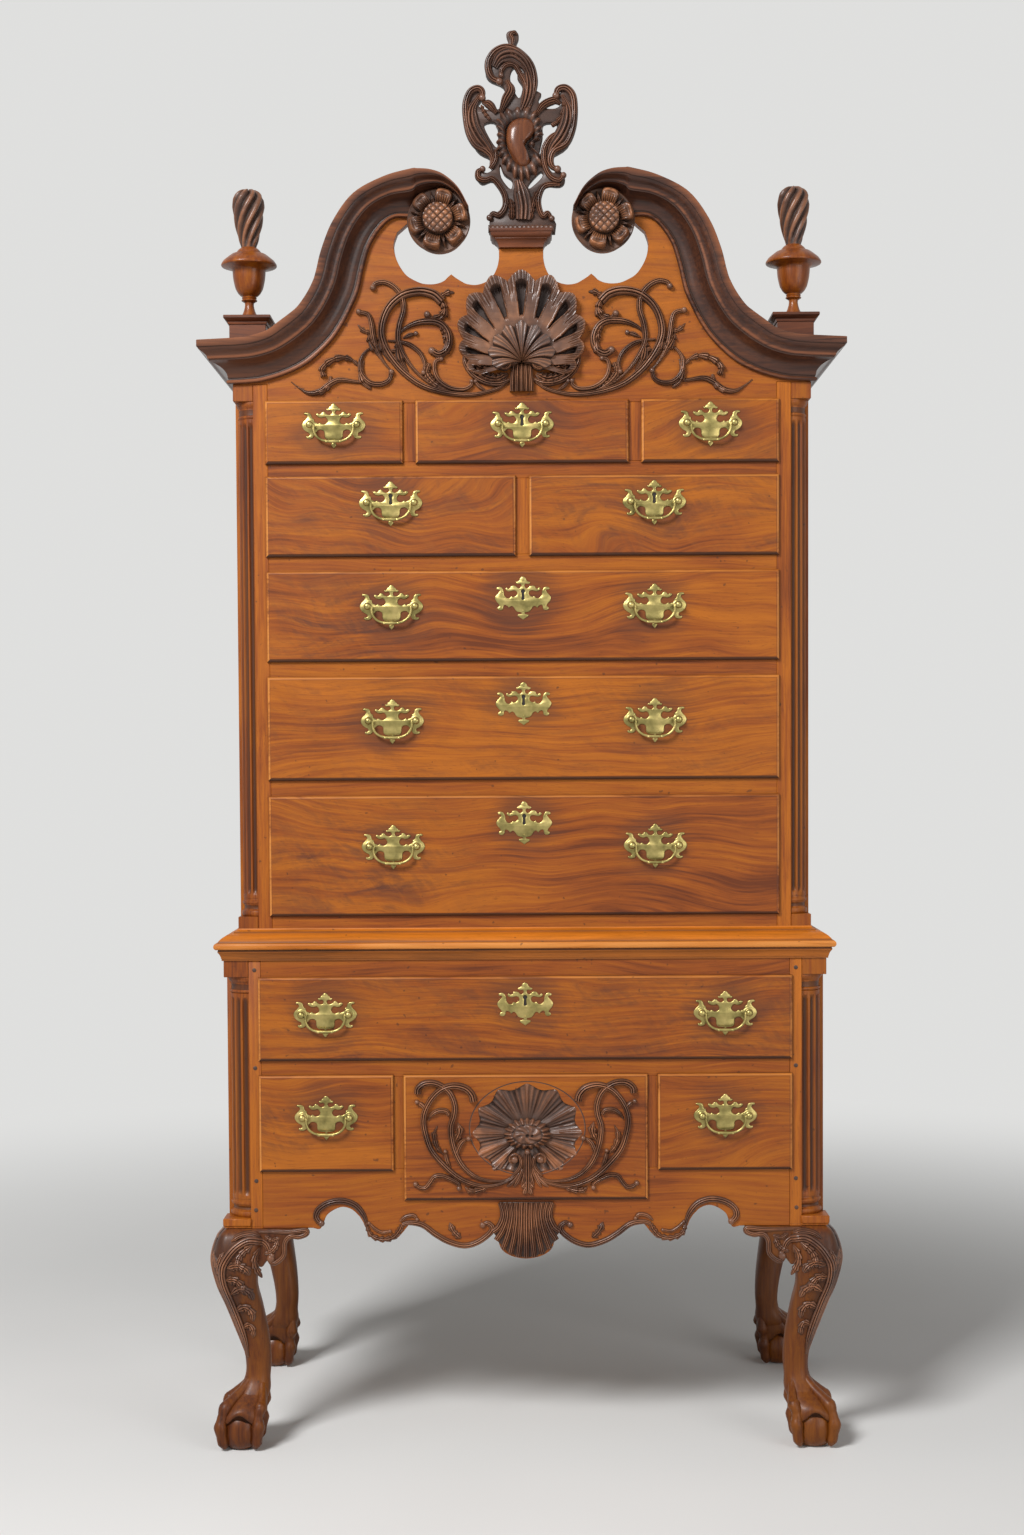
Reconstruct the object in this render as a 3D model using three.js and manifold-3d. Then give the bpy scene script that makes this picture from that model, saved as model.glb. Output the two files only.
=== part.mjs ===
// A walnut scroll-top high chest of drawers on cabriole legs. Millimetres, +X right, +Y back, +Z up.
// The front face of the lower case lies on y = 0 while the pieces are made.
import * as THREE from 'three';
import { mergeVertices } from 'three/addons/utils/BufferGeometryUtils.js';
import Module from 'manifold-3d';

const wasm = await Module();
wasm.setup();

// Fits and clearances
const seatGap = 0.3;
const drawerSideClearance = 1.5;
const drawerTopClearance = 2.5;
const drawerBackClearance = 12;
const cutOverrun = 4;
const housing = 2;

// Widths and depths of the two cases
const lowerWidth = 1022;
const upperSetback = 23;
const caseDepth = 545;

// Heights seen on the front, stacked from the floor up
const apronEdgeHeight = 381;
const smallDrawerRise = 97;
const smallDrawerHeight = 165;
const middleRailShow = 24;
const waistDrawerHeight = 143;
const lowerTopRailShow = 28;
const waistHeight = 53;
const bottomRailShow = 20;
const lowerLongHeight = 205;
const middleLongHeight = 176;
const upperLongHeight = 153;
const halfDrawerHeight = 136;
const topDrawerHeight = 107;
const lowerLongRailShow = 26;
const middleLongRailShow = 25;
const upperLongRailShow = 24;
const halfRailShow = 20;
const friezeHeight = 28;
const corniceHeight = 66;
const scrollHeight = 346;
const shellDrawerDrop = 50;

// Widths seen between the drawers
const shellDrawerHalfWidth = 207.5;
const lowerMuntinShow = 16.5;
const topDrawerHalfWidth = 180;
const topMuntinShow = 21;
const halfMuntinShow = 22;

// Boards of the cases
const sideThickness = 20;
const backThickness = 12;
const boardThickness = 14;
const railDepth = 56;
const apronThickness = 22;
const scrollBoardThickness = 22;
const postSize = 62;
const upperStileWidth = 58;
const lowerNotchWidth = 42;
const upperNotchWidth = 34;
const runnerWidth = 25;
const runnerThickness = 18;
const guideHeight = 20;
const partitionThickness = 16;
const waistLap = 12;
const sideApronRise = 30;
const apronDrop = 55;
const glueBlockSize = 40;
const glueBlockHeight = 110;
const glueBlockShare = 0.5;

// Drawer boards
const lipOverlap = 4;
const lipThickness = 8;
const lipBevel = 5.5;
const drawerFrontThickness = 14;
const drawerSideThickness = 11;
const drawerBottomThickness = 8;
const drawerBottomRise = 6;
const drawerSideDrop = 4;

// Quarter columns
const columnBaseHeight = 31;
const columnCapitalHeight = 29;
const columnFootHeight = 14;
const columnFootRise = 3;
const lowerColumnInset = 6;
const upperColumnInset = 5;
const fluteDepth = 3;
const fluteCount = 4;

// Mouldings
const corniceProjection = 53;
const waistProjection = 15;
const rosetteRadius = 53;
const rosetteDepth = 50;

// Cabriole legs
const kneeSwellDepth = 21;
const ballRadius = 37;
const ballHeight = 66;
const talonWidth = 15;
const footInset = 20;
const bracketThickness = 24;

// Carved and turned ornament
const plinthWidth = 62;
const plinthHeight = 58;
const plinthCapHeight = 13;
const plinthCapOverhang = 9;
const urnHeight = 112;
const urnRadius = 47.5;
const flameHeight = 103;
const flameRadius = 27;
const flameTwist = 1.5;
const cartoucheSeatShare = 0.65;
const cartoucheCapHeight = 28;
const cartoucheHeight = 336;
const cartoucheHalfWidth = 96;
const cartoucheThickness = 20;
const cabochonBulge = 15;
const ruffleBulge = 6;
const shellHubRise = 32;
const shellHalfWidth = 111;
const shellRise = 157;
const shellThickness = 24;
const shellLobes = 11;
const shellFanAngle = 3.5;
const shellStemHalfWidth = 20;
const shellStemDrop = 48;
const drawerShellHubRise = 112;
const drawerShellHalfWidth = 92;
const drawerShellRise = 86;
const drawerShellThickness = 7;
const drawerShellLobes = 11;
const drawerShellFanAngle = 5;
const pendantHalfWidth = 54;
const pendantTopRise = 43;
const pendantThickness = 12;
const pendantLobes = 5;

// Brass
const plateHalfWidth = 54;
const plateCrest = 37;
const plateThickness = 1.6;
const postHalfSpacing = 40;
const postRadius = 6;
const postStandoff = 9;
const postLength = 15;
const bailDrop = 29;
const bailHalfWidth = 31.5;
const bailRadius = 2.1;
const pinReach = 2.2;
const pinClearance = 0.35;
const keyholeHeight = 17;
const keyholeRadius = 2.9;
const keyholeSlotHalfWidth = 1.8;
const keyholeDepth = 11;
const keyholeRise = 6.5;
const escutcheonHalfWidth = 46;
const escutcheonCrest = 33;
const escutcheonThickness = 1.2;
const escutcheonDrop = 41;
const longPullHalfSpacing = 222.5;
const topPullHeight = 65;
const halfPullHeight = 90;
const upperLongPullHeight = 93;
const middleLongPullHeight = 101;
const lowerLongPullHeight = 119;
const waistPullHeight = 80;
const smallPullHeight = 94;

// Levels worked out from the heights
const lowerHalf = lowerWidth / 2;
const upperHalf = lowerHalf - upperSetback;
const upperFront = upperSetback;
const smallDrawerBottom = apronEdgeHeight + smallDrawerRise;
const smallDrawerTop = smallDrawerBottom + smallDrawerHeight;
const shellDrawerBottom = smallDrawerBottom - shellDrawerDrop;
const waistDrawerBottom = smallDrawerTop + middleRailShow;
const waistDrawerTop = waistDrawerBottom + waistDrawerHeight;
const waistBottom = waistDrawerTop + lowerTopRailShow;
const waistTop = waistBottom + waistHeight;
const lowerTop = waistBottom + waistLap;
const upperBottom = lowerTop + seatGap;
const lowerLongBottom = waistTop + bottomRailShow;
const lowerLongTop = lowerLongBottom + lowerLongHeight;
const middleLongBottom = lowerLongTop + lowerLongRailShow;
const middleLongTop = middleLongBottom + middleLongHeight;
const upperLongBottom = middleLongTop + middleLongRailShow;
const upperLongTop = upperLongBottom + upperLongHeight;
const halfDrawerBottom = upperLongTop + upperLongRailShow;
const halfDrawerTop = halfDrawerBottom + halfDrawerHeight;
const topDrawerBottom = halfDrawerTop + halfRailShow;
const topDrawerTop = topDrawerBottom + topDrawerHeight;
const corniceBottom = topDrawerTop + friezeHeight;
const corniceTop = corniceBottom + corniceHeight;
const cartoucheSeatHeight = corniceBottom + scrollHeight * cartoucheSeatShare;
const shellHubHeight = corniceBottom + shellHubRise;
const lowerOpenHalf = lowerHalf - postSize;
const upperOpenHalf = upperHalf - upperStileWidth;
const lowerLipHalf = lowerOpenHalf + lipOverlap;
const upperLipHalf = upperOpenHalf + lipOverlap;
const smallDrawerInner = shellDrawerHalfWidth + lowerMuntinShow;
const topSideDrawerInner = topDrawerHalfWidth + topMuntinShow;
const halfDrawerInner = halfMuntinShow / 2;
const lowerBack = caseDepth - backThickness;
const rearPostFront = caseDepth - postSize;

// Finishes
const walnut = new THREE.MeshStandardMaterial({ color: 0x9a5128, roughness: 0.42 });
const figuredWalnut = new THREE.MeshStandardMaterial({ color: 0xa65c2c, roughness: 0.38 });
const darkWalnut = new THREE.MeshStandardMaterial({ color: 0x553423, roughness: 0.45 });
const urnWalnut = new THREE.MeshStandardMaterial({ color: 0xa9672b, roughness: 0.35 });
const brass = new THREE.MeshStandardMaterial({ color: 0xa8954f, roughness: 0.42, metalness: 0.85 });

const highboy = new THREE.Group();

// A closed mesh as a solid, with its faces turned outwards
function toSolid(geometry) {
  const bare = geometry.clone();
  bare.deleteAttribute('normal');
  bare.deleteAttribute('uv');
  const merged = mergeVertices(bare);
  const points = merged.attributes.position.array;
  const faces = new Uint32Array(merged.index.array);
  if (signedVolume(points, faces) < 0) {
    for (let i = 0; i < faces.length; i += 3) {
      [faces[i + 1], faces[i + 2]] = [faces[i + 2], faces[i + 1]];
    }
  }
  return new wasm.Manifold(new wasm.Mesh({ numProp: 3, vertProperties: points, triVerts: faces }));
}

function signedVolume(points, faces) {
  const a = new THREE.Vector3();
  const b = new THREE.Vector3();
  const c = new THREE.Vector3();
  let total = 0;
  for (let i = 0; i < faces.length; i += 3) {
    a.fromArray(points, 3 * faces[i]);
    b.fromArray(points, 3 * faces[i + 1]);
    c.fromArray(points, 3 * faces[i + 2]);
    total += a.dot(b.cross(c));
  }
  return total;
}

function toGeometry(solid) {
  const mesh = solid.getMesh();
  const shared = new THREE.BufferGeometry();
  shared.setAttribute('position', new THREE.BufferAttribute(new Float32Array(mesh.vertProperties), 3));
  shared.setIndex(new THREE.BufferAttribute(new Uint32Array(mesh.triVerts), 1));
  const geometry = shared.toNonIndexed();
  geometry.computeVertexNormals();
  return geometry;
}

function join(solids) {
  return solids.reduce((whole, next) => whole.add(next));
}

function cut(solid, tools) {
  return tools.reduce((left, tool) => left.subtract(tool), solid);
}

// The same solid seen in a mirror across x = 0 or y = 0
function mirrored(solid, axis) {
  const scale = axis === 'x' ? [-1, 1, 1] : [1, -1, 1];
  return toSolid(toGeometry(solid).scale(...scale));
}

function addPiece(name, solid, material, place = [0, 0, 0]) {
  const mesh = new THREE.Mesh(toGeometry(solid), material);
  mesh.name = name;
  mesh.position.set(...place);
  highboy.add(mesh);
  return mesh;
}

// A board between two limits on each axis, given in either order
function board([x0, x1], [y0, y1], [z0, z1]) {
  const geometry = new THREE.BoxGeometry(Math.abs(x1 - x0), Math.abs(y1 - y0), Math.abs(z1 - z0));
  geometry.translate((x0 + x1) / 2, (y0 + y1) / 2, (z0 + z1) / 2);
  return toSolid(geometry);
}

function shapeOf(points, holes = []) {
  const shape = new THREE.Shape(points.map(([u, v]) => new THREE.Vector2(u, v)));
  shape.holes = holes.map((hole) => new THREE.Path(hole.map(([u, v]) => new THREE.Vector2(u, v))));
  return shape;
}

function extruded(points, length, holes) {
  return new THREE.ExtrudeGeometry(shapeOf(points, holes), { depth: length, bevelEnabled: false, curveSegments: 1 });
}

// An outline in x and z, as thick as the stretch from y0 back to y1
function frontBoard(points, [y0, y1], holes) {
  return toSolid(extruded(points, y1 - y0, holes).rotateX(Math.PI / 2).translate(0, y1, 0));
}

// An outline in y and z, as thick as the stretch from x0 to x1
function sideBoard(points, [x0, x1]) {
  const geometry = extruded(points, Math.abs(x1 - x0));
  geometry.rotateX(Math.PI / 2).rotateZ(Math.PI / 2);
  return toSolid(geometry.translate(Math.min(x0, x1), 0, 0));
}

// An outline in x and y, as tall as the stretch from z0 to z1
function pillar(points, [z0, z1]) {
  return toSolid(extruded(points, z1 - z0).translate(0, 0, z0));
}

// A skin through rings of points, closed by flat ends that follow a plain outline
function skin(rings, endOutline) {
  const count = rings[0].length;
  const outline = endOutline.map(([u, v]) => new THREE.Vector2(u, v));
  const ends = THREE.ShapeUtils.triangulateShape(outline, []);
  const positions = rings.flat().flatMap((point) => [point[0], point[1], point[2]]);
  const faces = [];
  for (let r = 0; r + 1 < rings.length; r += 1) {
    for (let i = 0; i < count; i += 1) {
      const a = r * count + i;
      const b = r * count + ((i + 1) % count);
      faces.push(a, b, a + count, b, b + count, a + count);
    }
  }
  const last = (rings.length - 1) * count;
  const turned = THREE.ShapeUtils.area(outline) > 0 ? [2, 1, 0] : [0, 1, 2];
  for (const end of ends) {
    faces.push(end[turned[0]], end[turned[1]], end[turned[2]]);
    faces.push(last + end[turned[2]], last + end[turned[1]], last + end[turned[0]]);
  }
  const geometry = new THREE.BufferGeometry();
  geometry.setAttribute('position', new THREE.Float32BufferAttribute(positions, 3));
  geometry.setIndex(faces);
  return toSolid(geometry);
}

// A profile of [radius, height] turned about the z axis
function turnedPiece(profile, segments) {
  const points = profile.map(([r, h]) => new THREE.Vector2(r, h));
  return toSolid(new THREE.LatheGeometry(points, segments).rotateX(Math.PI / 2));
}

// A half outline joined to its mirror image, from the bottom centre round to the top centre
function symmetric(half) {
  const other = half.filter(([u]) => u > 0).map(([u, v]) => [-u, v]).reverse();
  return [...half, ...other];
}

function scaled(shares, width, height, lift = 0) {
  return shares.map(([u, v]) => [u * width, lift + v * height]);
}

function lerp(a, b, share) {
  return a + (b - a) * share;
}

// Keyhole: a round eye over a slot that widens to a round foot, about the point [x, z]
const keyholeSlotShare = 0.12;
const keyholeFootShare = 0.75;

function keyholeOutline(x, z) {
  const eyeCentre = z + keyholeHeight / 2 - keyholeRadius;
  const foot = z - keyholeHeight / 2;
  const points = [];
  for (const degrees of [-45, 30, 90, 150, 225]) {
    const angle = THREE.MathUtils.degToRad(degrees);
    points.push([x + keyholeRadius * Math.cos(angle), eyeCentre + keyholeRadius * Math.sin(angle)]);
  }
  const footHalf = keyholeRadius * keyholeFootShare;
  const slotTop = z - keyholeHeight * keyholeSlotShare;
  points.push([x - keyholeSlotHalfWidth, slotTop], [x - footHalf, foot]);
  points.push([x + footHalf, foot], [x + keyholeSlotHalfWidth, slotTop]);
  return points;
}

// Willow-pattern bail plate, as shares of its half width and of its crest height
const plateShares = [
  [0, -1.09], [0.11, -0.66], [0.3, -0.62], [0.34, -0.22], [0.6, -0.27], [0.75, -0.6], [1, 0.05],
  [0.91, 0.56], [0.66, 0.46], [0.58, 0.1], [0.24, 0.2], [0.54, 0.5], [0.22, 0.66], [0, 1],
];
const postProfileShares = [[0.57, 0], [1, 0.6]];
const postSides = 6;
const pinHoleSides = 4;

// Plate, posts and pin holes; the post line lies on z = 0 and the plate's back on y = 0
function bailPlate(withKeyhole) {
  const outline = symmetric(scaled(plateShares, plateHalfWidth, plateCrest));
  const holes = withKeyhole ? [keyholeOutline(0, keyholeRise)] : [];
  const plate = frontBoard(outline, [-plateThickness, 0], holes);
  const profile = scaled(postProfileShares, postRadius, postLength, plateThickness - housing / 2);
  const tip = profile[0][1] + postLength;
  const post = [[0, profile[0][1]], ...profile, [0, tip]];
  const geometry = toGeometry(turnedPiece(post, postSides)).rotateX(Math.PI / 2);
  const pieces = [plate];
  for (const side of [-1, 1]) {
    pieces.push(toSolid(geometry.clone().translate(side * postHalfSpacing, 0, 0)));
  }
  return cut(join(pieces), [pinHoles()]);
}

// Two blind holes from the inner sides of the posts
function pinHoles() {
  const radius = (bailRadius + pinClearance) / Math.cos(Math.PI / pinHoleSides);
  const tools = [-1, 1].map((side) => {
    const inner = side * (postHalfSpacing - postRadius - cutOverrun);
    const outer = side * (postHalfSpacing + pinReach);
    const hole = new THREE.CylinderGeometry(radius, radius, Math.abs(outer - inner), pinHoleSides);
    hole.rotateZ(Math.PI / 2).translate((inner + outer) / 2, -plateThickness - postStandoff, 0);
    return toSolid(hole);
  });
  return join(tools);
}

const bailSteps = 4;
const bailSides = 4;
const bailShoulderShare = 0.08;

// Bail hanging from its pins, which lie on the x axis
function bail() {
  const pinEnd = postHalfSpacing + pinReach - pinClearance;
  const half = [];
  for (let i = 0; i <= bailSteps; i += 1) {
    const angle = (Math.PI / 2) * (1 - i / bailSteps);
    half.push([bailHalfWidth * Math.cos(angle), -bailDrop * Math.sin(angle)]);
  }
  half.pop();
  half.push([bailHalfWidth, -bailDrop * bailShoulderShare]);
  half.push([bailHalfWidth + bailRadius, 0], [pinEnd, 0]);
  const path = [...half.slice(1).map(([x, z]) => [-x, z]).reverse(), ...half];
  const rings = path.map(([x, z], i) => {
    const before = path[Math.max(i - 1, 0)];
    const after = path[Math.min(i + 1, path.length - 1)];
    const along = new THREE.Vector2(after[0] - before[0], after[1] - before[1]).normalize();
    return ringSides(bailSides).map(([c, s]) => [
      x - along.y * bailRadius * c,
      bailRadius * s,
      z + along.x * bailRadius * c,
    ]);
  });
  return skin(rings, ringSides(bailSides));
}

function ringSides(count) {
  return Array.from({ length: count }, (_, i) => {
    const angle = (2 * Math.PI * i) / count;
    return [Math.cos(angle), Math.sin(angle)];
  });
}

// A rectangle that steps in as it comes forward, for the moulded lip of a drawer front
const lipDepthShares = [0, 0.5, 0.85, 1];
const lipInsetShares = [0, 0, 0.4, 1];

function lippedFront(width, height) {
  const rings = lipDepthShares.map((depth, i) => {
    const inset = lipBevel * lipInsetShares[i];
    const y = -seatGap - (lipThickness - seatGap) * depth;
    const x = width / 2 - inset;
    return [[-x, y, inset], [x, y, inset], [x, y, height - inset], [-x, y, height - inset]];
  });
  return skin(rings, [[-1, -1], [1, -1], [1, 1], [-1, 1]]);
}

// Keyhole escutcheon, as shares of its half width and of its crest height
const escutcheonShares = [
  [0, -1.15], [0.12, -0.8], [0.4, -0.85], [0.36, -0.5], [0.62, -0.62], [0.95, -0.3],
  [1, 0.4], [0.62, 0.42], [0.34, 0.3], [0.48, 0.68], [0.18, 0.68], [0, 1],
];

// A drawer stands on z = 0 at its lip's lower edge, with the case's front face on y = 0
function drawer({ width, height, depth, keyhole, escutcheon, shell }) {
  const half = width / 2 - lipOverlap - drawerSideClearance;
  const bottom = lipOverlap + seatGap;
  const top = height - lipOverlap - drawerTopClearance;
  const sideTop = top - drawerSideDrop;
  const inner = half - drawerSideThickness;
  const floor = bottom + drawerBottomRise;
  const pieces = [
    lippedFront(width, height),
    board([-half, half], [-seatGap - housing, drawerFrontThickness], [bottom, top]),
    board([-half, half], [depth - drawerSideThickness, depth], [bottom, sideTop]),
    board([-inner - housing, inner + housing], [drawerFrontThickness - housing, depth - housing],
      [floor, floor + drawerBottomThickness]),
  ];
  for (const side of [-1, 1]) {
    pieces.push(board([side * inner, side * half], [drawerFrontThickness - housing, depth], [bottom, sideTop]));
  }
  if (escutcheon !== undefined) {
    const outline = symmetric(scaled(escutcheonShares, escutcheonHalfWidth, escutcheonCrest, escutcheon));
    pieces.push(frontBoard(outline, [-lipThickness - escutcheonThickness, -lipThickness + housing]));
  }
  if (shell) {
    pieces.push(carvedShell(shell, -lipThickness + housing));
  }
  const whole = join(pieces);
  if (keyhole === undefined) {
    return whole;
  }
  const frontFace = -lipThickness - escutcheonThickness - (shell ? shell.thickness : 0);
  const keyway = frontBoard(keyholeOutline(0, keyhole), [frontFace - cutOverrun, -lipThickness + keyholeDepth]);
  return whole.subtract(keyway);
}

// A scallop shell in relief, seen from the front, with its back on the plane y = back
const shellRimShares = { valley: 0.93, ridge: 1 };
const shellReliefShares = { hub: 0.55, midRidge: 1, midValley: 0.62, rimRidge: 0.8, rimValley: 0.45 };
const shellMidShare = 0.55;

function carvedShell({ x = 0, z, halfWidth, rise, thickness, lobes, spread, turn }, back) {
  const steps = 2 * lobes;
  const front = [];
  const rear = [];
  for (let i = 0; i <= steps; i += 1) {
    const angle = turn + lerp(-spread / 2, spread / 2, i / steps);
    const ridge = i % 2 === 1;
    const reach = ridge ? shellRimShares.ridge : shellRimShares.valley;
    const u = Math.sin(angle) * halfWidth * reach;
    const v = Math.cos(angle) * rise * reach;
    const mid = ridge ? shellReliefShares.midRidge : shellReliefShares.midValley;
    const rim = ridge ? shellReliefShares.rimRidge : shellReliefShares.rimValley;
    front.push({ rim: [x + u, back - thickness * rim, z + v],
      mid: [x + u * shellMidShare, back - thickness * mid, z + v * shellMidShare] });
    rear.push([x + u, back, z + v]);
  }
  const hubFront = [x, back - thickness * shellReliefShares.hub, z];
  const hubRear = [x, back, z];
  const positions = [hubFront, hubRear];
  front.forEach((ray, i) => positions.push(ray.mid, ray.rim, rear[i]));
  const faces = [];
  const at = (i) => 2 + 3 * i;
  for (let i = 0; i < steps; i += 1) {
    const [a, b] = [at(i), at(i + 1)];
    faces.push(0, a, b, a, a + 1, b, a + 1, b + 1, b);
    faces.push(1, b + 2, a + 2, a + 1, a + 2, b + 1, a + 2, b + 2, b + 1);
  }
  const [first, final] = [at(0), at(steps)];
  faces.push(0, 1, first, 1, first + 2, first, first, first + 2, first + 1);
  faces.push(1, 0, final, 1, final, final + 2, final, final + 1, final + 2);
  const geometry = new THREE.BufferGeometry();
  geometry.setAttribute('position', new THREE.Float32BufferAttribute(positions.flat(), 3));
  geometry.setIndex(faces);
  return toSolid(geometry);
}

// Drawers and their pulls. Each row gives the drawer's limits in x and the height of its post line.
const lowerDrawerDepth = lowerBack - drawerBackClearance;
const upperDrawerDepth = lowerBack - drawerBackClearance - upperFront;
const drawerRows = [
  { name: 'top_drawer_left', x: [-upperLipHalf, -topSideDrawerInner], z: topDrawerBottom,
    height: topDrawerHeight, upper: true, pullHeight: topPullHeight, pulls: 1 },
  { name: 'top_drawer_centre', x: [-topDrawerHalfWidth, topDrawerHalfWidth], z: topDrawerBottom,
    height: topDrawerHeight, upper: true, pullHeight: topPullHeight, pulls: 1, keyInPlate: true },
  { name: 'top_drawer_right', x: [topSideDrawerInner, upperLipHalf], z: topDrawerBottom,
    height: topDrawerHeight, upper: true, pullHeight: topPullHeight, pulls: 1 },
  { name: 'half_drawer_left', x: [-upperLipHalf, -halfDrawerInner], z: halfDrawerBottom,
    height: halfDrawerHeight, upper: true, pullHeight: halfPullHeight, pulls: 1, keyInPlate: true },
  { name: 'half_drawer_right', x: [halfDrawerInner, upperLipHalf], z: halfDrawerBottom,
    height: halfDrawerHeight, upper: true, pullHeight: halfPullHeight, pulls: 1, keyInPlate: true },
  { name: 'long_drawer_upper', x: [-upperLipHalf, upperLipHalf], z: upperLongBottom,
    height: upperLongHeight, upper: true, pullHeight: upperLongPullHeight, pulls: 2, escutcheon: true },
  { name: 'long_drawer_middle', x: [-upperLipHalf, upperLipHalf], z: middleLongBottom,
    height: middleLongHeight, upper: true, pullHeight: middleLongPullHeight, pulls: 2, escutcheon: true },
  { name: 'long_drawer_lower', x: [-upperLipHalf, upperLipHalf], z: lowerLongBottom,
    height: lowerLongHeight, upper: true, pullHeight: lowerLongPullHeight, pulls: 2, escutcheon: true },
  { name: 'waist_drawer', x: [-lowerLipHalf, lowerLipHalf], z: waistDrawerBottom,
    height: waistDrawerHeight, pullHeight: waistPullHeight, pulls: 2, escutcheon: true,
    pullHalfSpacing: (smallDrawerInner + lowerLipHalf) / 2 },
  { name: 'small_drawer_left', x: [-lowerLipHalf, -smallDrawerInner], z: smallDrawerBottom,
    height: smallDrawerHeight, pullHeight: smallPullHeight, pulls: 1 },
  { name: 'small_drawer_right', x: [smallDrawerInner, lowerLipHalf], z: smallDrawerBottom,
    height: smallDrawerHeight, pullHeight: smallPullHeight, pulls: 1 },
  { name: 'shell_drawer', x: [-shellDrawerHalfWidth, shellDrawerHalfWidth], z: shellDrawerBottom,
    height: smallDrawerHeight + shellDrawerDrop, pulls: 0 },
];

function addDrawer(row) {
  const face = row.upper ? upperFront : 0;
  const centre = (row.x[0] + row.x[1]) / 2;
  const spec = {
    width: row.x[1] - row.x[0],
    height: row.height,
    depth: row.upper ? upperDrawerDepth : lowerDrawerDepth,
  };
  if (row.escutcheon) {
    spec.escutcheon = row.height - escutcheonDrop;
    spec.keyhole = spec.escutcheon;
  }
  if (row.keyInPlate) {
    spec.keyhole = row.pullHeight + keyholeRise;
  }
  if (row.pulls === 0) {
    spec.keyhole = row.height / 2;
    spec.shell = { z: drawerShellHubRise, halfWidth: drawerShellHalfWidth, rise: drawerShellRise,
      thickness: drawerShellThickness, lobes: drawerShellLobes, spread: drawerShellFanAngle, turn: 0 };
  }
  addPiece(row.name, drawer(spec), figuredWalnut, [centre, face, row.z]);
  const plateBack = face - lipThickness - seatGap;
  const offsets = row.pulls === 2 ? [-1, 1].map((side) => side * (row.pullHalfSpacing ?? longPullHalfSpacing)) : [0];
  offsets.slice(0, row.pulls).forEach((offset, i) => {
    const suffix = row.pulls === 2 ? ['_left', '_right'][i] : '';
    const place = [centre + offset, plateBack, row.z + row.pullHeight];
    addPiece(`${row.name}_bail_plate${suffix}`, bailPlate(Boolean(row.keyInPlate)), brass, place);
    const pivot = [place[0], plateBack - plateThickness - postStandoff, place[2]];
    addPiece(`${row.name}_bail${suffix}`, bail(), brass, pivot);
  });
}

drawerRows.forEach(addDrawer);

// Lower carcass
const apronOutlineShares = [
  [0, -1], [0.06, -0.91], [0.1, -0.62], [0.125, -0.19], [0.18, -0.51], [0.228, -0.65], [0.272, -0.53],
  [0.326, -0.24], [0.4, 0.05], [0.435, 0.17], [0.474, -0.2], [0.495, -0.345], [0.54, -0.39],
  [0.584, -0.27], [0.612, 0.02], [0.633, 0.35], [0.66, 0.56], [0.694, 0.65], [0.725, 0.58],
  [0.754, 0.42], [0.773, 0.09], [0.785, -0.04], [0.81, 0], [1, 0],
];
const sideApronShares = [
  [0.14, 0], [0.22, 0.7], [0.34, 1], [0.44, 0.3], [0.5, 0], [0.56, 0.3], [0.66, 1], [0.78, 0.7], [0.86, 0],
];

// A runner under a drawer's side with the guide beside it, from the opening's edge out to the case side
function guidedRunner(side, edge, outer, level, depth) {
  const foot = level - runnerThickness;
  const outline = [[side * (edge - runnerWidth), foot], [side * outer, foot], [side * outer, level + guideHeight],
    [side * edge, level + guideHeight], [side * edge, level], [side * (edge - runnerWidth), level]];
  return frontBoard(outline, depth);
}

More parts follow.
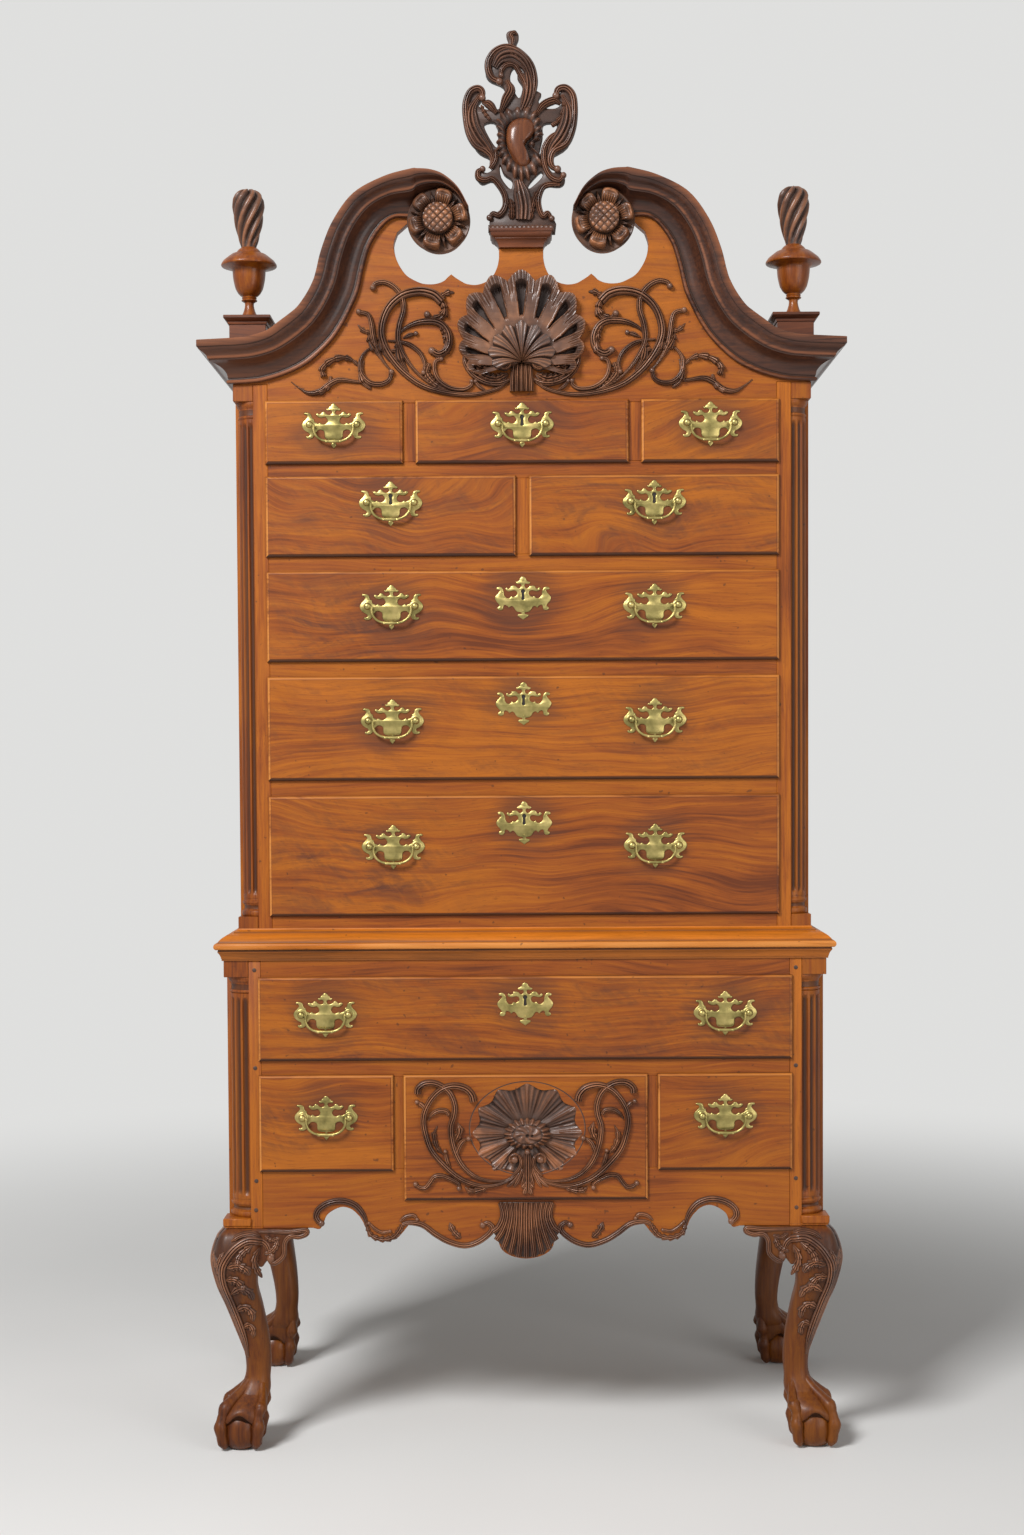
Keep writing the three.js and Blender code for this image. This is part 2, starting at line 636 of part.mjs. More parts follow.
function lowerCase() {
  const open = lowerOpenHalf - seatGap;
  const sideInner = lowerHalf - sideThickness;
  const postBack = postSize + seatGap;
  const rearFront = rearPostFront - seatGap;
  const smallOpenBottom = smallDrawerBottom + lipOverlap;
  const smallOpenTop = smallDrawerTop - lipOverlap;
  const shellOpenBottom = shellDrawerBottom + lipOverlap;
  const waistOpenBottom = waistDrawerBottom + lipOverlap;
  const waistOpenTop = waistDrawerTop - lipOverlap;
  const muntin = [shellDrawerHalfWidth - lipOverlap, smallDrawerInner + lipOverlap];
  const muntinCentre = (muntin[0] + muntin[1]) / 2;
  const pieces = [];

  // The apron under the small drawers steps down under the deep centre drawer
  const edge = scaled(apronOutlineShares, open, apronDrop, apronEdgeHeight);
  const half = [...edge, [open, smallOpenBottom], [muntin[0], smallOpenBottom], [muntin[0], shellOpenBottom]];
  pieces.push(frontBoard([...symmetric(half)], [0, apronThickness]));
  pieces.push(carvedShell({ z: apronEdgeHeight + pendantTopRise, halfWidth: pendantHalfWidth,
    rise: pendantTopRise + apronDrop, thickness: pendantThickness, lobes: pendantLobes,
    spread: Math.PI, turn: Math.PI }, housing));

  // Rails, muntins and the dust board
  pieces.push(board([-open, open], [0, railDepth], [waistOpenTop, lowerTop]));
  pieces.push(board([-open, open], [0, railDepth], [smallOpenTop, waistOpenBottom]));
  pieces.push(board([-open, open], [0, caseDepth], [lowerTop - boardThickness, lowerTop]));
  pieces.push(board([-lowerHalf, lowerHalf], [postBack, rearFront], [lowerTop - boardThickness, lowerTop]));
  pieces.push(board([-open, open], [lowerBack, caseDepth], [shellOpenBottom - runnerThickness, lowerTop]));

  for (const side of [-1, 1]) {
    const boardLength = rearFront - postBack;
    const lowerEdge = sideApronShares.map(([u, v]) => [postBack + u * boardLength, apronEdgeHeight + v * sideApronRise]);
    const outline = [[postBack, lowerTop], [postBack, apronEdgeHeight], ...lowerEdge,
      [rearFront, apronEdgeHeight], [rearFront, lowerTop]];
    pieces.push(sideBoard(outline, [side * sideInner, side * lowerHalf]));
    pieces.push(board([side * muntin[0], side * muntin[1]], [0, railDepth],
      [shellOpenBottom - runnerThickness, smallOpenTop + housing]));
    const partition = [side * (muntinCentre - partitionThickness / 2), side * (muntinCentre + partitionThickness / 2)];
    pieces.push(board(partition, [railDepth - housing, lowerBack + housing],
      [shellOpenBottom - runnerThickness, waistOpenBottom - boardThickness]));
    // Runners under each drawer, with guides beside the outer ones
    const runners = [
      { level: waistOpenBottom, front: railDepth },
      { level: smallOpenBottom, front: apronThickness },
    ];
    for (const { level, front } of runners) {
      pieces.push(guidedRunner(side, lowerOpenHalf, sideInner + housing, level, [postBack, rearFront]));
      pieces.push(board([side * (lowerOpenHalf - runnerWidth), side * open],
        [front - housing, lowerBack + housing], [level - runnerThickness, level]));
    }
    pieces.push(board([side * muntinCentre, side * (muntin[1] + runnerWidth)],
      [apronThickness - housing, lowerBack + housing], [smallOpenBottom - runnerThickness, smallOpenBottom]));
    pieces.push(board([side * (muntin[0] - runnerWidth), side * muntinCentre],
      [apronThickness - housing, lowerBack + housing], [shellOpenBottom - runnerThickness, shellOpenBottom]));
  }
  return join(pieces);
}

addPiece('lower_case', lowerCase(), walnut);

// Upper carcass
function upperCase() {
  const topInner = corniceTop - boardThickness;
  const front = upperFront;
  const railBack = front + railDepth;
  const boardBack = front + scrollBoardThickness + seatGap;
  const sideInner = upperHalf - sideThickness;
  const rowLevels = [
    [upperBottom, lowerLongBottom + lipOverlap],
    [lowerLongTop - lipOverlap, middleLongBottom + lipOverlap],
    [middleLongTop - lipOverlap, upperLongBottom + lipOverlap],
    [upperLongTop - lipOverlap, halfDrawerBottom + lipOverlap],
    [halfDrawerTop - lipOverlap, topDrawerBottom + lipOverlap],
  ];
  const pieces = [];
  for (const levels of rowLevels) {
    pieces.push(board([-upperOpenHalf - housing, upperOpenHalf + housing], [front, railBack], levels));
  }
  pieces.push(board([-upperHalf, upperHalf], [front + railDepth, caseDepth],
    [upperBottom, upperBottom + boardThickness]));
  pieces.push(board([-upperHalf, upperHalf], [boardBack, caseDepth], [topInner, corniceTop]));
  pieces.push(board([-upperHalf, upperHalf], [lowerBack, caseDepth], [upperBottom, corniceTop]));
  for (const side of [-1, 1]) {
    const postTop = corniceBottom;
    const post = board([side * upperOpenHalf, side * upperHalf], [front, front + railDepth], [upperBottom, postTop]);
    const notch = board([side * (upperHalf - upperNotchWidth), side * (upperHalf + cutOverrun)],
      [front - cutOverrun, front + upperNotchWidth], [upperBottom - cutOverrun, postTop + cutOverrun]);
    pieces.push(post.subtract(notch));
    pieces.push(board([side * sideInner, side * upperHalf], [front + upperNotchWidth, caseDepth], [upperBottom, corniceTop]));
    pieces.push(board([side * sideInner, side * upperHalf], [boardBack, front + railDepth],
      [postTop + seatGap, corniceTop]));
    for (const [, level] of rowLevels) {
      pieces.push(guidedRunner(side, upperOpenHalf, sideInner + housing, level,
        [railBack - housing, lowerBack + housing]));
    }
    addTopPartition(pieces, side, railBack, topInner);
  }
  addHalfPartition(pieces, railBack);
  return join(pieces);
}

// Muntin, partition and runners between a side drawer and the centre drawer of the top row
function addTopPartition(pieces, side, railBack, topInner) {
  const muntin = [topDrawerHalfWidth - lipOverlap, topSideDrawerInner + lipOverlap];
  const centre = (muntin[0] + muntin[1]) / 2;
  const level = topDrawerBottom + lipOverlap;
  const opening = topDrawerTop - lipOverlap;
  pieces.push(board([side * muntin[0], side * muntin[1]], [upperFront, railBack], [level - housing, opening - seatGap]));
  const partition = [side * (centre - partitionThickness / 2), side * (centre + partitionThickness / 2)];
  pieces.push(board(partition, [railBack - housing, lowerBack + housing], [level - runnerThickness, topInner + housing]));
  pieces.push(board([side * (muntin[0] - runnerWidth), side * (muntin[1] + runnerWidth)],
    [railBack - housing, lowerBack + housing], [level - runnerThickness, level]));
}

// Muntin, partition and runner between the two half-width drawers
function addHalfPartition(pieces, railBack) {
  const muntin = halfDrawerInner + lipOverlap;
  const level = halfDrawerBottom + lipOverlap;
  const opening = halfDrawerTop - lipOverlap;
  pieces.push(board([-muntin, muntin], [upperFront, railBack], [level - housing, opening + housing]));
  pieces.push(board([-partitionThickness / 2, partitionThickness / 2], [railBack - housing, lowerBack + housing],
    [level - runnerThickness, opening + housing]));
  pieces.push(board([-muntin - runnerWidth, muntin + runnerWidth], [railBack - housing, lowerBack + housing],
    [level - runnerThickness, level]));
}

addPiece('upper_case', upperCase(), walnut);

// Waist moulding: [share of its projection, height above its lower edge as a share]
const waistProfileShares = [
  [0.13, 0], [0.2, 0.1], [0.5, 0.2], [0.8, 0.29], [0.95, 0.38], [1, 0.5], [0.93, 0.6], [0.66, 0.66],
];
const waistCoveShares = [[0, 0.72], [0.42, 0.8], [0.78, 0.9], [1, 1]];

function waistMoulding() {
  const profile = [[seatGap, waistBottom]];
  for (const [p, h] of waistProfileShares) {
    profile.push([waistProjection * p, waistBottom + waistHeight * h]);
  }
  for (const [p, h] of waistCoveShares) {
    profile.push([-(upperFront - seatGap) * p, waistBottom + waistHeight * h]);
  }
  profile.push([-(upperFront - seatGap), lowerTop + seatGap], [seatGap, lowerTop + seatGap]);
  const rings = [
    profile.map(([p, z]) => [-lowerHalf - p, caseDepth, z]),
    profile.map(([p, z]) => [-lowerHalf - p, -p, z]),
    profile.map(([p, z]) => [lowerHalf + p, -p, z]),
    profile.map(([p, z]) => [lowerHalf + p, caseDepth, z]),
  ];
  return skin(rings, profile);
}

addPiece('waist_moulding', waistMoulding(), walnut);

// Quarter columns, built about the inner corner of their notch, bulging towards +x and -y
const columnBaseShares = [[1, 0], [1.06, 0.14], [1.05, 0.34], [0.97, 0.45], [1.02, 0.66], [0.96, 1]];
const columnCapitalShares = [[0.96, 0], [1.02, 0.16], [0.94, 0.34], [0.94, 0.6], [1.08, 0.85], [1.08, 1]];
const fluteShares = [0.14, 0.5, 0.86];
const columnSegments = 12;

function quarterColumn({ notch, inset, bottom, blockTop, blockBottom, top }) {
  const radius = notch - inset;
  const quarter = (z0, z1) => board([seatGap, notch], [-notch, -seatGap], [z0, z1]);
  const outline = [[seatGap, -seatGap], [seatGap, -radius]];
  for (let flute = 0; flute < fluteCount; flute += 1) {
    for (const share of fluteShares) {
      const angle = ((flute + share) / fluteCount) * (Math.PI / 2);
      const reach = share === fluteShares[1] ? radius - fluteDepth : radius;
      outline.push([reach * Math.sin(angle), -reach * Math.cos(angle)]);
    }
  }
  outline.push([radius, -seatGap]);
  const turned = (shares, z0, height) => {
    const profile = shares.map(([r, h]) => [radius * r, z0 + height * h]);
    const closed = [[0, profile[0][1]], ...profile, [0, profile[profile.length - 1][1]]];
    return turnedPiece(closed, columnSegments).intersect(quarter(z0, z0 + height));
  };
  return join([
    quarter(bottom, blockTop),
    turned(columnBaseShares, blockTop, columnBaseHeight),
    pillar(outline, [blockTop + columnBaseHeight, blockBottom - columnCapitalHeight]),
    turned(columnCapitalShares, blockBottom - columnCapitalHeight, columnCapitalHeight),
    quarter(blockBottom, top),
  ]);
}

const lowerColumn = quarterColumn({
  notch: lowerNotchWidth,
  inset: lowerColumnInset,
  bottom: apronEdgeHeight + columnFootRise + seatGap,
  blockTop: apronEdgeHeight + columnFootRise + columnFootHeight,
  blockBottom: waistDrawerTop,
  top: lowerTop,
});
const upperColumn = quarterColumn({
  notch: upperNotchWidth,
  inset: upperColumnInset,
  bottom: upperBottom,
  blockTop: lowerLongBottom,
  blockBottom: topDrawerTop,
  top: corniceBottom,
});
for (const [side, word] of [[-1, 'left'], [1, 'right']]) {
  const lower = side > 0 ? lowerColumn : mirrored(lowerColumn, 'x');
  const upper = side > 0 ? upperColumn : mirrored(upperColumn, 'x');
  addPiece(`lower_column_${word}`, lower, walnut, [side * (lowerHalf - lowerNotchWidth), lowerNotchWidth, 0]);
  addPiece(`upper_column_${word}`, upper, walnut,
    [side * (upperHalf - upperNotchWidth), upperFront + upperNotchWidth, 0]);
}

// The swan-neck curve: the lower and upper edges of the moulding, from the corner to the rosette,
// as shares of the scroll's half width and of its height
const innerEdgeShares = [
  [0.86, 0.003], [0.808, 0.012], [0.739, 0.043], [0.677, 0.088], [0.628, 0.147], [0.585, 0.217],
  [0.555, 0.286], [0.532, 0.354], [0.506, 0.446], [0.488, 0.565], [0.465, 0.675], [0.427, 0.76],
  [0.39, 0.798],
];
const outerEdgeShares = [
  [0.887, 0.199], [0.837, 0.208], [0.784, 0.234], [0.747, 0.275], [0.712, 0.315], [0.688, 0.347],
  [0.66, 0.408], [0.64, 0.468], [0.63, 0.517], [0.613, 0.619], [0.577, 0.754], [0.514, 0.884],
  [0.422, 0.962],
];
// Where the moulding wraps the rosette: [degrees, share of the rosette's radius]
const innerCurlShares = [[12, 0.87], [34, 0.86], [59, 0.86], [96, 0.86], [130, 0.86], [161, 0.86]];
const outerCurlShares = [[59.3, 1.71], [66.5, 1.62], [81, 1.47], [98, 1.31], [125, 1.1], [162, 1.01]];
const corniceProfileShares = [
  [0, 0], [0, 0.12], [0.07, 0.17], [0.14, 0.12], [0.28, 0.18], [0.42, 0.34], [0.55, 0.63],
  [0.61, 0.65], [0.72, 0.84], [0.86, 1], [1, 1], [1, 0],
];
const rosetteCentreShares = [0.2545, 0.772];
const corniceStations = 14;
const scrollReachShare = 1.1086;
const scrollHalf = upperHalf * scrollReachShare;
const rosetteCentre = [scrollHalf * rosetteCentreShares[0], corniceBottom + scrollHeight * rosetteCentreShares[1]];

function aroundRosette(degrees, radius) {
  const angle = THREE.MathUtils.degToRad(degrees);
  return [rosetteCentre[0] + radius * Math.cos(angle), rosetteCentre[1] + radius * Math.sin(angle)];
}

function curveThrough(shares, curlShares) {
  const points = scaled(shares, scrollHalf, scrollHeight, corniceBottom);
  const curl = curlShares.map(([degrees, reach]) => aroundRosette(degrees, rosetteRadius * reach));
  return new THREE.SplineCurve([...points, ...curl].map(([x, z]) => new THREE.Vector2(x, z)));
}

const innerEdge = curveThrough(innerEdgeShares, innerCurlShares);
const outerEdge = curveThrough(outerEdgeShares, outerCurlShares);

// Side return and swan neck in one sweep that turns the corner on a mitre
function swanNeck() {
  const run = ([u, v], x, y) => {
    const out = seatGap + (corniceProjection - seatGap) * v;
    return [x + out, y - out, corniceBottom + corniceHeight * u];
  };
  const back = corniceProfileShares.map((share) => {
    const [x, , z] = run(share, upperHalf, upperFront);
    return [x, caseDepth, z];
  });
  const rings = [back, corniceProfileShares.map((share) => run(share, upperHalf, upperFront))];
  for (let i = 0; i <= corniceStations; i += 1) {
    const inner = innerEdge.getPoint(i / corniceStations);
    const outer = outerEdge.getPoint(i / corniceStations);
    rings.push(corniceProfileShares.map(([u, v]) => [
      lerp(inner.x, outer.x, u),
      upperFront - seatGap - (corniceProjection - seatGap) * v,
      lerp(inner.y, outer.y, u),
    ]));
  }
  return skin(rings, corniceProfileShares);
}

// A flower of eight petals round a raised eye: [share of the radius, share of the depth, petal share]
const rosetteRingShares = [
  [0.93, 0, 0], [0.97, 0.86, 0.07], [0.62, 1, 0.06], [0.3, 0.9, 0],
];
const petalCount = 8;

function rosette() {
  const rings = rosetteRingShares.map(([reach, depth, petal]) => ringSides(2 * petalCount).map(([c, s], i) => {
    const radius = rosetteRadius * (reach + (i % 2 ? petal : -petal));
    return [rosetteCentre[0] + radius * c, upperFront - seatGap - (rosetteDepth - seatGap) * depth,
      rosetteCentre[1] + radius * s];
  }));
  return skin(rings, ringSides(2 * petalCount));
}

const rightCornice = join([swanNeck(), rosette()]);
addPiece('cornice_left', mirrored(rightCornice, 'x'), darkWalnut);
addPiece('cornice_right', rightCornice, darkWalnut);

// The scroll board follows the moulding's upper edge, then the rosette and the pierced opening
const boardEdgeShare = 0.92;
const boardEdgeSteps = 12;
const boardEdgeEndShare = 0.72;
const boardDiscShare = 0.88;
const boardDiscDegrees = [75, 112, 150, 187, 225, 262, 300, 335, 368];
const pierceShares = [
  [0.385, 0.73], [0.3965, 0.673], [0.375, 0.56], [0.333, 0.5], [0.281, 0.48], [0.24, 0.497], [0.218, 0.528],
  [0.19, 0.497], [0.16, 0.478], [0.131, 0.479], [0.1, 0.502], [0.08, 0.541], [0.069, 0.604],
];

function scrollBoard() {
  const lowerEdge = topDrawerTop - lipOverlap;
  const tongue = upperOpenHalf - seatGap;
  const half = [[0, lowerEdge], [tongue, lowerEdge], [tongue, corniceBottom + seatGap],
    [upperHalf, corniceBottom + seatGap], [upperHalf, corniceTop]];
  for (let i = 0; i <= boardEdgeSteps; i += 1) {
    const t = (boardEdgeEndShare * i) / boardEdgeSteps;
    const inner = innerEdge.getPoint(t);
    const outer = outerEdge.getPoint(t);
    half.push([lerp(inner.x, outer.x, boardEdgeShare), lerp(inner.y, outer.y, boardEdgeShare)]);
  }
  for (const degrees of boardDiscDegrees) {
    half.push(aroundRosette(degrees, rosetteRadius * boardDiscShare));
  }
  half.push(...scaled(pierceShares, scrollHalf, scrollHeight, corniceBottom));
  const neck = scrollHalf * pierceShares[pierceShares.length - 1][0];
  half.push([neck, cartoucheSeatHeight], [0, cartoucheSeatHeight]);
  const face = [upperFront, upperFront + scrollBoardThickness];
  const pieces = [frontBoard(symmetric(half), face)];
  // Glue blocks stand on the top board, and one stiffens the neck under the cartouche
  const blocks = [face[1] - housing, face[1] + glueBlockSize];
  const foot = corniceTop + seatGap;
  for (const side of [-1, 1]) {
    const x = side * upperHalf * glueBlockShare;
    pieces.push(board([x - glueBlockSize / 2, x + glueBlockSize / 2], blocks, [foot, foot + glueBlockHeight]));
  }
  pieces.push(board([-neck + housing, neck - housing], blocks, [foot, cartoucheSeatHeight]));
  return join(pieces);
}

addPiece('scroll_board', scrollBoard(), walnut);

// Applied shell with its fluted stem
const stemProfileShares = [[-1, 0.35], [-0.6, 0.8], [-0.2, 0.6], [0.2, 0.6], [0.6, 0.8], [1, 0.35]];

function pedimentShell() {
  const back = upperFront - seatGap;
  const shell = carvedShell({ z: shellHubHeight, halfWidth: shellHalfWidth, rise: shellRise,
    thickness: shellThickness, lobes: shellLobes, spread: shellFanAngle, turn: 0 }, back);
  const stem = stemProfileShares.map(([u, v]) => [u * shellStemHalfWidth, back - v * shellThickness]);
  const outline = [...stem, [shellStemHalfWidth, back], [-shellStemHalfWidth, back]];
  return join([shell, pillar(outline, [shellHubHeight - shellStemDrop, shellHubHeight + shellStemDrop / 2])]);
}

addPiece('pediment_shell', pedimentShell(), darkWalnut);

// A square block that spreads and steps in, ring by ring: [overhang share, height share]
function mouldedBlock(halfWidth, halfDepth, overhang, bottom, height, shares) {
  const rings = shares.map(([spread, rise]) => {
    const x = halfWidth + overhang * spread;
    const y = halfDepth + overhang * spread;
    const z = bottom + height * rise;
    return [[-x, -y, z], [x, -y, z], [x, y, z], [-x, y, z]];
  });
  return skin(rings, [[-1, -1], [1, -1], [1, 1], [-1, 1]]);
}

// Finial: plinth, urn with its lid, and a twisted flame
const plinthRise = plinthHeight / (plinthHeight + plinthCapHeight);
const capCoveShare = 0.55;
const plinthShares = [[0, 0], [0, plinthRise], [1, lerp(plinthRise, 1, capCoveShare)], [1, 1]];
const urnProfileShares = [
  [0.3, -0.02], [0.28, 0.03], [0.2, 0.06], [0.29, 0.15], [0.24, 0.2], [0.48, 0.35], [0.61, 0.62],
  [0.72, 0.68], [1, 0.72], [0.97, 0.77], [0.62, 0.91], [0.34, 0.99], [0.24, 1],
];
const flameRingShares = [[0.44, 0], [0.62, 0.16], [0.92, 0.42], [1, 0.68], [0.84, 0.88], [0.3, 1]];
const flameRidges = 6;
const flameGrooveShare = 0.76;
const urnSegments = 9;

function finial() {
  const blockTop = plinthHeight + plinthCapHeight;
  const plinth = mouldedBlock(plinthWidth / 2, plinthWidth / 2, plinthCapOverhang, 0, blockTop, plinthShares);
  const profile = scaled(urnProfileShares, urnRadius, urnHeight, blockTop);
  const urn = turnedPiece([[0, profile[0][1]], ...profile, [0, blockTop + urnHeight]], urnSegments);
  const flameFoot = blockTop + urnHeight - housing;
  const rings = flameRingShares.map(([reach, rise]) => ringSides(2 * flameRidges).map((_, i) => {
    const angle = (Math.PI * i) / flameRidges + flameTwist * rise;
    const radius = flameRadius * reach * (i % 2 ? flameGrooveShare : 1);
    return [radius * Math.cos(angle), radius * Math.sin(angle), flameFoot + flameHeight * rise];
  }));
  return join([plinth, urn, skin(rings, ringSides(2 * flameRidges))]);
}

const finialSolid = finial();
const finialX = upperHalf + plinthCapOverhang - plinthWidth / 2;
const finialY = upperFront + scrollBoardThickness + plinthCapOverhang + seatGap + plinthWidth / 2;
addPiece('finial_left', finialSolid, urnWalnut, [-finialX, finialY, corniceTop + seatGap]);
addPiece('finial_right', finialSolid, urnWalnut, [finialX, finialY, corniceTop + seatGap]);

// Cartouche: a pierced plate with a smooth cabochon in a ruffle, on a moulded plinth cap.
// Outlines are shares of its half width and height.
const cartoucheShares = [
  [0.6, 0], [0.62, 0.04], [0.52, 0.094], [0.41, 0.074], [0.32, 0.114], [0.3, 0.169], [0.38, 0.228],
  [0.69, 0.227], [0.78, 0.259], [0.7, 0.302], [0.55, 0.298], [0.49, 0.358], [0.83, 0.424], [0.99, 0.553],
  [0.97, 0.616], [0.89, 0.679], [0.76, 0.709], [0.62, 0.656], [0.75, 0.638], [0.61, 0.613], [0.41, 0.617],
  [0.32, 0.649], [0.37, 0.684], [0.29, 0.7], [0.28, 0.774], [0.2, 0.837], [0, 0.892], [-0.07, 0.927],
  [-0.02, 0.963], [-0.05, 0.99], [-0.16, 1], [-0.24, 0.979], [-0.2, 0.924], [-0.41, 0.912],
  [-0.6, 0.815], [-0.55, 0.756], [-0.3, 0.72], [-0.28, 0.673], [-0.35, 0.618], [-0.53, 0.607],
  [-0.73, 0.627], [-0.64, 0.666], [-0.72, 0.701], [-0.86, 0.69], [-0.99, 0.635], [-1, 0.564],
  [-0.78, 0.411], [-0.53, 0.363], [-0.48, 0.32], [-0.59, 0.296], [-0.72, 0.308], [-0.79, 0.281],
  [-0.68, 0.241], [-0.48, 0.253], [-0.33, 0.186], [-0.33, 0.123], [-0.55, 0.08], [-0.56, 0],
];
const cartoucheHoleShares = [
  [[-0.14, 0.806], [-0.03, 0.818], [-0.05, 0.767], [0.04, 0.72], [-0.03, 0.665], [-0.17, 0.751]],
  [[-0.63, 0.536], [-0.42, 0.536], [-0.41, 0.422], [-0.56, 0.477]],
  [[0.41, 0.535], [0.64, 0.534], [0.57, 0.483], [0.41, 0.417], [0.33, 0.389], [0.39, 0.468]],
  [[-0.36, 0.335], [-0.29, 0.288], [-0.15, 0.256], [-0.18, 0.215], [-0.34, 0.272]],
  [[0.35, 0.299], [0.15, 0.24], [0.16, 0.218], [0.37, 0.271]],
];
const cabochonShares = [
  [-0.24, 0.461], [-0.2, 0.516], [-0.06, 0.545], [0.14, 0.547], [0.25, 0.515], [0.25, 0.476], [0.11, 0.453],
  [0.08, 0.421], [0.12, 0.382], [0.18, 0.342], [0.12, 0.315], [-0.01, 0.315], [-0.13, 0.351], [-0.21, 0.406],
];
const ruffleShares = [
  [-0.42, 0.555], [-0.43, 0.469], [-0.38, 0.367], [-0.29, 0.288], [-0.06, 0.256], [0.16, 0.264], [0.3, 0.295],
  [0.4, 0.366], [0.27, 0.405], [0.38, 0.468], [0.4, 0.546], [0.28, 0.594], [0.08, 0.578], [-0.2, 0.602],
];
const cartoucheCapShares = [[0, 0], [0.35, 0.1], [0.5, 0.35], [0.95, 0.5], [1, 0.75], [1, 1]];
const capOverhangShare = 0.4;
const reliefInsetShare = 0.8;

// A raised pad whose front is drawn in towards its middle
function pad(outline, back, bulge) {
  const middle = outline.reduce(([a, b], [u, v]) => [a + u / outline.length, b + v / outline.length], [0, 0]);
  const ring = (share, y) => outline.map(([u, v]) => [lerp(middle[0], u, share), y, lerp(middle[1], v, share)]);
  return skin([ring(1, back), ring(1, back - bulge / 2), ring(reliefInsetShare, back - bulge)], outline);
}

function cartouche() {
  const base = cartoucheCapHeight;
  const fit = (shares) => scaled(shares, cartoucheHalfWidth, cartoucheHeight, base);
  const outline = fit(cartoucheShares);
  outline[0][1] = base - housing;
  outline[outline.length - 1][1] = base - housing;
  const half = cartoucheThickness / 2;
  const neck = scrollHalf * pierceShares[pierceShares.length - 1][0];
  return join([
    frontBoard(outline, [-half, half], cartoucheHoleShares.map(fit)),
    pad(fit(ruffleShares), -half + housing, ruffleBulge + housing),
    pad(fit(cabochonShares), -half + housing, cabochonBulge + housing),
    mouldedBlock(neck, scrollBoardThickness / 2 + glueBlockSize / 4, neck * capOverhangShare, 0,
      cartoucheCapHeight, cartoucheCapShares),
  ]);
}

addPiece('cartouche', cartouche(), darkWalnut,
  [0, upperFront + scrollBoardThickness / 2, cartoucheSeatHeight + seatGap]);

// Cabriole leg of the right front corner. Rings give its outer and inner faces as shares of the post:
// [height share above the ball, outer share, inner share, corner rounding share]
const legRingShares = [
  [1, 0, 1, 0.08], [0.958, -0.6, 1, 0.2], [0.879, -0.97, 0.94, 0.28], [0.794, -0.98, 0.85, 0.32],
  [0.686, -0.65, 0.8, 0.36], [0.565, -0.02, 0.92, 0.4], [0.395, 0.78, 1.06, 0.42],
  [0.25, 1.2, 1.11, 0.42], [0.153, 1.12, 1.08, 0.42], [0.057, 0.35, 1.05, 0.4], [-0.05, 0.1, 0.62, 0.4],
];
const cornerSteps = 2;
const talonPathShares = [[0.3, 1.55], [0.95, 1.05], [1.16, 0.6], [1.08, 0.22]];
const talonGirthShares = [0.58, 0.56, 0.58, 0.28];
const talonPitchShare = 0.5;
const talonSides = 4;
const ballProfileShares = [[0.65, 0], [0.93, 0.17], [1, 0.45], [0.87, 0.75], [0.5, 0.97]];
const ballSegments = 8;

function roundedSquare(low, high, rounding) {
  const radius = (high - low) * rounding;
  const corners = [[high - radius, high - radius], [low + radius, high - radius], [low + radius, low + radius],
    [high - radius, low + radius]];
  return corners.flatMap(([x, y], i) => Array.from({ length: cornerSteps }, (_, k) => {
    const angle = (Math.PI / 2) * (i + k / (cornerSteps - 1));
    return [x + radius * Math.cos(angle), y + radius * Math.sin(angle)];
  }));
}

// The leg is made with its post's outer corner on the origin and the inside towards +x and +y
function cabrioleLeg() {
  const rings = legRingShares.map(([rise, outer, inner, rounding]) => {
    const z = lerp(ballHeight, apronEdgeHeight, rise);
    return roundedSquare(outer * kneeSwellDepth, postSize * inner, rounding).map(([x, y]) => [x, y, z]);
  });
  const end = roundedSquare(0, postSize, legRingShares[0][3]);
  const leg = skin(rings, end);
  return join([leg, ...clawFoot(), kneeBracket(), swapped(kneeBracket())]);
}

function swapped(solid) {
  return mirrored(toSolid(toGeometry(solid).rotateZ(Math.PI / 2)), 'x');
}

// A ball flattened on the floor, held by four talons
function clawFoot() {
  const profile = scaled(ballProfileShares, ballRadius, ballHeight);
  const ball = turnedPiece([[0, 0], ...profile, [0, ballHeight]], ballSegments);
  const pieces = [toSolid(toGeometry(ball).translate(footInset, footInset, 0))];
  for (let i = 0; i < 4; i += 1) {
    pieces.push(talon((Math.PI / 2) * i + Math.PI / 4));
  }
  return pieces;
}

function talon(heading) {
  const rings = talonPathShares.map(([reach, rise], i) => {
    const girth = talonWidth * talonGirthShares[i];
    const r = ballRadius * reach;
    const z = ballHeight * rise;
    return ringSides(talonSides).map(([c, s]) => {
      const away = r + girth * c;
      const across = girth * s;
      return [
        footInset + away * Math.cos(heading) - across * Math.sin(heading),
        footInset + away * Math.sin(heading) + across * Math.cos(heading),
        z + girth * c * talonPitchShare,
      ];
    });
  });
  return skin(rings, ringSides(talonSides));
}

// Knee bracket in front, glued under the apron's straight edge: shares of the post and of the knee's drop
const bracketShares = [[0.75, -0.2], [0.88, -0.71], [1.25, -0.64], [1.5, -0.56], [1.62, -0.27], [2.2, -0.13], [2.23, 0]];
const kneeDrop = 100;

function kneeBracket() {
  const outline = bracketShares.map(([u, v]) => [u * postSize, apronEdgeHeight + v * kneeDrop - seatGap]);
  return frontBoard([...outline, [postSize * bracketShares[0][0], apronEdgeHeight - seatGap]],
    [-bracketThickness / 4, bracketThickness]);
}

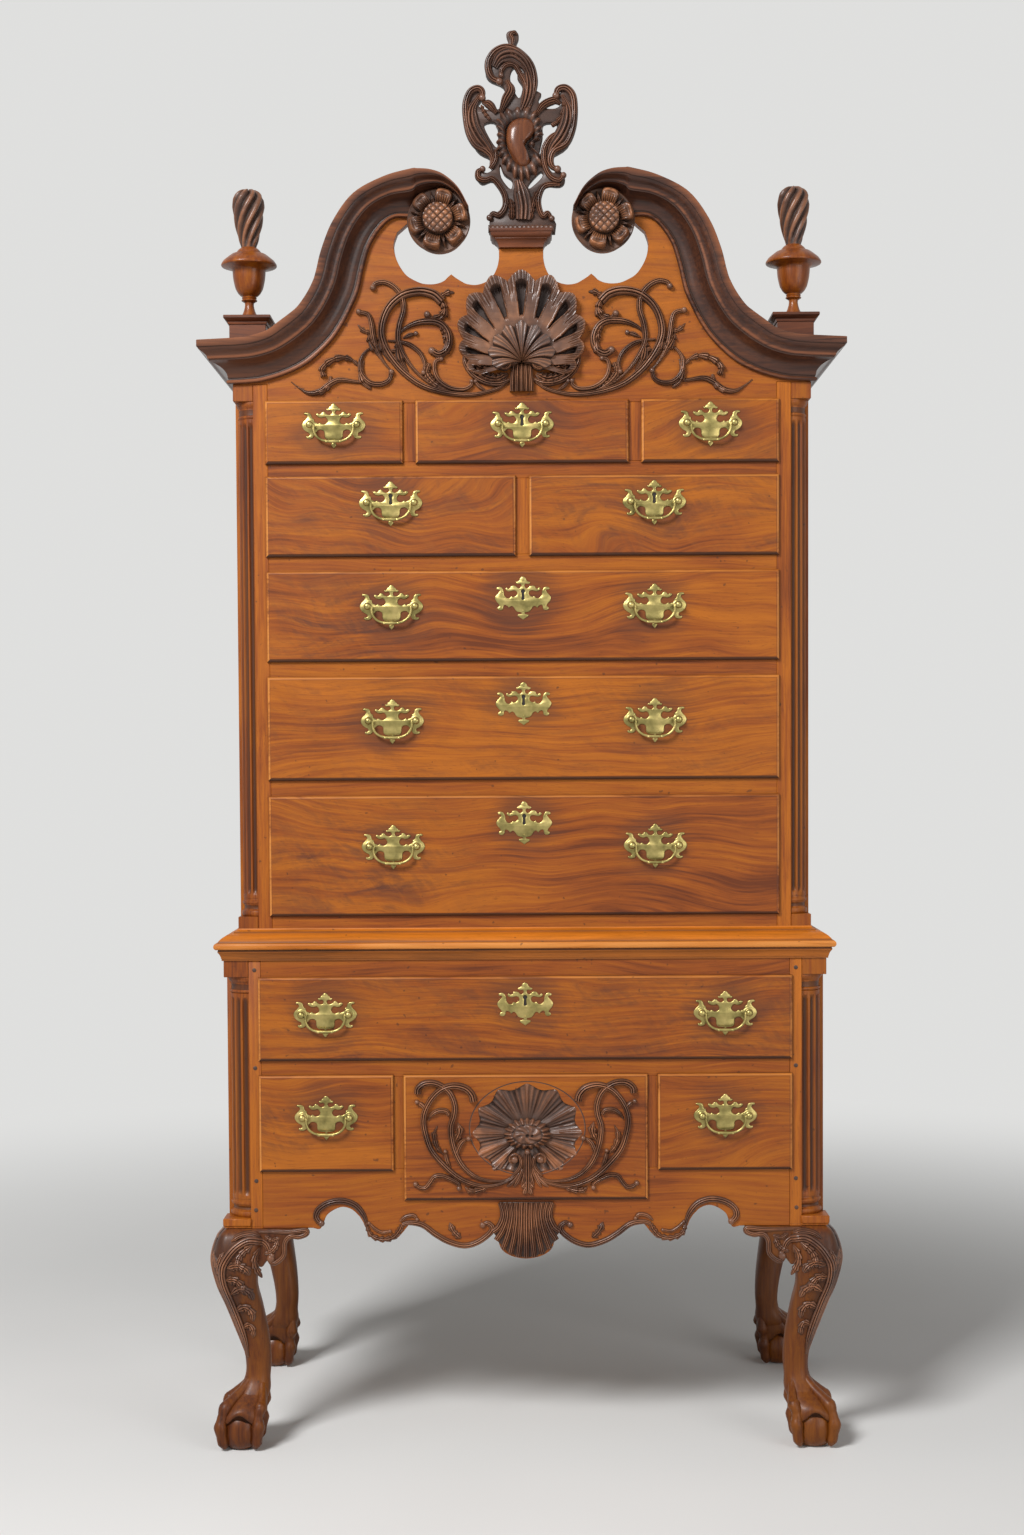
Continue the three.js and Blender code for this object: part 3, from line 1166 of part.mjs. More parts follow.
function legWithPost(withNotch) {
  const post = board([0, postSize], [0, postSize], [apronEdgeHeight - housing, lowerTop]);
  if (!withNotch) {
    return join([cabrioleLeg(), post]);
  }
  const notchSpan = [-cutOverrun, lowerNotchWidth];
  const notch = board(notchSpan, notchSpan, [apronEdgeHeight + columnFootRise, lowerTop + cutOverrun]);
  return join([cabrioleLeg(), post.subtract(notch)]);
}

const frontLeg = legWithPost(true);
const rearLeg = mirrored(legWithPost(false), 'y');
addPiece('front_leg_left', frontLeg, walnut, [-lowerHalf, 0, 0]);
addPiece('front_leg_right', mirrored(frontLeg, 'x'), walnut, [lowerHalf, 0, 0]);
addPiece('rear_leg_left', rearLeg, walnut, [-lowerHalf, caseDepth, 0]);
addPiece('rear_leg_right', mirrored(rearLeg, 'x'), walnut, [lowerHalf, caseDepth, 0]);

// The origin is under the middle of the piece's plan
highboy.updateMatrixWorld(true);
const extent = new THREE.Box3().setFromObject(highboy);
highboy.position.y = -(extent.min.y + extent.max.y) / 2;

export default highboy;
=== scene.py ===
import math
from itertools import product

import bmesh
import bpy
import numpy as np
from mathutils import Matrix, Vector
from mathutils.geometry import tessellate_polygon


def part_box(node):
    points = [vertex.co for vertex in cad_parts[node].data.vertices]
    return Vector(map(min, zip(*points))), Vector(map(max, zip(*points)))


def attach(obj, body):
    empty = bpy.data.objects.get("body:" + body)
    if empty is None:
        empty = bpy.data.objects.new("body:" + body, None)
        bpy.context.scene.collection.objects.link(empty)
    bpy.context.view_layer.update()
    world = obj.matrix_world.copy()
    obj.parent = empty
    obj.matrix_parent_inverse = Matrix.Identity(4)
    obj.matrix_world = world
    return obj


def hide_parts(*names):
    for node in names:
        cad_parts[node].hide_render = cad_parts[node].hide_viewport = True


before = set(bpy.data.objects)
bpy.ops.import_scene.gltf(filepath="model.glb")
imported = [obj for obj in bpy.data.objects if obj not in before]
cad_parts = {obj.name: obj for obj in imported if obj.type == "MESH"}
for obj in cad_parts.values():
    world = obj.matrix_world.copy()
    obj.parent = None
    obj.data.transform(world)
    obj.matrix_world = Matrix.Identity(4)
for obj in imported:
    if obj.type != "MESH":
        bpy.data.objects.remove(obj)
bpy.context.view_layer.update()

MM = 0.001
CASE_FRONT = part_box("lower_column_left")[0][1]

# Sizes in millimetres: x right, y back from the lower case's front face, z up
LOWER_HALF, UPPER_HALF, CORNICE_HALF, DEPTH = 511, 488, 541, 545
LOWER_OPEN, UPPER_OPEN, UPPER_FRONT = 449, 430, 23
RAIL, BACK_INSIDE = 56, 533
APRON_EDGE, LOWER_TOP, UPPER_BOTTOM = 381, 850, 850.3
CORNICE_BOTTOM, CORNICE_TOP, SCROLL = 1811, 1877, 346
SEAT = 2036.2


class Build:
    """Gathers points and faces in millimetres, with one shading_grime_and_wear value for each point: painted
    shade and painted highlights as well as grime and wear.
    """

    def __init__(self):
        self.points, self.faces, self.slots, self.shading_grime_and_wear = [], [], [], []
        self.count = 0

    def add(self, points, faces, slot=0, shading_grime_and_wear=None):
        points = np.asarray(points, float).reshape(-1, 3)
        self.points.append(points)
        self.faces.extend(tuple(i + self.count for i in face) for face in faces)
        self.slots.extend([slot] * len(faces))
        self.shading_grime_and_wear.append(np.zeros(len(points)) if shading_grime_and_wear is None else np.asarray(shading_grime_and_wear, float).reshape(-1))
        self.count += len(points)

    def merge(self, other):
        self.add(np.concatenate(other.points), other.faces, 0, np.concatenate(other.shading_grime_and_wear))
        self.slots[-len(other.faces):] = other.slots

    def remapped(self, move, flip=True):
        """A copy whose points pass through a move. A move that mirrors needs its faces flipped."""
        other = Build()
        faces = [face[::-1] for face in self.faces] if flip else self.faces
        other.add(move(np.concatenate(self.points)), faces, 0, np.concatenate(self.shading_grime_and_wear))
        other.slots = list(self.slots)
        return other

    def mirrored(self):
        """The same pieces seen in a mirror across x = 0."""
        return self.remapped(lambda p: p * (-1, 1, 1))

    def piece(self, name, body, materials, replaces=None, slot=None, smooth=38):
        """Makes the object; edges sharper than smooth degrees stay crisp."""
        points = np.concatenate(self.points) * MM
        points[:, 1] += CASE_FRONT
        mesh = bpy.data.meshes.new(name)
        mesh.from_pydata(points.tolist(), [], self.faces)
        mesh.validate()
        for shared in materials:
            mesh.materials.append(shared)
        if len(mesh.polygons) == len(self.slots):
            mesh.polygons.foreach_set("material_index", self.slots)
        attribute = mesh.attributes.new("shading_grime_and_wear", "FLOAT", "POINT")
        attribute.data.foreach_set("value", np.concatenate(self.shading_grime_and_wear).astype(np.float32))
        mesh.shade_smooth()
        mesh.set_sharp_from_angle(angle=math.radians(smooth))
        obj = bpy.data.objects.new(name, mesh)
        bpy.context.scene.collection.objects.link(obj)
        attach(obj, body)
        if replaces:
            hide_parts(replaces)


def catmull(points, steps, closed=False):
    """A smooth curve through points; each point may carry more channels than its place."""
    p = np.asarray(points, float)
    n = len(p)
    out = []
    for i in range(n if closed else n - 1):
        if closed:
            a, b, c, d = p[i - 1], p[i], p[(i + 1) % n], p[(i + 2) % n]
        else:
            b, c = p[i], p[i + 1]
            a = p[i - 1] if i > 0 else 2 * b - c
            d = p[i + 2] if i + 2 < n else 2 * c - b
        for t in (k / steps for k in range(steps)):
            bend = (2 * a - 5 * b + 4 * c - d) * t * t + (3 * b - a - 3 * c + d) * t**3
            out.append(0.5 * (2 * b + (c - a) * t + bend))
    if not closed:
        out.append(p[-1])
    return np.array(out)


def corners(points, steps, sharp):
    """Like catmull on an open run, but the curve breaks at the points listed in sharp."""
    cuts = sorted({0, len(points) - 1, *sharp})
    runs = []
    for a, b in zip(cuts[:-1], cuts[1:]):
        run = catmull(points[a : b + 1], steps) if b - a > 1 else np.asarray(points[a : b + 1], float)
        runs.append(run[1:] if runs else run)
    return np.concatenate(runs)


def smooth(v, low, high):
    """Rises softly from 0 at low to 1 at high."""
    t = np.clip((np.asarray(v, float) - low) / (high - low), 0, 1)
    return t * t * (3 - 2 * t)


def bell(v, middle, width):
    """1 at the middle, falling softly to 0 about two widths away."""
    return np.exp(-(((v - middle) / width) ** 2))


def quads(rows, columns, wrap=False):
    """Faces between rows of points."""
    faces = []
    for r in range(rows - 1):
        for c in range(columns if wrap else columns - 1):
            n = (c + 1) % columns
            faces.append((r * columns + c, r * columns + n, (r + 1) * columns + n, (r + 1) * columns + c))
    return faces


def facing_front(points, faces, probe):
    """The faces, all turned over where the one at probe looks backwards."""
    p = points[list(faces[probe])]
    turned_away = np.cross(p[1] - p[0], p[2] - p[0])[1] > 0
    return [face[::-1] for face in faces] if turned_away else faces


def board(b, x, y, z, slot=0, edge=0.7):
    """A board between limits, with its edges softened."""
    low = np.array([min(x), min(y), min(z)], float)
    high = np.array([max(x), max(y), max(z)], float)
    edge = min(edge, 0.3 * (high - low).min())
    index, points, faces = {}, [], []
    for corner in product((0, 1), repeat=3):
        for a in range(3):
            p = np.where(np.array(corner) > 0, high, low)
            for k in range(3):
                if k != a:
                    p[k] += -edge if corner[k] else edge
            index[corner + (a,)] = len(points)
            points.append(p)

    def key(a, s, u, su, v, sv):
        place = [0, 0, 0]
        place[a], place[u], place[v] = s, su, sv
        return tuple(place)

    for a in range(3):
        u, v = (a + 1) % 3, (a + 2) % 3
        for s in (0, 1):
            ring = ((0, 0), (1, 0), (1, 1), (0, 1))
            faces.append([index[key(a, s, u, su, v, sv) + (a,)] for su, sv in ring])
        for su, sv in product((0, 1), repeat=2):
            one, two = key(a, 0, u, su, v, sv), key(a, 1, u, su, v, sv)
            faces.append([index[one + (u,)], index[two + (u,)], index[two + (v,)], index[one + (v,)]])
    for corner in product((0, 1), repeat=3):
        faces.append([index[corner + (a,)] for a in range(3)])
    centre = (low + high) / 2
    points = np.array(points)
    out = []
    for face in faces:
        p = points[face]
        outwards = np.cross(p[1] - p[0], p[2] - p[0]) @ (p.mean(0) - centre) > 0
        out.append(tuple(face if outwards else face[::-1]))
    b.add(points, out, slot)


def area(outline):
    x, z = np.asarray(outline, float)[:, 0], np.asarray(outline, float)[:, 1]
    return 0.5 * np.sum(x * np.roll(z, -1) - np.roll(x, -1) * z)


def unit(v):
    """Vectors of length 1, along the last axis."""
    return v / np.maximum(np.linalg.norm(v, axis=-1, keepdims=True), 1e-9)


def inset(outline, distance):
    """The outline, drawn in by a small distance. It runs anticlockwise."""
    p = np.asarray(outline, float)
    before, after = p - np.roll(p, 1, 0), np.roll(p, -1, 0) - p
    na = unit(np.stack([-before[:, 1], before[:, 0]], 1))
    nb = unit(np.stack([-after[:, 1], after[:, 0]], 1))
    n = unit(na + nb)
    scale = 1 / np.maximum((n * na).sum(1), 0.55)
    return p + n * (distance * scale)[:, None]


def plate(b, outline, steps, holes=(), slot=0, plane="xz", shading_grime_and_wear=0.0):
    """An outline cut from a board. steps are (inset, depth) pairs from the front edge to the back.
    In plane xz the depth is y, in plane xy it is z and in plane yz it is x."""
    loops = [np.asarray(loop, float) for loop in (outline, *holes)]
    loops = [loop if (area(loop) < 0) == (k > 0) else loop[::-1] for k, loop in enumerate(loops)]
    sizes = [len(loop) for loop in loops]
    starts = [sum(sizes[:k]) for k in range(len(sizes))]
    total = sum(sizes)
    pts = []
    for distance, depth in steps:
        for loop in loops:
            for u, v in inset(loop, distance):
                pts.append({"xz": (u, depth, v), "xy": (u, v, depth), "yz": (depth, u, v)}[plane])
    faces = []
    for start, size in zip(starts, sizes):
        for r in range(len(steps) - 1):
            a, c = r * total + start, (r + 1) * total + start
            faces += [(a + i, a + (i + 1) % size, c + (i + 1) % size, c + i) for i in range(size)]
    a1, a2 = {"xz": (0, 2), "xy": (0, 1), "yz": (1, 2)}[plane]
    for base, flip in ((0, True), ((len(steps) - 1) * total, False)):
        flat = []
        for start, size in zip(starts, sizes):
            ring = pts[base + start : base + start + size]
            flat.append([Vector((p[a1], p[a2], 0)) for p in ring])
        for triangle in tessellate_polygon(flat):
            face = tuple(base + k for k in triangle)
            faces.append(face[::-1] if flip else face)
    b.add(pts, faces, slot, [shading_grime_and_wear] * len(pts))
    fix_normals(b, len(pts), len(faces))


def fix_normals(b, points, faces):
    """Makes the last faces of a build agree with each other and look outwards."""
    base = b.count - points
    bm = bmesh.new()
    verts = [bm.verts.new(p) for p in b.points[-1]]
    for face in b.faces[-faces:]:
        try:
            bm.faces.new([verts[i - base] for i in face])
        except ValueError:
            pass
    bm.verts.index_update()
    bmesh.ops.recalc_face_normals(bm, faces=bm.faces[:])
    fixed = [tuple(v.index + base for v in f.verts) for f in bm.faces]
    b.faces[-faces:] = fixed
    b.slots[-faces:] = [b.slots[-1]] * len(fixed)
    bm.free()


def turned(b, profile, centre, segments=48, slot=0, axis="z", shading_grime_and_wear=0.0):
    """A profile of (radius, height) turned about an axis through centre."""
    p = np.asarray(profile, float)
    angle = np.linspace(0, 2 * math.pi, segments, endpoint=False)
    c, s = np.cos(angle), np.sin(angle)
    rings = []
    for r, h in p:
        flat = np.full(segments, h)
        rings.append(np.stack([r * c, r * s, flat] if axis == "z" else [r * c, flat, r * s], 1))
    pts = np.concatenate(rings) + np.asarray(centre, float)
    faces = quads(len(p), segments, wrap=True)
    if (p[0][1] < p[-1][1]) == (axis == "y"):
        faces = [face[::-1] for face in faces]
    b.add(pts, faces, slot, [shading_grime_and_wear] * len(pts))


def sweep(b, rings, slot=0, shading_grime_and_wear=None):
    """A skin through rings of equal length, closed at both ends."""
    rings = np.asarray(rings, float)
    rows, columns = rings.shape[:2]
    faces = quads(rows, columns, wrap=True)
    faces.append(tuple(range(columns)))
    faces.append(tuple((rows - 1) * columns + i for i in reversed(range(columns))))
    b.add(rings.reshape(-1, 3), faces, slot, shading_grime_and_wear)
    fix_normals(b, rows * columns, len(faces))


class Value:
    """A shader value. Sums, differences and products of values make math nodes."""

    def __init__(self, nodes, socket):
        self.nodes, self.socket = nodes, socket

    def __add__(self, other):
        return self.nodes.math("ADD", self, other)

    def __sub__(self, other):
        return self.nodes.math("SUBTRACT", self, other)

    def __rsub__(self, other):
        return self.nodes.math("SUBTRACT", other, self)

    def __mul__(self, other):
        return self.nodes.math("MULTIPLY", self, other)


class Nodes:
    """A material's node tree, with short calls that make and join its nodes."""

    def __init__(self, tree):
        self.tree = tree

    def node(self, kind, inputs, output=0, **settings):
        made = self.tree.nodes.new("ShaderNode" + kind)
        for key, setting in settings.items():
            setattr(made, key, setting)
        for key, value in inputs.items():
            self.set(made, key, value)
        return Value(self, made.outputs[output])

    def set(self, node, key, value):
        if isinstance(value, Value):
            self.tree.links.new(value.socket, node.inputs[key])
        else:
            node.inputs[key].default_value = value

    def math(self, op, a, b=0.0, clamp=False):
        return self.node("Math", {0: a, 1: b}, operation=op, use_clamp=clamp)

    def distance(self, a, b):
        return self.node("VectorMath", {0: a, 1: b}, "Value", operation="DISTANCE")

    def noise(self, vector, scale, detail=3.0, rough=0.55, distortion=0.0):
        inputs = {"Vector": vector, "Scale": scale, "Detail": detail, "Roughness": rough,
                  "Distortion": distortion}
        return self.node("TexNoise", inputs)

    def grain(self, axes, scales, detail=3.0, rough=0.55, distortion=0.0):
        """Noise drawn out along the axes by their scales."""
        stretched = self.combine(*(axis * scale for axis, scale in zip(axes, scales)))
        return self.noise(stretched, 1.0, detail, rough, distortion)

    def ramp(self, value, *stops):
        made = self.tree.nodes.new("ShaderNodeValToRGB")
        while len(made.color_ramp.elements) < len(stops):
            made.color_ramp.elements.new(0.5)
        for element, (place, colour) in zip(made.color_ramp.elements, stops):
            element.position = place
            element.color = (*colour, 1)
        self.set(made, 0, value)
        return Value(self, made.outputs[0])

    def step(self, value, low, high):
        return self.node("MapRange", {0: value, 1: low, 2: high}, interpolation_type="SMOOTHSTEP")

    def mix(self, factor, a, b):
        sides = [side if isinstance(side, Value) else (*side, 1) for side in (a, b)]
        return self.node("Mix", {0: factor, 6: sides[0], 7: sides[1]}, 2, data_type="RGBA", blend_type="MIX")

    def coords(self):
        return self.node("TexCoord", {}, "Object")

    def place(self, offset):
        """Object coordinates moved by an offset, so that no two boards show the same grain."""
        return self.node("VectorMath", {0: self.coords(), 1: offset}, operation="ADD")

    def separate(self, vector):
        made = self.tree.nodes.new("ShaderNodeSeparateXYZ")
        self.set(made, 0, vector)
        return [Value(self, socket) for socket in made.outputs]

    def along(self, vector, grain):
        """The coordinate along the grain, then the two across it."""
        x, y, z = self.separate(vector)
        return {"x": (x, y, z), "y": (y, x, z), "z": (z, x, y)}[grain]

    def combine(self, x, y, z):
        return self.node("CombineXYZ", {0: x, 1: y, 2: z})

    def shading_grime_and_wear(self):
        return self.node("Attribute", {}, "Fac", attribute_name="shading_grime_and_wear")

    def bump(self, height, distance, strength, normal=None):
        inputs = {"Strength": strength, "Distance": distance, "Height": height}
        if normal:
            inputs["Normal"] = normal
        return self.node("Bump", inputs)


def material(name):
    """A new material: itself, its nodes and a call that sets its shader's sockets."""
    made = bpy.data.materials.new(name)
    made.use_nodes = True
    tree = made.node_tree
    tree.nodes.clear()
    out = tree.nodes.new("ShaderNodeOutputMaterial")
    shader = tree.nodes.new("ShaderNodeBsdfPrincipled")
    tree.links.new(shader.outputs[0], out.inputs[0])
    nodes = Nodes(tree)

    def finish(**sockets):
        for key, value in sockets.items():
            nodes.set(shader, SOCKETS[key], value)

    return made, nodes, finish


SOCKETS = dict(colour="Base Color", rough="Roughness", specular="Specular IOR Level", coat="Coat Weight",
               coat_rough="Coat Roughness", normal="Normal", metallic="Metallic")


def scaled(colour, k):
    return tuple(min(1.0, c * k) for c in colour)


GOLD = (0.355, 0.100, 0.007)
ORANGE = (0.228, 0.054, 0.006)
BROWN = (0.112, 0.025, 0.005)
UMBER = (0.050, 0.013, 0.004)


def wood(name, grain="x", seed=0, light=GOLD, mid=ORANGE, dark=BROWN, pore=UMBER, figure=0.4, crotch=0.0,
         crotch_at=None, lines=0.5, rough=0.46, coat=0.05, wear=0.5, wear_at=(), wear_and_highlight=(0.56, 0.22, 0.05)):
    """Walnut. The grain runs along one axis; figure bends it and crotch adds dark feathering. crotch_at is
    the x, z and reach of a single feathered place, and wear_at lists places where old finish has gathered."""
    m, n, finish = material(name)
    u, v, w = n.along(n.place((3.1 * seed + 0.7, 1.9 * seed, 2.3 * seed)), grain)
    bend = n.grain((u, v, w), (2.2, 3.0, 3.4), 2.0)
    bent = w + (bend - 0.5) * (0.17 * figure)
    contour = n.math("SINE", n.grain((u, v, bent), (1.5, 9.0, 9.0), 3.0, 0.5) * 62.0)
    fine = n.grain((u, v, bent), (6.0, 200.0, 200.0), 4.0, 0.65)
    streak = n.grain((u, v, bent), (2.2, 52.0, 52.0), 3.0, 0.6)
    pores = n.grain((u, v, bent), (55.0, 900.0, 900.0), 2.0, 0.6)
    cloud = n.grain((u, v, w), (3.0, 7.0, 7.0), 3.0, 0.6)
    shade = n.grain((u, v, w), (1.3, 2.0, 3.2), 1.0)
    tone = cloud * 0.58 + fine * 0.72 + streak * 0.50 + contour * (0.045 * lines)
    tone = tone + (shade - 0.5) * 0.42 - 0.395
    colour = n.ramp(tone, (0.26, dark), (0.43, mid), (0.63, light), (0.86, scaled(light, 1.18)))
    colour = n.mix(n.step(contour, 0.45, 1.0) * (0.18 * lines), colour, scaled(dark, 0.9))
    if crotch:
        near = 1.0
        if crotch_at:
            x, _, z = n.separate(n.coords())
            cx, cz, reach = (k * MM for k in crotch_at)
            near = 1.0 - n.step(n.distance(n.combine(x, 0.0, z * 1.6), (cx, 0.0, cz * 1.6)), 0.03, reach)
        feather = n.grain((u, v, bent), (8.0, 13.0, 34.0), 5.0, 0.70, 0.8)
        ripple = n.grain((u + bent * 0.8, v, bent - u * 0.5), (75.0, 8.0, 16.0), 3.0, 0.6, 0.6)
        darkness = n.math("MULTIPLY", n.step(feather + ripple * 0.35, 0.58, 0.96) * crotch, near, clamp=True)
        colour = n.mix(darkness, colour, (0.075, 0.024, 0.013))
        shine = n.step(ripple - feather * 0.3, 0.34, 0.60) * (0.25 * crotch)
        colour = n.mix(n.math("MULTIPLY", shine, near, clamp=True), colour, scaled(light, 1.1))
    colour = n.mix(n.step(pores, 0.60, 0.72) * 0.42, colour, pore)
    # the shading_grime_and_wear value darkens where it is above zero: painted shade under the drawer lips, in
    # their gap against the case and in the waist moulding's undercut and cove, and old finish gathered in
    # hollows. Old finish also gathers round the pulls.
    shading_grime_and_wear = n.shading_grime_and_wear()
    colour = n.mix(n.math("MULTIPLY", shading_grime_and_wear, 0.88, clamp=True), colour, (0.030, 0.013, 0.008))
    # below zero it lightens towards the wear_and_highlight colour: painted highlights on the drawer lips' top
    # and sides, and wood worn pale on moulding edges
    lightened = n.math("MULTIPLY", shading_grime_and_wear, -1.0, clamp=True)
    lightened_patches = n.math("MULTIPLY", lightened, n.step(cloud + fine * 0.5, 0.55, 0.85), clamp=True)
    colour = n.mix(lightened_patches * 0.85, colour, wear_and_highlight)
    halo = None
    px, _, pz = n.separate(n.coords())
    for cx, cz in wear_at:
        away = n.distance(n.combine(px, 0.0, pz * 1.15), (cx * MM, 0.0, cz * MM * 1.15))
        near = 1.0 - n.step(away + (cloud + fine * 0.7 - 0.85) * 0.11, 0.028, 0.084)
        halo = n.math("MAXIMUM", halo, near) if halo else near
    if halo:
        colour = n.mix(halo * wear, colour, (0.080, 0.026, 0.012))
    specks = n.noise(n.node("VectorMath", {0: n.coords(), 3: 1.0}, operation="SCALE"), 95.0, 1.0)
    colour = n.mix(n.step(specks, 0.735, 0.775) * 0.55, colour, (0.035, 0.014, 0.008))
    smudge = n.noise(n.coords(), 14.0, 3.0)
    bump = n.bump(fine, 0.0002, 0.5, n.bump(pores, 0.00012, 0.5))
    bump = n.bump(n.noise(n.coords(), 22.0, 2.0), 0.0008, 0.35, bump)
    finish(colour=colour, rough=smudge * 0.20 + (rough - 0.10), specular=0.25, coat=coat, coat_rough=0.16,
           normal=bump)
    return m


def carved(name, tone, light, seed):
    """Carved dark walnut: deep brown, with painted highlights on what stands proud and painted shade, nearly
    black, in the cuts.
    """
    m, n, finish = material(name)
    place = n.place((2.7 * seed, seed, 1.3 * seed))
    streak = n.grain(n.separate(place), (14.0, 150.0, 150.0), 4.0, 0.62)
    cloud = n.noise(place, 17.0, 3.0, 0.6)
    tool = n.noise(place, 210.0, 2.0, 0.5)
    colour = n.mix(n.step(cloud * 0.8 + streak * 0.35, 0.44, 0.74), tone, light)
    colour = n.mix(n.step(streak, 0.52, 0.72) * 0.5, colour, scaled(tone, 0.55))
    shading_grime_and_wear = n.shading_grime_and_wear()
    # above zero: painted shade, nearly black in the cuts; below zero, on what stands proud: painted
    # highlights in a paler brown
    hollow = n.math("MAXIMUM", shading_grime_and_wear, 0.0)
    deep = n.math("MULTIPLY", n.math("POWER", hollow, 0.8), 0.86, clamp=True)
    colour = n.mix(deep, colour, (0.016, 0.008, 0.006))
    proud = n.math("MULTIPLY", shading_grime_and_wear, -1.0, clamp=True)
    colour = n.mix(proud * n.step(cloud, 0.36, 0.62), colour, scaled(light, 1.9))
    finish(colour=colour, rough=cloud * 0.24 + 0.22 + hollow * 0.35, specular=0.45, coat=0.06, coat_rough=0.2,
           normal=n.bump(streak, 0.0005, 0.5, n.bump(tool, 0.0005, 0.45)))
    return m


def secondary(name, grain, seed):
    """Pale secondary wood of drawer sides, bottoms and backs."""
    m, n, finish = material(name)
    place = n.place((1.3 * seed, 2.1 * seed, seed))
    axes = n.along(place, grain)
    contour = n.math("SINE", n.grain(axes, (1.8, 14.0, 14.0)) * 55.0)
    fine = n.grain(axes, (10.0, 230.0, 230.0), 4.0, 0.6)
    stain = n.noise(place, 5.0, 3.0)
    colour = n.ramp(fine * 0.6 + contour * 0.10, (0.1, (0.20, 0.105, 0.045)), (0.4, (0.36, 0.21, 0.095)),
                    (0.7, (0.47, 0.30, 0.15)))
    colour = n.mix(n.step(stain, 0.5, 0.75) * 0.4, colour, (0.17, 0.095, 0.045))
    finish(colour=colour, rough=stain * 0.15 + 0.55, normal=n.bump(fine, 0.0003, 0.5))
    return m


def brass_material(name, seed):
    """Old brass: olive yellow, worn bright on the faces, brown in the hollows."""
    m, n, finish = material(name)
    place = n.place((seed * 1.7, 0, seed))
    cloud = n.noise(place, 45.0, 4.0, 0.6)
    marks = n.noise(place, 320.0, 2.0, 0.5)
    colour = n.ramp(cloud, (0.3, (0.20, 0.165, 0.055)), (0.5, (0.35, 0.285, 0.100)),
                    (0.7, (0.49, 0.385, 0.145)))
    colour = n.mix(n.math("MULTIPLY", n.shading_grime_and_wear(), 0.85, clamp=True), colour, (0.085, 0.055, 0.022))
    finish(colour=colour, metallic=0.9, rough=cloud * 0.22 + 0.24,
           normal=n.bump(marks, 0.0002, 0.35, n.bump(cloud, 0.0006, 0.3)))
    return m


def painted_shade_material(name):
    """Painted shade: a near-black sheet set in keyholes and at the bottom of the shell eye's pits, where
    there is only shade.
    """
    m, n, finish = material(name)
    spots = n.noise(n.coords(), 300.0, 2.0)
    finish(colour=n.ramp(spots, (0.3, (0.006, 0.004, 0.003)), (0.7, (0.02, 0.012, 0.008))), rough=0.8)
    return m


# Drawers: limits across, bottom, height, case, height of the pulls and kind of front
KEY_RISE, KEY_DROP = 6.5, 41
DRAWERS = {
    "top_drawer_left": ((-434, -201), 1676, 107, "upper", 65, "plain"),
    "top_drawer_centre": ((-180, 180), 1676, 107, "upper", 65, "key"),
    "top_drawer_right": ((201, 434), 1676, 107, "upper", 65, "plain"),
    "half_drawer_left": ((-434, -11), 1520, 136, "upper", 90, "key"),
    "half_drawer_right": ((11, 434), 1520, 136, "upper", 90, "key"),
    "long_drawer_upper": ((-434, 434), 1343, 153, "upper", 93, "pair"),
    "long_drawer_middle": ((-434, 434), 1142, 176, "upper", 101, "pair"),
    "long_drawer_lower": ((-434, 434), 911, 205, "upper", 119, "pair"),
    "waist_drawer": ((-453, 453), 667, 143, "lower", 80, "pair"),
    "small_drawer_left": ((-453, -224), 478, 165, "lower", 94, "plain"),
    "small_drawer_right": ((224, 453), 478, 165, "lower", 94, "plain"),
    "shell_drawer": ((-207.5, 207.5), 428, 215, "lower", 107.5, "shell"),
}
LIP, LIP_INSET = 8, 5.6
LIP_PROFILE = [(0, -0.3), (0, -3.0), (0.25, -4.3), (0.95, -5.5), (2.0, -6.4), (3.3, -6.95), (4.3, -7.1),
               (4.75, -7.15), (4.9, -7.8), (5.15, -8.0), (LIP_INSET, -8.0)]
LOCK_HALF = 29
FRONT_THICK, SIDE_THICK, DRAWER_BACK = 14, 11, 521


def keyhole(x, z, k=1.0):
    """A round eye over a slot with a rounded foot."""
    eye = z + 5.6 * k
    points = []
    for a in np.radians(np.linspace(-56, 236, 15)):
        points.append((x + 3.4 * k * math.cos(a), eye + 3.4 * k * math.sin(a)))
    left = [(-1.9, 2), (-2.7, 7.4), (-1.6, 8.6)]
    return points + [(x + u * k, z - v * k) for u, v in left + [(0, 8.9)] + [(-u, v) for u, v in left[::-1]]]


def symmetric(half):
    """A right half, then the same turned over to the left."""
    return list(half) + [(-u, v) for u, v in half if u > 1e-6][::-1]


def ellipse(cx, cz, rx, rz, count=48):
    a = np.linspace(0, 2 * math.pi, count, endpoint=False)
    return np.stack([cx + rx * np.cos(a), cz + rz * np.sin(a)], 1)


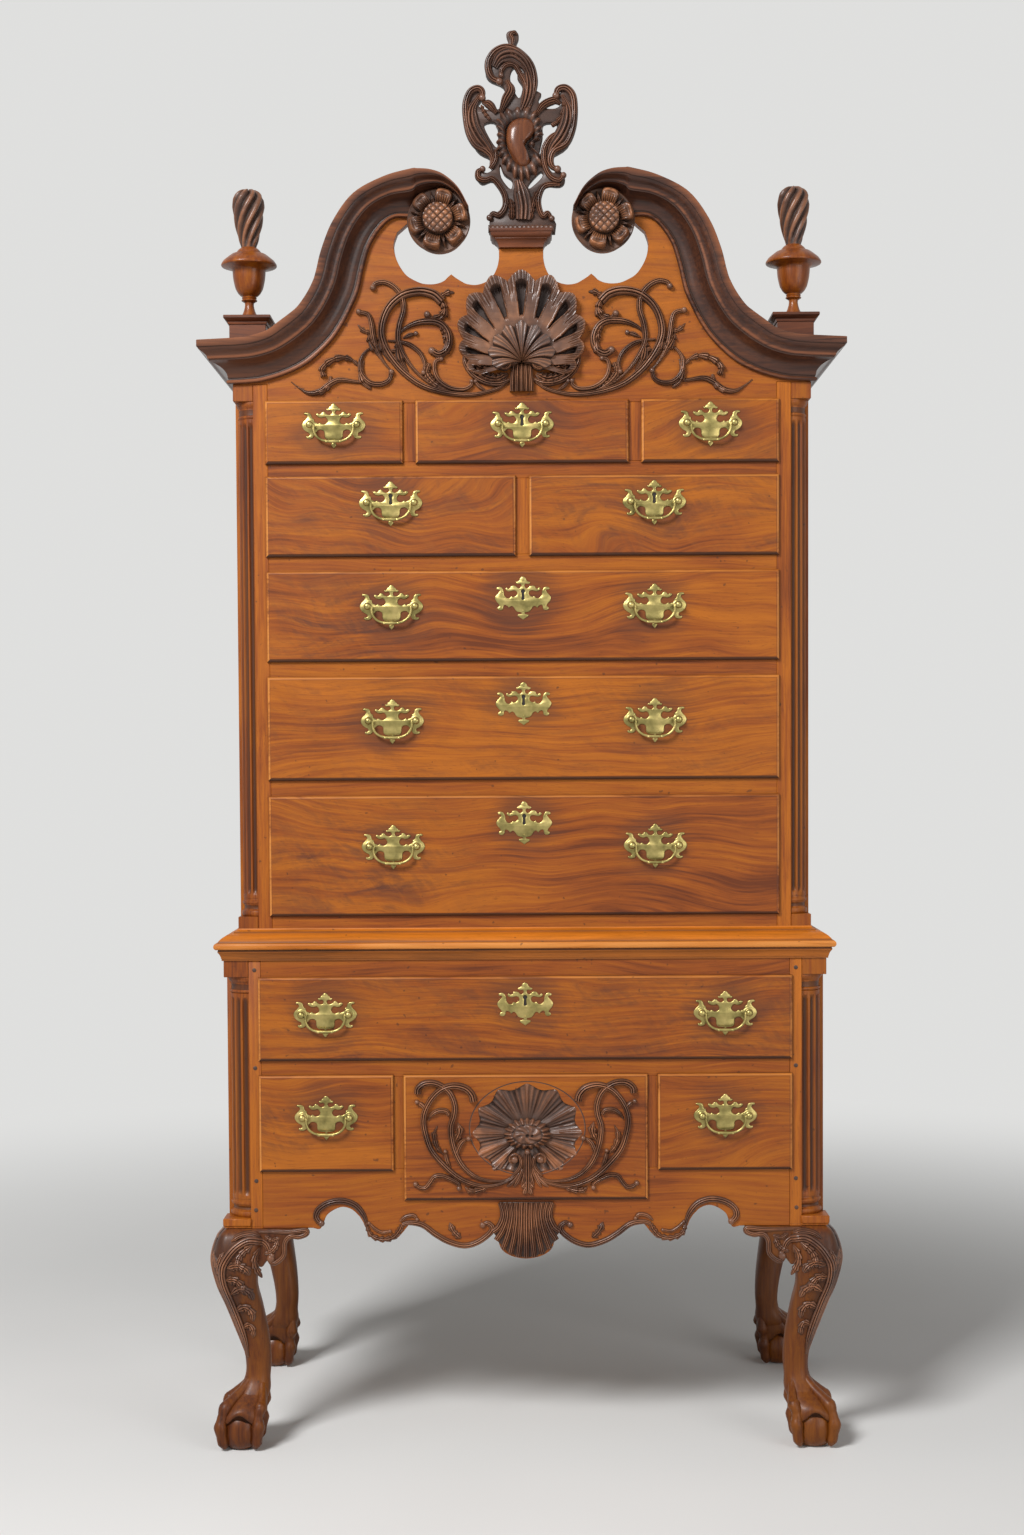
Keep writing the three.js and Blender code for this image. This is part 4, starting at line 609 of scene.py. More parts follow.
def lip_frame(b, x, z, face):
    """The moulded lip that runs round a drawer front on mitres."""
    n = len(LIP_PROFILE)
    for side in range(4):
        points, shading_grime_and_wear = [], []
        run = LIP_PROFILE + [(LIP_INSET, -0.3), (0, -0.3)]
        for inset_by, y in run:
            low_x, high_x, low_z, high_z = x[0] + inset_by, x[1] - inset_by, z[0] + inset_by, z[1] - inset_by
            corner = [(low_x, low_z), (high_x, low_z), (high_x, high_z), (low_x, high_z)]
            for u, w in (corner[side], corner[(side + 1) % 4]):
                points.append((u, face + y, w))
            # Painted light on the lip, for the bottom, right, top and left sides in turn: painted shade with
            # grime in the small step where the lip meets the panel and in the gap against the case; on the
            # rounding a painted shadow along the bottom and painted highlights on the right, top and left;
            # elsewhere painted shade on the bottom and a little on the right.
            if 4.6 < inset_by < 5.2:
                value = (0.5, 0.25, 0.45, 0.25)[side]
            elif inset_by < 0.2 and y > -3.5:
                value = 0.95
            elif 0.5 < inset_by < 3.5:
                value = (1.0, -0.75, -0.5, -0.9)[side]
            else:
                value = (0.85, 0.2, 0.0, 0.0)[side]
            shading_grime_and_wear += [value] * 2
        faces = [(2 * r, 2 * r + 1, 2 * r + 3, 2 * r + 2) for r in range(n + 1)]
        b.add(points, faces, 0, shading_grime_and_wear)


def dovetailed_side(b, face, outer, sx, bottom, top):
    """A drawer side with the tails that lock it to the front, and the front's pins between them."""
    tails = max(2, round((top - bottom) / 36))
    pitch = (top - bottom) / tails
    inner, inside, skin = outer - sx * SIDE_THICK, face + FRONT_THICK, face + 3
    outline = [(DRAWER_BACK, bottom), (DRAWER_BACK, top), (inside, top)]
    pins = []
    before = top
    for k in range(tails):
        high, low = top - pitch * k - 4, top - pitch * (k + 1) + 4
        outline += [(inside, high - 3), (skin, high), (skin, low), (inside, low + 3)]
        shoulder = before if k == 0 else before - 3
        pins.append([(inside, before), (skin, shoulder), (skin, high), (inside, high - 3)])
        before = low + 3
    outline += [(inside, bottom)]
    pins.append([(inside, before), (skin, before - 3), (skin, bottom), (inside, bottom)])
    plate(b, outline, [(0, inner), (0, outer)], slot=1, plane="yz")
    for pin in pins:
        plate(b, pin, [(0.15, inner), (0.15, outer - sx * 0.15)], slot=0, plane="yz")


def drawer(name):
    (x0, x1), z0, height, tier, pull, kind = DRAWERS[name]
    face = UPPER_FRONT if tier == "upper" else 0
    z1, pull, cx, inside = z0 + height, z0 + pull, (x0 + x1) / 2, face + FRONT_THICK
    lock = {"plain": None, "key": pull + KEY_RISE, "pair": z1 - KEY_DROP, "shell": z1 - 70}[kind]
    holes = {"plain": [], "shell": [shell_outline()]}.get(kind) or ([keyhole(cx, lock)] if lock else [])
    b = Build()
    lip_frame(b, (x0, x1), (z0, z1), face)
    left, right, low, high = x0 + LIP_INSET, x1 - LIP_INSET, z0 + LIP_INSET, z1 - LIP_INSET
    plate(b, [(left, low), (right, low), (right, high), (left, high)], [(0, face - LIP), (0, inside)], holes)
    if kind == "shell":
        shell_front(face - LIP)
    half0, half1 = x0 + 5.5, x1 - 5.5
    bottom, top = z0 + 4.3, z1 - 10.5
    for sx, outer in ((-1, half0), (1, half1)):
        dovetailed_side(b, face, outer, sx, bottom, top)
    back = DRAWER_BACK - SIDE_THICK
    board(b, (half0 + SIDE_THICK, half1 - SIDE_THICK), (back, DRAWER_BACK), (bottom, top), 1)
    tails = max(2, round((top - bottom) / 36))
    pitch = (top - bottom) / tails
    for k in range(tails):
        zc = top - pitch * (k + 0.5)
        tail = [(back, zc - 5), (DRAWER_BACK + 0.1, zc - 8), (DRAWER_BACK + 0.1, zc + 8), (back, zc + 5)]
        for outer, sx in ((half0, -1), (half1, 1)):
            plate(b, tail, [(0, outer - sx * SIDE_THICK), (0, outer + sx * 0.12)], slot=1, plane="yz")
    board(b, (half0 + 9, half1 - 9), (face + 12, DRAWER_BACK - 2), (z0 + 10.3, z0 + 18.3), 2)
    if lock:
        # the lock's box, its back plate, its top plate and its bolt
        for half, y, z, edge in ((LOCK_HALF, (inside - 0.5, inside + 7), (lock - 22, z1 - 9), 1.0),
                                 (LOCK_HALF + 5, (inside - 0.5, inside + 1.4), (lock - 26, z1 - 7), 0.6),
                                 (LOCK_HALF + 5, (face + 3, inside + 1.4), (z1 - 7.2, z1 - 5.4), 0.5),
                                 (9, (face + 6, face + 12), (z1 - 8, z1 - 5.0), 0.4)):
            board(b, (cx - half, cx + half), y, z, 3, edge)
    apart = 338.5 if name == "waist_drawer" else 222.5
    pulls = {"shell": [], "pair": [("_left", cx - apart), ("_right", cx + apart)]}.get(kind, [("", cx)])
    worn = [(x, pull) for _, x in pulls] + ([(0, lock)] if kind == "pair" else [])
    front = wood(f"front_{name}", "x", wear_at=worn, **DRAWER_TONES[name])
    b.piece(f"{name}_wood", name, [front, SECONDARY_Y, SECONDARY_X, IRON], name, "figured_walnut")
    behind = face - LIP - 0.3
    for end, x in pulls:
        bail_plate(f"{name}_bail_plate{end}", name, x, behind, pull, kind == "key")
        bail(f"{name}_bail{end}", x, behind - 1.6 - 9, pull)
    if kind == "pair":
        escutcheon(name, 0, face - LIP, lock)


# Right halves of the brass outlines in millimetres from the middle, from the foot round to the top
PLATE_HALF = [(0, -39.4), (2.2, -36.5), (4.6, -33.5), (3.6, -30.5), (1.7, -27.6), (1.6, -24.9), (5.2, -24.9),
              (10.8, -24.2), (14.2, -21.8), (15.4, -18), (15.5, -13.5), (16.3, -10.4), (18.9, -8.5),
              (22.6, -7.8), (26, -8.5), (28.5, -11.2), (31.2, -14.2), (33, -18), (35.4, -21.2), (39.2, -22.6),
              (43.9, -22.6), (46.8, -20.3), (45.6, -17.9), (42.6, -18.2), (40.4, -16), (41.4, -13.2),
              (46.7, -10.4), (51, -6.6), (53.4, -1.9), (53.4, 1.9), (51.5, 5.7), (47.7, 9.5), (44.9, 13.2),
              (44.4, 15.3), (46.3, 17.5), (49.1, 17.9), (49.8, 20.3), (47.7, 21.5), (43.9, 21.3),
              (40.1, 20.3), (37.8, 17.9), (36.8, 14.2), (35.4, 11.8), (32.6, 10.6), (33, 8), (31.2, 4.9),
              (28.3, 4.0), (25.6, 2.6), (23.1, 4.9), (20.3, 2.6), (17, 1.6), (13.7, 2.4), (11.4, 4.2),
              (10.2, 6.8), (10.7, 9.6), (12.3, 12.0), (14.6, 13.7), (17.5, 13.2), (20.3, 12.5), (25, 13.2),
              (28.3, 15.6), (29.8, 17.9), (28.3, 19.8), (25.5, 19.8), (23.6, 18.6), (21.3, 19.4),
              (19.8, 21.5), (17.5, 22.7), (14.6, 22.0), (12.8, 19.6), (9.9, 17.9), (6.2, 17.5), (3.3, 19.4),
              (2.6, 22.2), (4.3, 24.4), (7.1, 24.6), (9.9, 23.9), (12.3, 26), (11.3, 27.9), (9, 27.9),
              (7.6, 30.7), (5.2, 32.1), (3.5, 34.6), (1.6, 36.2), (0, 36.5)]
PLATE_SHARP = (5, 25, 43, 48, 54, 64, 73, 79, 81, 83)
ESCUTCHEON_HALF = [(0, -42.4), (4.2, -39.4), (8.6, -36.6), (9.2, -34), (5.2, -32.8), (2.5, -32.4),
                   (2.6, -30.3), (6.1, -29.7), (10.8, -28.3), (13.7, -25), (16, -21.4), (19.3, -19.3),
                   (21.9, -20.6), (24.3, -22.4), (25.9, -19.8), (30.2, -17.5), (33, -19.3), (33.5, -23.1),
                   (35.8, -25.9), (40.1, -26.4), (43.4, -24.1), (42.5, -21.2), (39.6, -19.3), (41, -16),
                   (44.8, -11.8), (47.2, -7.1), (46.7, -3.3), (42.9, 1.4), (39.4, 5.7), (40.1, 8), (43.4, 8),
                   (44.8, 9.9), (43.4, 12.3), (39.2, 13.2), (35.8, 11.8), (33.5, 8.5), (32, 4.2), (32, 0),
                   (30.4, -3.0), (28.3, -5.2), (25, -6.1), (21.7, -5.2), (19.3, -2.4), (16.5, -3.7),
                   (13.2, -2.8), (10.5, -0.5), (9.9, 2.8), (11.3, 5.7), (14.6, 7.1), (19.3, 6.3), (23.1, 5.4),
                   (26.4, 6.1), (29.2, 8), (29.2, 10.7), (26.9, 11.8), (25, 9.6), (21.7, 10.8), (19.8, 14.2),
                   (15.6, 15.1), (11.8, 14.2), (9, 11.3), (5.7, 10.7), (2.9, 13.2), (2.6, 16.5), (4.7, 18.2),
                   (8, 17.5), (11.3, 18.4), (12.3, 20.8), (9, 22.2), (6.1, 24.1), (5.2, 26.9), (2.6, 29.5),
                   (0, 30.4)]
ESCUTCHEON_SHARP = (3, 5, 6, 13, 22, 42, 55, 63, 68, 70)
POST_APART, COLLAR_APART = 40, 11.5
BAIL_POST = [(0, 1.2), (9.0, 1.2), (9.0, 2.0), (8.2, 2.5), (6.6, 2.6), (5.8, 3.4), (4.4, 4.2), (3.9, 6.0),
             (4.4, 7.4), (5.4, 8.4), (6.0, 10.0), (6.0, 11.4), (5.4, 13.0), (4.2, 14.3), (2.4, 15.3),
             (0, 15.6)]
BAIL_HALF = [(0, -28.6), (7, -28.5), (14, -27.6), (21, -25.2), (27.5, -20.6), (31.6, -14.4), (33.2, -8),
             (33.2, -3.4), (34.4, -0.6), (37, 0), (41.85, 0)]


def leafy(half, sharp, cx, cz):
    """A brass outline round its middle, from its right half."""
    return [(cx + u, cz + v) for u, v in symmetric([tuple(p) for p in corners(half, 3, sharp)])]


def knob(b, x, z, front, profile, segments, slot=0, shading_grime_and_wear=0.0):
    """A profile of (radius, rise) turned so that it stands forward from a face."""
    turned(b, [(r, front - rise) for r, rise in profile], (x, 0, z), segments, slot, "y", shading_grime_and_wear)


def keyhole_shade(b, cx, y, cz):
    # painted shade: a near-black plate set in the keyhole
    plate(b, keyhole(cx, cz, 1.12), [(0, y), (0, y + 0.6)], slot=1)


def bail_plate(name, body, cx, back, cz, with_key):
    b = Build()
    holes = [keyhole(cx, cz + KEY_RISE)] if with_key else []
    steps = [(1.25, back - 1.6), (0.35, back - 1.1), (0, back - 0.5), (0, back)]
    plate(b, leafy(PLATE_HALF, PLATE_SHARP, cx, cz), steps, holes)
    for x in (cx - POST_APART, cx + POST_APART):
        knob(b, x, cz, back, BAIL_POST, 28)
        knob(b, x, cz, back, [(0, -23), (3, -23), (3, 0), (0, 0)], 10)
        knob(b, x, cz, back, [(0, -26.5), (6, -26.5), (6, -22.4), (0, -22.4)], 6)
    if with_key:
        keyhole_shade(b, cx, back + 0.2, cz + KEY_RISE)
    b.piece(name + "_brass", body, [BRASS, PAINTED_SHADE], name, "brass", 32)


def escutcheon(body, cx, face, cz):
    b = Build()
    steps = [(1.1, face - 1.5), (0.3, face - 1.05), (0, face - 0.5), (0, face - 0.02)]
    plate(b, leafy(ESCUTCHEON_HALF, ESCUTCHEON_SHARP, cx, cz), steps, [keyhole(cx, cz)])
    for x, z in ((-34, 5), (34, 5), (0, 24), (0, -27)):
        knob(b, cx + x, cz + z, face, [(0, 1.0), (1.9, 1.3), (1.5, 2.0), (0, 2.25)], 12)
    keyhole_shade(b, cx, face + 0.3, cz)
    b.piece(body + "_escutcheon", body, [BRASS, PAINTED_SHADE], None, "brass", 32)


def tube(b, path, radii, sides=14, across=(0, 1, 0)):
    """A round bar along a path that lies in the plane square to across."""
    path = np.asarray(path, float)
    tangent = unit(np.gradient(path, axis=0))
    across = np.broadcast_to(np.asarray(across, float), tangent.shape)
    side = unit(np.cross(tangent, across))
    a = np.linspace(0, 2 * math.pi, sides, endpoint=False)[None, :, None]
    sweep(b, path[:, None] + radii[:, None, None] * (np.cos(a) * side[:, None] + np.sin(a) * across[:, None]))


def bail(name, cx, y, cz):
    b = Build()
    curve = catmull([(-x, z) for x, z in BAIL_HALF[:0:-1]] + BAIL_HALF, 4)
    u = np.abs(curve[:, 0])
    radii = np.where(u > 37, 1.9, 2.0 + 0.75 * bell(u, 0, 13.0) + 0.35 * bell(u, 29, 5.0))
    tube(b, [(cx + x, y, cz + z) for x, z in curve], radii)
    for x in (cx - COLLAR_APART, cx + COLLAR_APART):
        turned(b, [(0, -1.6), (2.6, -1.4), (3.0, -0.4), (3.0, 0.4), (2.6, 1.4), (0, 1.6)], (x, y, cz - 29.0),
               14)
    b.piece(name + "_brass", name, [BRASS], name, "brass", 50)


# Carving
def strip(b, path, width, rise, face, taper=(0.25, 0.25), lobes=0, tips=(), ease=0.2, steps=7, slot=0):
    """Carved band laid on a face along a path of (x, z): half round with a gouged middle, tapered ends."""
    curve = catmull(path, steps)
    t = np.linspace(0, 1, len(curve))
    w = width / 2 * (taper[0] + (1 - taper[0]) * smooth(t, 0, ease))
    w = w * (taper[1] + (1 - taper[1]) * (1 - smooth(t, 1 - ease, 1)))
    if lobes:
        w = w * (0.62 + 0.62 * ((t * lobes) % 1))
    tangent = unit(np.gradient(curve, axis=0))
    gouges = (0.0,) if width < 8 else ((-0.3, 0.36) if width < 14 else (-0.52, 0.0, 0.52))
    u = np.concatenate([[-1], np.linspace(-0.97, 0.97, 13 + 4 * len(gouges)), [1]])
    near = sum(bell(u, c, 0.12) for c in gouges)
    shape = 0.12 + 0.88 * np.sqrt(np.clip(1 - u**2, 0, 1)) * (1 - 0.55 * np.clip(near, 0, 1))
    shape[0] = shape[-1] = -0.12
    # painted shade in the gouges and along both edges, and a painted highlight on the crown away from the
    # gouges
    darkness = np.clip(0.8 * near + 0.95 * smooth(np.abs(u), 0.74, 1.0), 0, 1)
    darkness = darkness - 0.6 * np.clip(1 - 2 * near, 0, 1) * (1 - smooth(np.abs(u), 0.5, 0.7))
    depth = np.clip(w / (width / 2), 0.2, 1.2)[:, None]
    x = curve[:, :1] + -tangent[:, 1:] * w[:, None] * u
    z = curve[:, 1:] + tangent[:, :1] * w[:, None] * u
    y = (face(x, z) if callable(face) else face) - rise * shape * depth
    pts = np.stack([x, y, z], -1).reshape(-1, 3)
    faces = quads(len(curve), len(u))
    b.add(pts, facing_front(pts, faces, len(faces) // 2), slot, np.tile(darkness, len(curve)))
    for end in tips:
        cx, cz = curve[-end]
        dome(b, cx, cz, width * 0.52, face(cx, cz) if callable(face) else face, rise * 1.05, slot)


def dome(b, x, z, r, face, rise, slot=0):
    profile = [(r, face + 0.4), (r, face - rise * 0.35), (r * 0.86, face - rise * 0.72),
               (r * 0.55, face - rise * 0.95), (0, face - rise)]
    turned(b, profile, (x, 0, z), 18, slot, "y")


def carve(b, rows, face, wide, high, side=1, taper=(0.5, 0.5), ease=0.2, steps=7, slot=0):
    """Lays the strips of a table on a face, with their widths and heights scaled. Side -1 mirrors them."""
    for row in rows:
        path = [(side * x, z) for x, z in row["at"]]
        strip(b, path, row["w"] * wide, row["h"] * high, face, row.get("taper", taper), row.get("lobes", 0),
              row.get("tips", ()), row.get("ease", ease), steps, slot)


def shrunk(loop, centre, k, y):
    """A loop of (x, z) drawn in towards a centre, at a depth y."""
    x, z = centre[0] + (loop[:, 0] - centre[0]) * k, centre[1] + (loop[:, 1] - centre[1]) * k
    return np.stack([x, np.broadcast_to(y, len(loop)), z], 1)


def volute(b, x, z, r, face, rise, turn):
    """A small scroll that winds in from its top to an eye."""
    path = []
    for k in np.arange(26) / 25:
        a = math.pi / 2 + turn * 2 * math.pi * 1.6 * k
        rr = r * (1 - 0.86 * k)
        path.append((x + rr * math.cos(a), z + rr * math.sin(a)))
    strip(b, path, r * 0.55, rise, face, (0.6, 0.6), steps=2)
    dome(b, x, z, r * 0.3, face, rise * 1.1)


def polar(b, centre, angles, ts, point, slot=0, wrap=False):
    """A surface over angles and shares of the radius; point gives x, y, z offsets and a
    shading_grime_and_wear value.
    """
    rows, darkness = zip(*(point(angles, t) for t in ts))
    pts = np.concatenate(rows) + np.asarray(centre, float)
    faces = quads(len(ts), len(angles), wrap)
    b.add(pts, facing_front(pts, faces, len(faces) // 2 + len(angles) // 2), slot, np.concatenate(darkness))


# The drawer's shell: a hollow scallop in a ring, with a ruffled eye
DRAWER_SHELL = (2.5, 540.0)
LOBE_EDGES = [0, 17.5, 48, 75, 100.7, 124.2, 148, 180]
LOBE_COUNT = [0, 0.5, 1.5, 2.5, 3.5, 4.5, 5.5, 6.0]


def shell_reach(a):
    """Rim radius of the lobes' points at an angle from straight up."""
    return np.interp(np.degrees(np.abs(a)), [0, 35, 61, 89, 112.5, 136, 160, 180],
                     [87.5, 91.8, 94.3, 93.5, 90.3, 84, 74, 70])


def shell_phase(a):
    turn = np.interp(np.degrees(np.abs(a)), LOBE_EDGES, LOBE_COUNT) * np.where(a < 0, -1, 1)
    return (turn + 0.5) % 1 - 0.5


def shell_rim(a):
    return shell_reach(a) * (1 - 0.105 * np.sin(np.clip(2 * np.abs(shell_phase(a)), 0, 1)
                                                * math.pi / 2) ** 1.4)


def shell_outline():
    cx, cz = DRAWER_SHELL
    around = np.linspace(-math.pi, math.pi, 330, endpoint=False)
    return [(cx + float(shell_rim(a)) * math.sin(a), cz + float(shell_rim(a)) * math.cos(a)) for a in around]


# two small holes in the eye of the shell: how far right of the middle, and radius
SHELL_PITS = ((0.2, 2.9), (8.0, 2.1))


def shell_front(front):
    """The whole carving of the drawer's front: bowl, ring, eye, stem and vines."""
    cx, cz = DRAWER_SHELL

    def bowl(a, t):
        s = shell_phase(a)
        m = 2 * np.abs(s)
        reach = shell_rim(a) * t
        hollow = 8.5 * (1 - t) ** 0.8 + 1.5
        valley = 5.0 * smooth(t, 0.2, 0.5) * (1 - smooth(t, 0.9, 1.05) * 0.5) * m**1.5
        ribs = 1.0 * np.cos(s * 2 * math.pi * 5) * smooth(t, 0.35, 0.7)
        ridge = 3.2 * bell(m, 0, 0.22) * smooth(t, 0.3, 0.6)
        y = front + hollow + valley - ribs - ridge
        y = np.where(t > 0.995, front + 0.2, np.maximum(y, front - 1.6))
        # Painted light on the bowl: the upper half painted darker as shade, the valleys and the middle by the
        # eye painted shade, the fine ribs painted light and dark by turns, and painted highlights along the
        # lobes' ridges, weaker on top.
        upper = smooth(np.cos(a), -0.1, 0.8)
        g = 0.2 + 0.25 * upper + 0.6 * m**2 * (1 - 0.6 * smooth(t, 0.5, 0.95))
        g = g + 0.35 * (1 - smooth(t, 0.3, 0.5)) - 0.45 * np.cos(s * 10 * math.pi) * smooth(t, 0.4, 0.7)
        g = g - (1.1 - 0.6 * upper) * bell(m, 0.2, 0.14) * smooth(t, 0.45, 0.75)
        return np.stack([reach * np.sin(a), y, reach * np.cos(a)], 1), np.clip(g, -0.7, 0.85)

    def eye(a, t):
        wave = np.cos(a * 21 + 0.9 * np.sin(3 * a))
        petals = np.cos(a * 7 + t * 9)
        reach = t * (1 + 0.07 * wave * smooth(t, 0.7, 1))
        frill = smooth(t, 0.62, 0.74)
        y = front + 5 - 12.5 * (1 - t**3) - 1.7 * wave * frill * (1 - smooth(t, 0.9, 1.0))
        y = y + 1.8 * bell(t, 0.64, 0.04) - 1.5 * petals * smooth(t, 0.2, 0.35) * (1 - frill)
        y = np.maximum(y, front - 7.9)
        x, z = 38.5 * reach * np.sin(a), np.where(np.cos(a) > 0, 27, 25) * reach * np.cos(a)
        pit = sum(np.exp(-((((x - px) / r) ** 2 + ((z + 1) / r) ** 2) ** 2)) for px, r in SHELL_PITS)
        # Painted light on the eye: painted highlights on the proud folds and petals and painted shade in
        # their hollows, a painted-shade line in the cut round the frill and along the outer edge, and painted
        # shade in the pits.
        g = 0.2 - 0.4 * wave * frill - 0.3 * petals * (1 - frill) + 0.9 * bell(t, 0.65, 0.035)
        g = np.clip(g + 0.5 * smooth(t, 0.93, 1.0), -0.6, 0.9)
        return np.stack([x, y + 4.0 * pit, z], 1), np.clip(g + 1.2 * pit, -0.6, 1.0)

    ts = [1.0, 0.985, 0.96, 0.92, 0.86, 0.79, 0.71, 0.63, 0.55, 0.47, 0.39, 0.3, 0.2, 0.1]
    c = Build()
    polar(c, (cx, 0, cz), np.linspace(-math.pi, math.pi, 330, endpoint=False), ts, bowl, wrap=True)
    # ring cut round the shell: painted shade in its fine cut and a painted highlight on its edge
    mid, sides = 551, 96
    ring = ellipse(cx, mid, 98, 80, sides)
    rings = []
    for k, y in ((1.012, front + 0.1), (1.010, front - 0.3), (0.996, front - 0.3), (0.986, front + 0.1)):
        rings.append(shrunk(ring, (cx, mid), k, y))
    bead = Build()
    shading_grime_and_wear = np.repeat([1.0, 1.0, 0.75, -0.7], sides)
    bead.add(np.concatenate(rings), quads(4, sides, wrap=True), 0, shading_grime_and_wear)
    fix_normals(bead, 4 * sides, 3 * sides)
    c.merge(bead)
    around = np.linspace(-math.pi, math.pi, 150, endpoint=False)
    polar(c, (cx, 0, cz), around, np.linspace(1, 0.02, 30), eye, wrap=True)
    # painted shade: a near-black disc at the bottom of each pit
    for dx, r in SHELL_PITS:
        plate(c, ellipse(cx + dx, cz - 1, r * 0.8, r * 0.8, 20), [(0, front - 3.9), (0, front - 3.2)], slot=1)
    # stem with its wrapped foot, then the leaves and vines to both sides
    strip(c, [(cx, z) for z in (513, 500, 484, 466, 452, 441)], 15, 8.5, front, (0.55, 0.6))
    dome(c, cx, 511, 5.0, front, 8.2)
    for k in (-1, 1):
        strip(c, [(cx, 462), (cx + k * 5, 455), (cx + k * 10, 449)], 7.5, 6, front, (0.8, 0.3))
        strip(c, [(cx + k * 1.5, 452), (cx + k * 5, 445), (cx + k * 6, 438)], 6.5, 6, front, (0.8, 0.3))
    for sx in (-1, 1):
        dome(c, cx + sx * 22, 498, 6.4, front, 7.5)
        for width, rise, taper, run in (
                (5, 5, (0.7, 0.5), [(15, 505), (21, 507.5), (28, 504), (30, 497), (26, 491)]),
                (8, 6.5, (0.7, 0.7), [(14, 506), (10, 494), (14, 482), (24, 471)]),
                (6.5, 5.5, (0.5, 0.4), [(3.6, 488), (5.5, 471), (9.6, 454)]),
                (6.5, 5.5, (0.5, 0.4), [(7.6, 485), (13.3, 468), (23.3, 451)]),
                (6.5, 5.5, (0.5, 0.4), [(12, 479), (21, 464), (35, 451.5)])):
            strip(c, [(cx + sx * x, z) for x, z in run], width, rise, front, taper)
        carve(c, DRAWER_VINES, front, 1.22, 1.75, -sx, (0.4, 0.3), 0.35)
    c.piece("shell_drawer_carving", "shell_drawer", [CARVED_DRAWER, PAINTED_SHADE], None, "figured_walnut", 55)


DRAWER_VINES = [
    dict(at=[(-6.2, 492), (-18.9, 470), (-38.7, 458.2), (-66.8, 452.7), (-92.1, 457.1), (-117.3, 469.4),
             (-142.4, 492.2), (-161.9, 516.9), (-171.5, 546.6), (-173.7, 566.4), (-169.3, 585.6),
             (-157.1, 605.8), (-141.6, 619.3), (-121.9, 624.8), (-102.3, 620.5), (-91.7, 609.7),
             (-88.6, 598)], w=8.5, h=5.5, taper=(0.35, 1.25)),
    dict(at=[(-10.4, 480.7), (-33, 463.3), (-61.1, 461.7), (-86.4, 469.2), (-106, 485.5), (-118.5, 506.7),
             (-125.9, 532.2), (-127.4, 554.9), (-121.7, 574.6), (-120.7, 591.5), (-127.6, 610.8),
             (-140.1, 622.7), (-155.5, 629.2), (-171, 628.5), (-181.4, 620.6), (-182.9, 611.6)], w=8.5, h=5.0,
         taper=(0.35, 1.2)),
    dict(at=[(-169.9, 583.9), (-175.4, 591.8), (-184.4, 597.5)], w=6.5, h=4.5, tips=(1,)),
    dict(at=[(-165.8, 566.4), (-158.7, 576.2), (-147.4, 582.6), (-134.8, 581.7), (-130.1, 575.2)], w=7, h=4.5,
         taper=(0.4, 0.9)),
    dict(at=[(-121, 528), (-112.6, 546.3), (-115.3, 562)], w=11, h=5, lobes=3, taper=(0.5, 0.1)),
    dict(at=[(-117.1, 503.9), (-115.6, 515.2), (-108.5, 528.8), (-97, 534.9)], w=7.5, h=5, tips=(1,)),
    dict(at=[(-128.4, 485.6), (-134.5, 498.4), (-136.7, 513.1)], w=6, h=4.5, tips=(1,)),
    dict(at=[(-114.1, 450.1), (-116, 458.1), (-128.6, 465.5), (-142.6, 470.9), (-155.2, 469.6),
             (-162.3, 460.3), (-170.8, 451), (-181.5, 451.6), (-187.7, 457.6)], w=7, h=4.5, tips=(0, 1),
         taper=(0.8, 0.8)),
    dict(at=[(-60, 455), (-78, 447), (-96, 446), (-104, 452)], w=9, h=4.5, lobes=4, taper=(0.4, 0.2)),
    dict(at=[(-140, 507), (-152, 522), (-156, 541), (-150, 556)], w=8, h=4.2, lobes=4, taper=(0.4, 0.2)),
]


# Lower case
APRON = [(0, -1), (0.03, -0.97), (0.06, -0.9), (0.085, -0.78), (0.1, -0.62), (0.11, -0.36), (0.125, -0.19),
         (0.15, -0.3), (0.18, -0.51), (0.228, -0.65), (0.272, -0.53), (0.3, -0.38), (0.326, -0.24),
         (0.365, -0.08), (0.4, 0.05), (0.435, 0.17), (0.452, 0.02), (0.474, -0.2), (0.495, -0.345),
         (0.54, -0.39), (0.565, -0.34), (0.584, -0.27), (0.6, -0.1), (0.612, 0.02), (0.62, 0.18),
         (0.633, 0.35), (0.66, 0.56), (0.694, 0.65), (0.725, 0.58), (0.754, 0.42), (0.766, 0.25),
         (0.773, 0.09), (0.785, -0.04), (0.81, 0), (1, 0)]
APRON_RIMS = [
    dict(at=[(-349, 389), (-355, 394), (-358, 402), (-353, 413.5), (-336.5, 424), (-313.7, 427.5),
             (-291.6, 420), (-277.5, 403.1), (-271, 385.6)], w=9, h=5, tips=(0,), taper=(0.9, 0.6)),
    dict(at=[(-271.7, 384.5), (-265.2, 369), (-246.8, 361), (-228, 364), (-217, 375), (-211.6, 386)], w=8.5,
         h=4.5, lobes=9, taper=(0.7, 0.8)),
    dict(at=[(-268, 389), (-259, 380), (-246, 373), (-232, 375)], w=5, h=4, tips=(0, 1), taper=(0.8, 0.8)),
    dict(at=[(-211.6, 386), (-198.6, 389.2), (-176.6, 385.1), (-154.6, 369), (-132.5, 356.5), (-106, 349.5),
             (-82, 356), (-62, 371), (-58.5, 381.5), (-66.7, 388), (-74.5, 384.6)], w=8.5, h=4.8, tips=(1,),
         taper=(0.7, 0.7)),
    dict(at=[(-112, 362), (-124, 374), (-131, 389)], w=10, h=4.2, lobes=4, taper=(0.6, 0.1)),
    dict(at=[(-215, 392), (-205, 400), (-192, 402), (-186, 395)], w=5.5, h=4, taper=(0.6, 0.5), tips=(1,)),
]
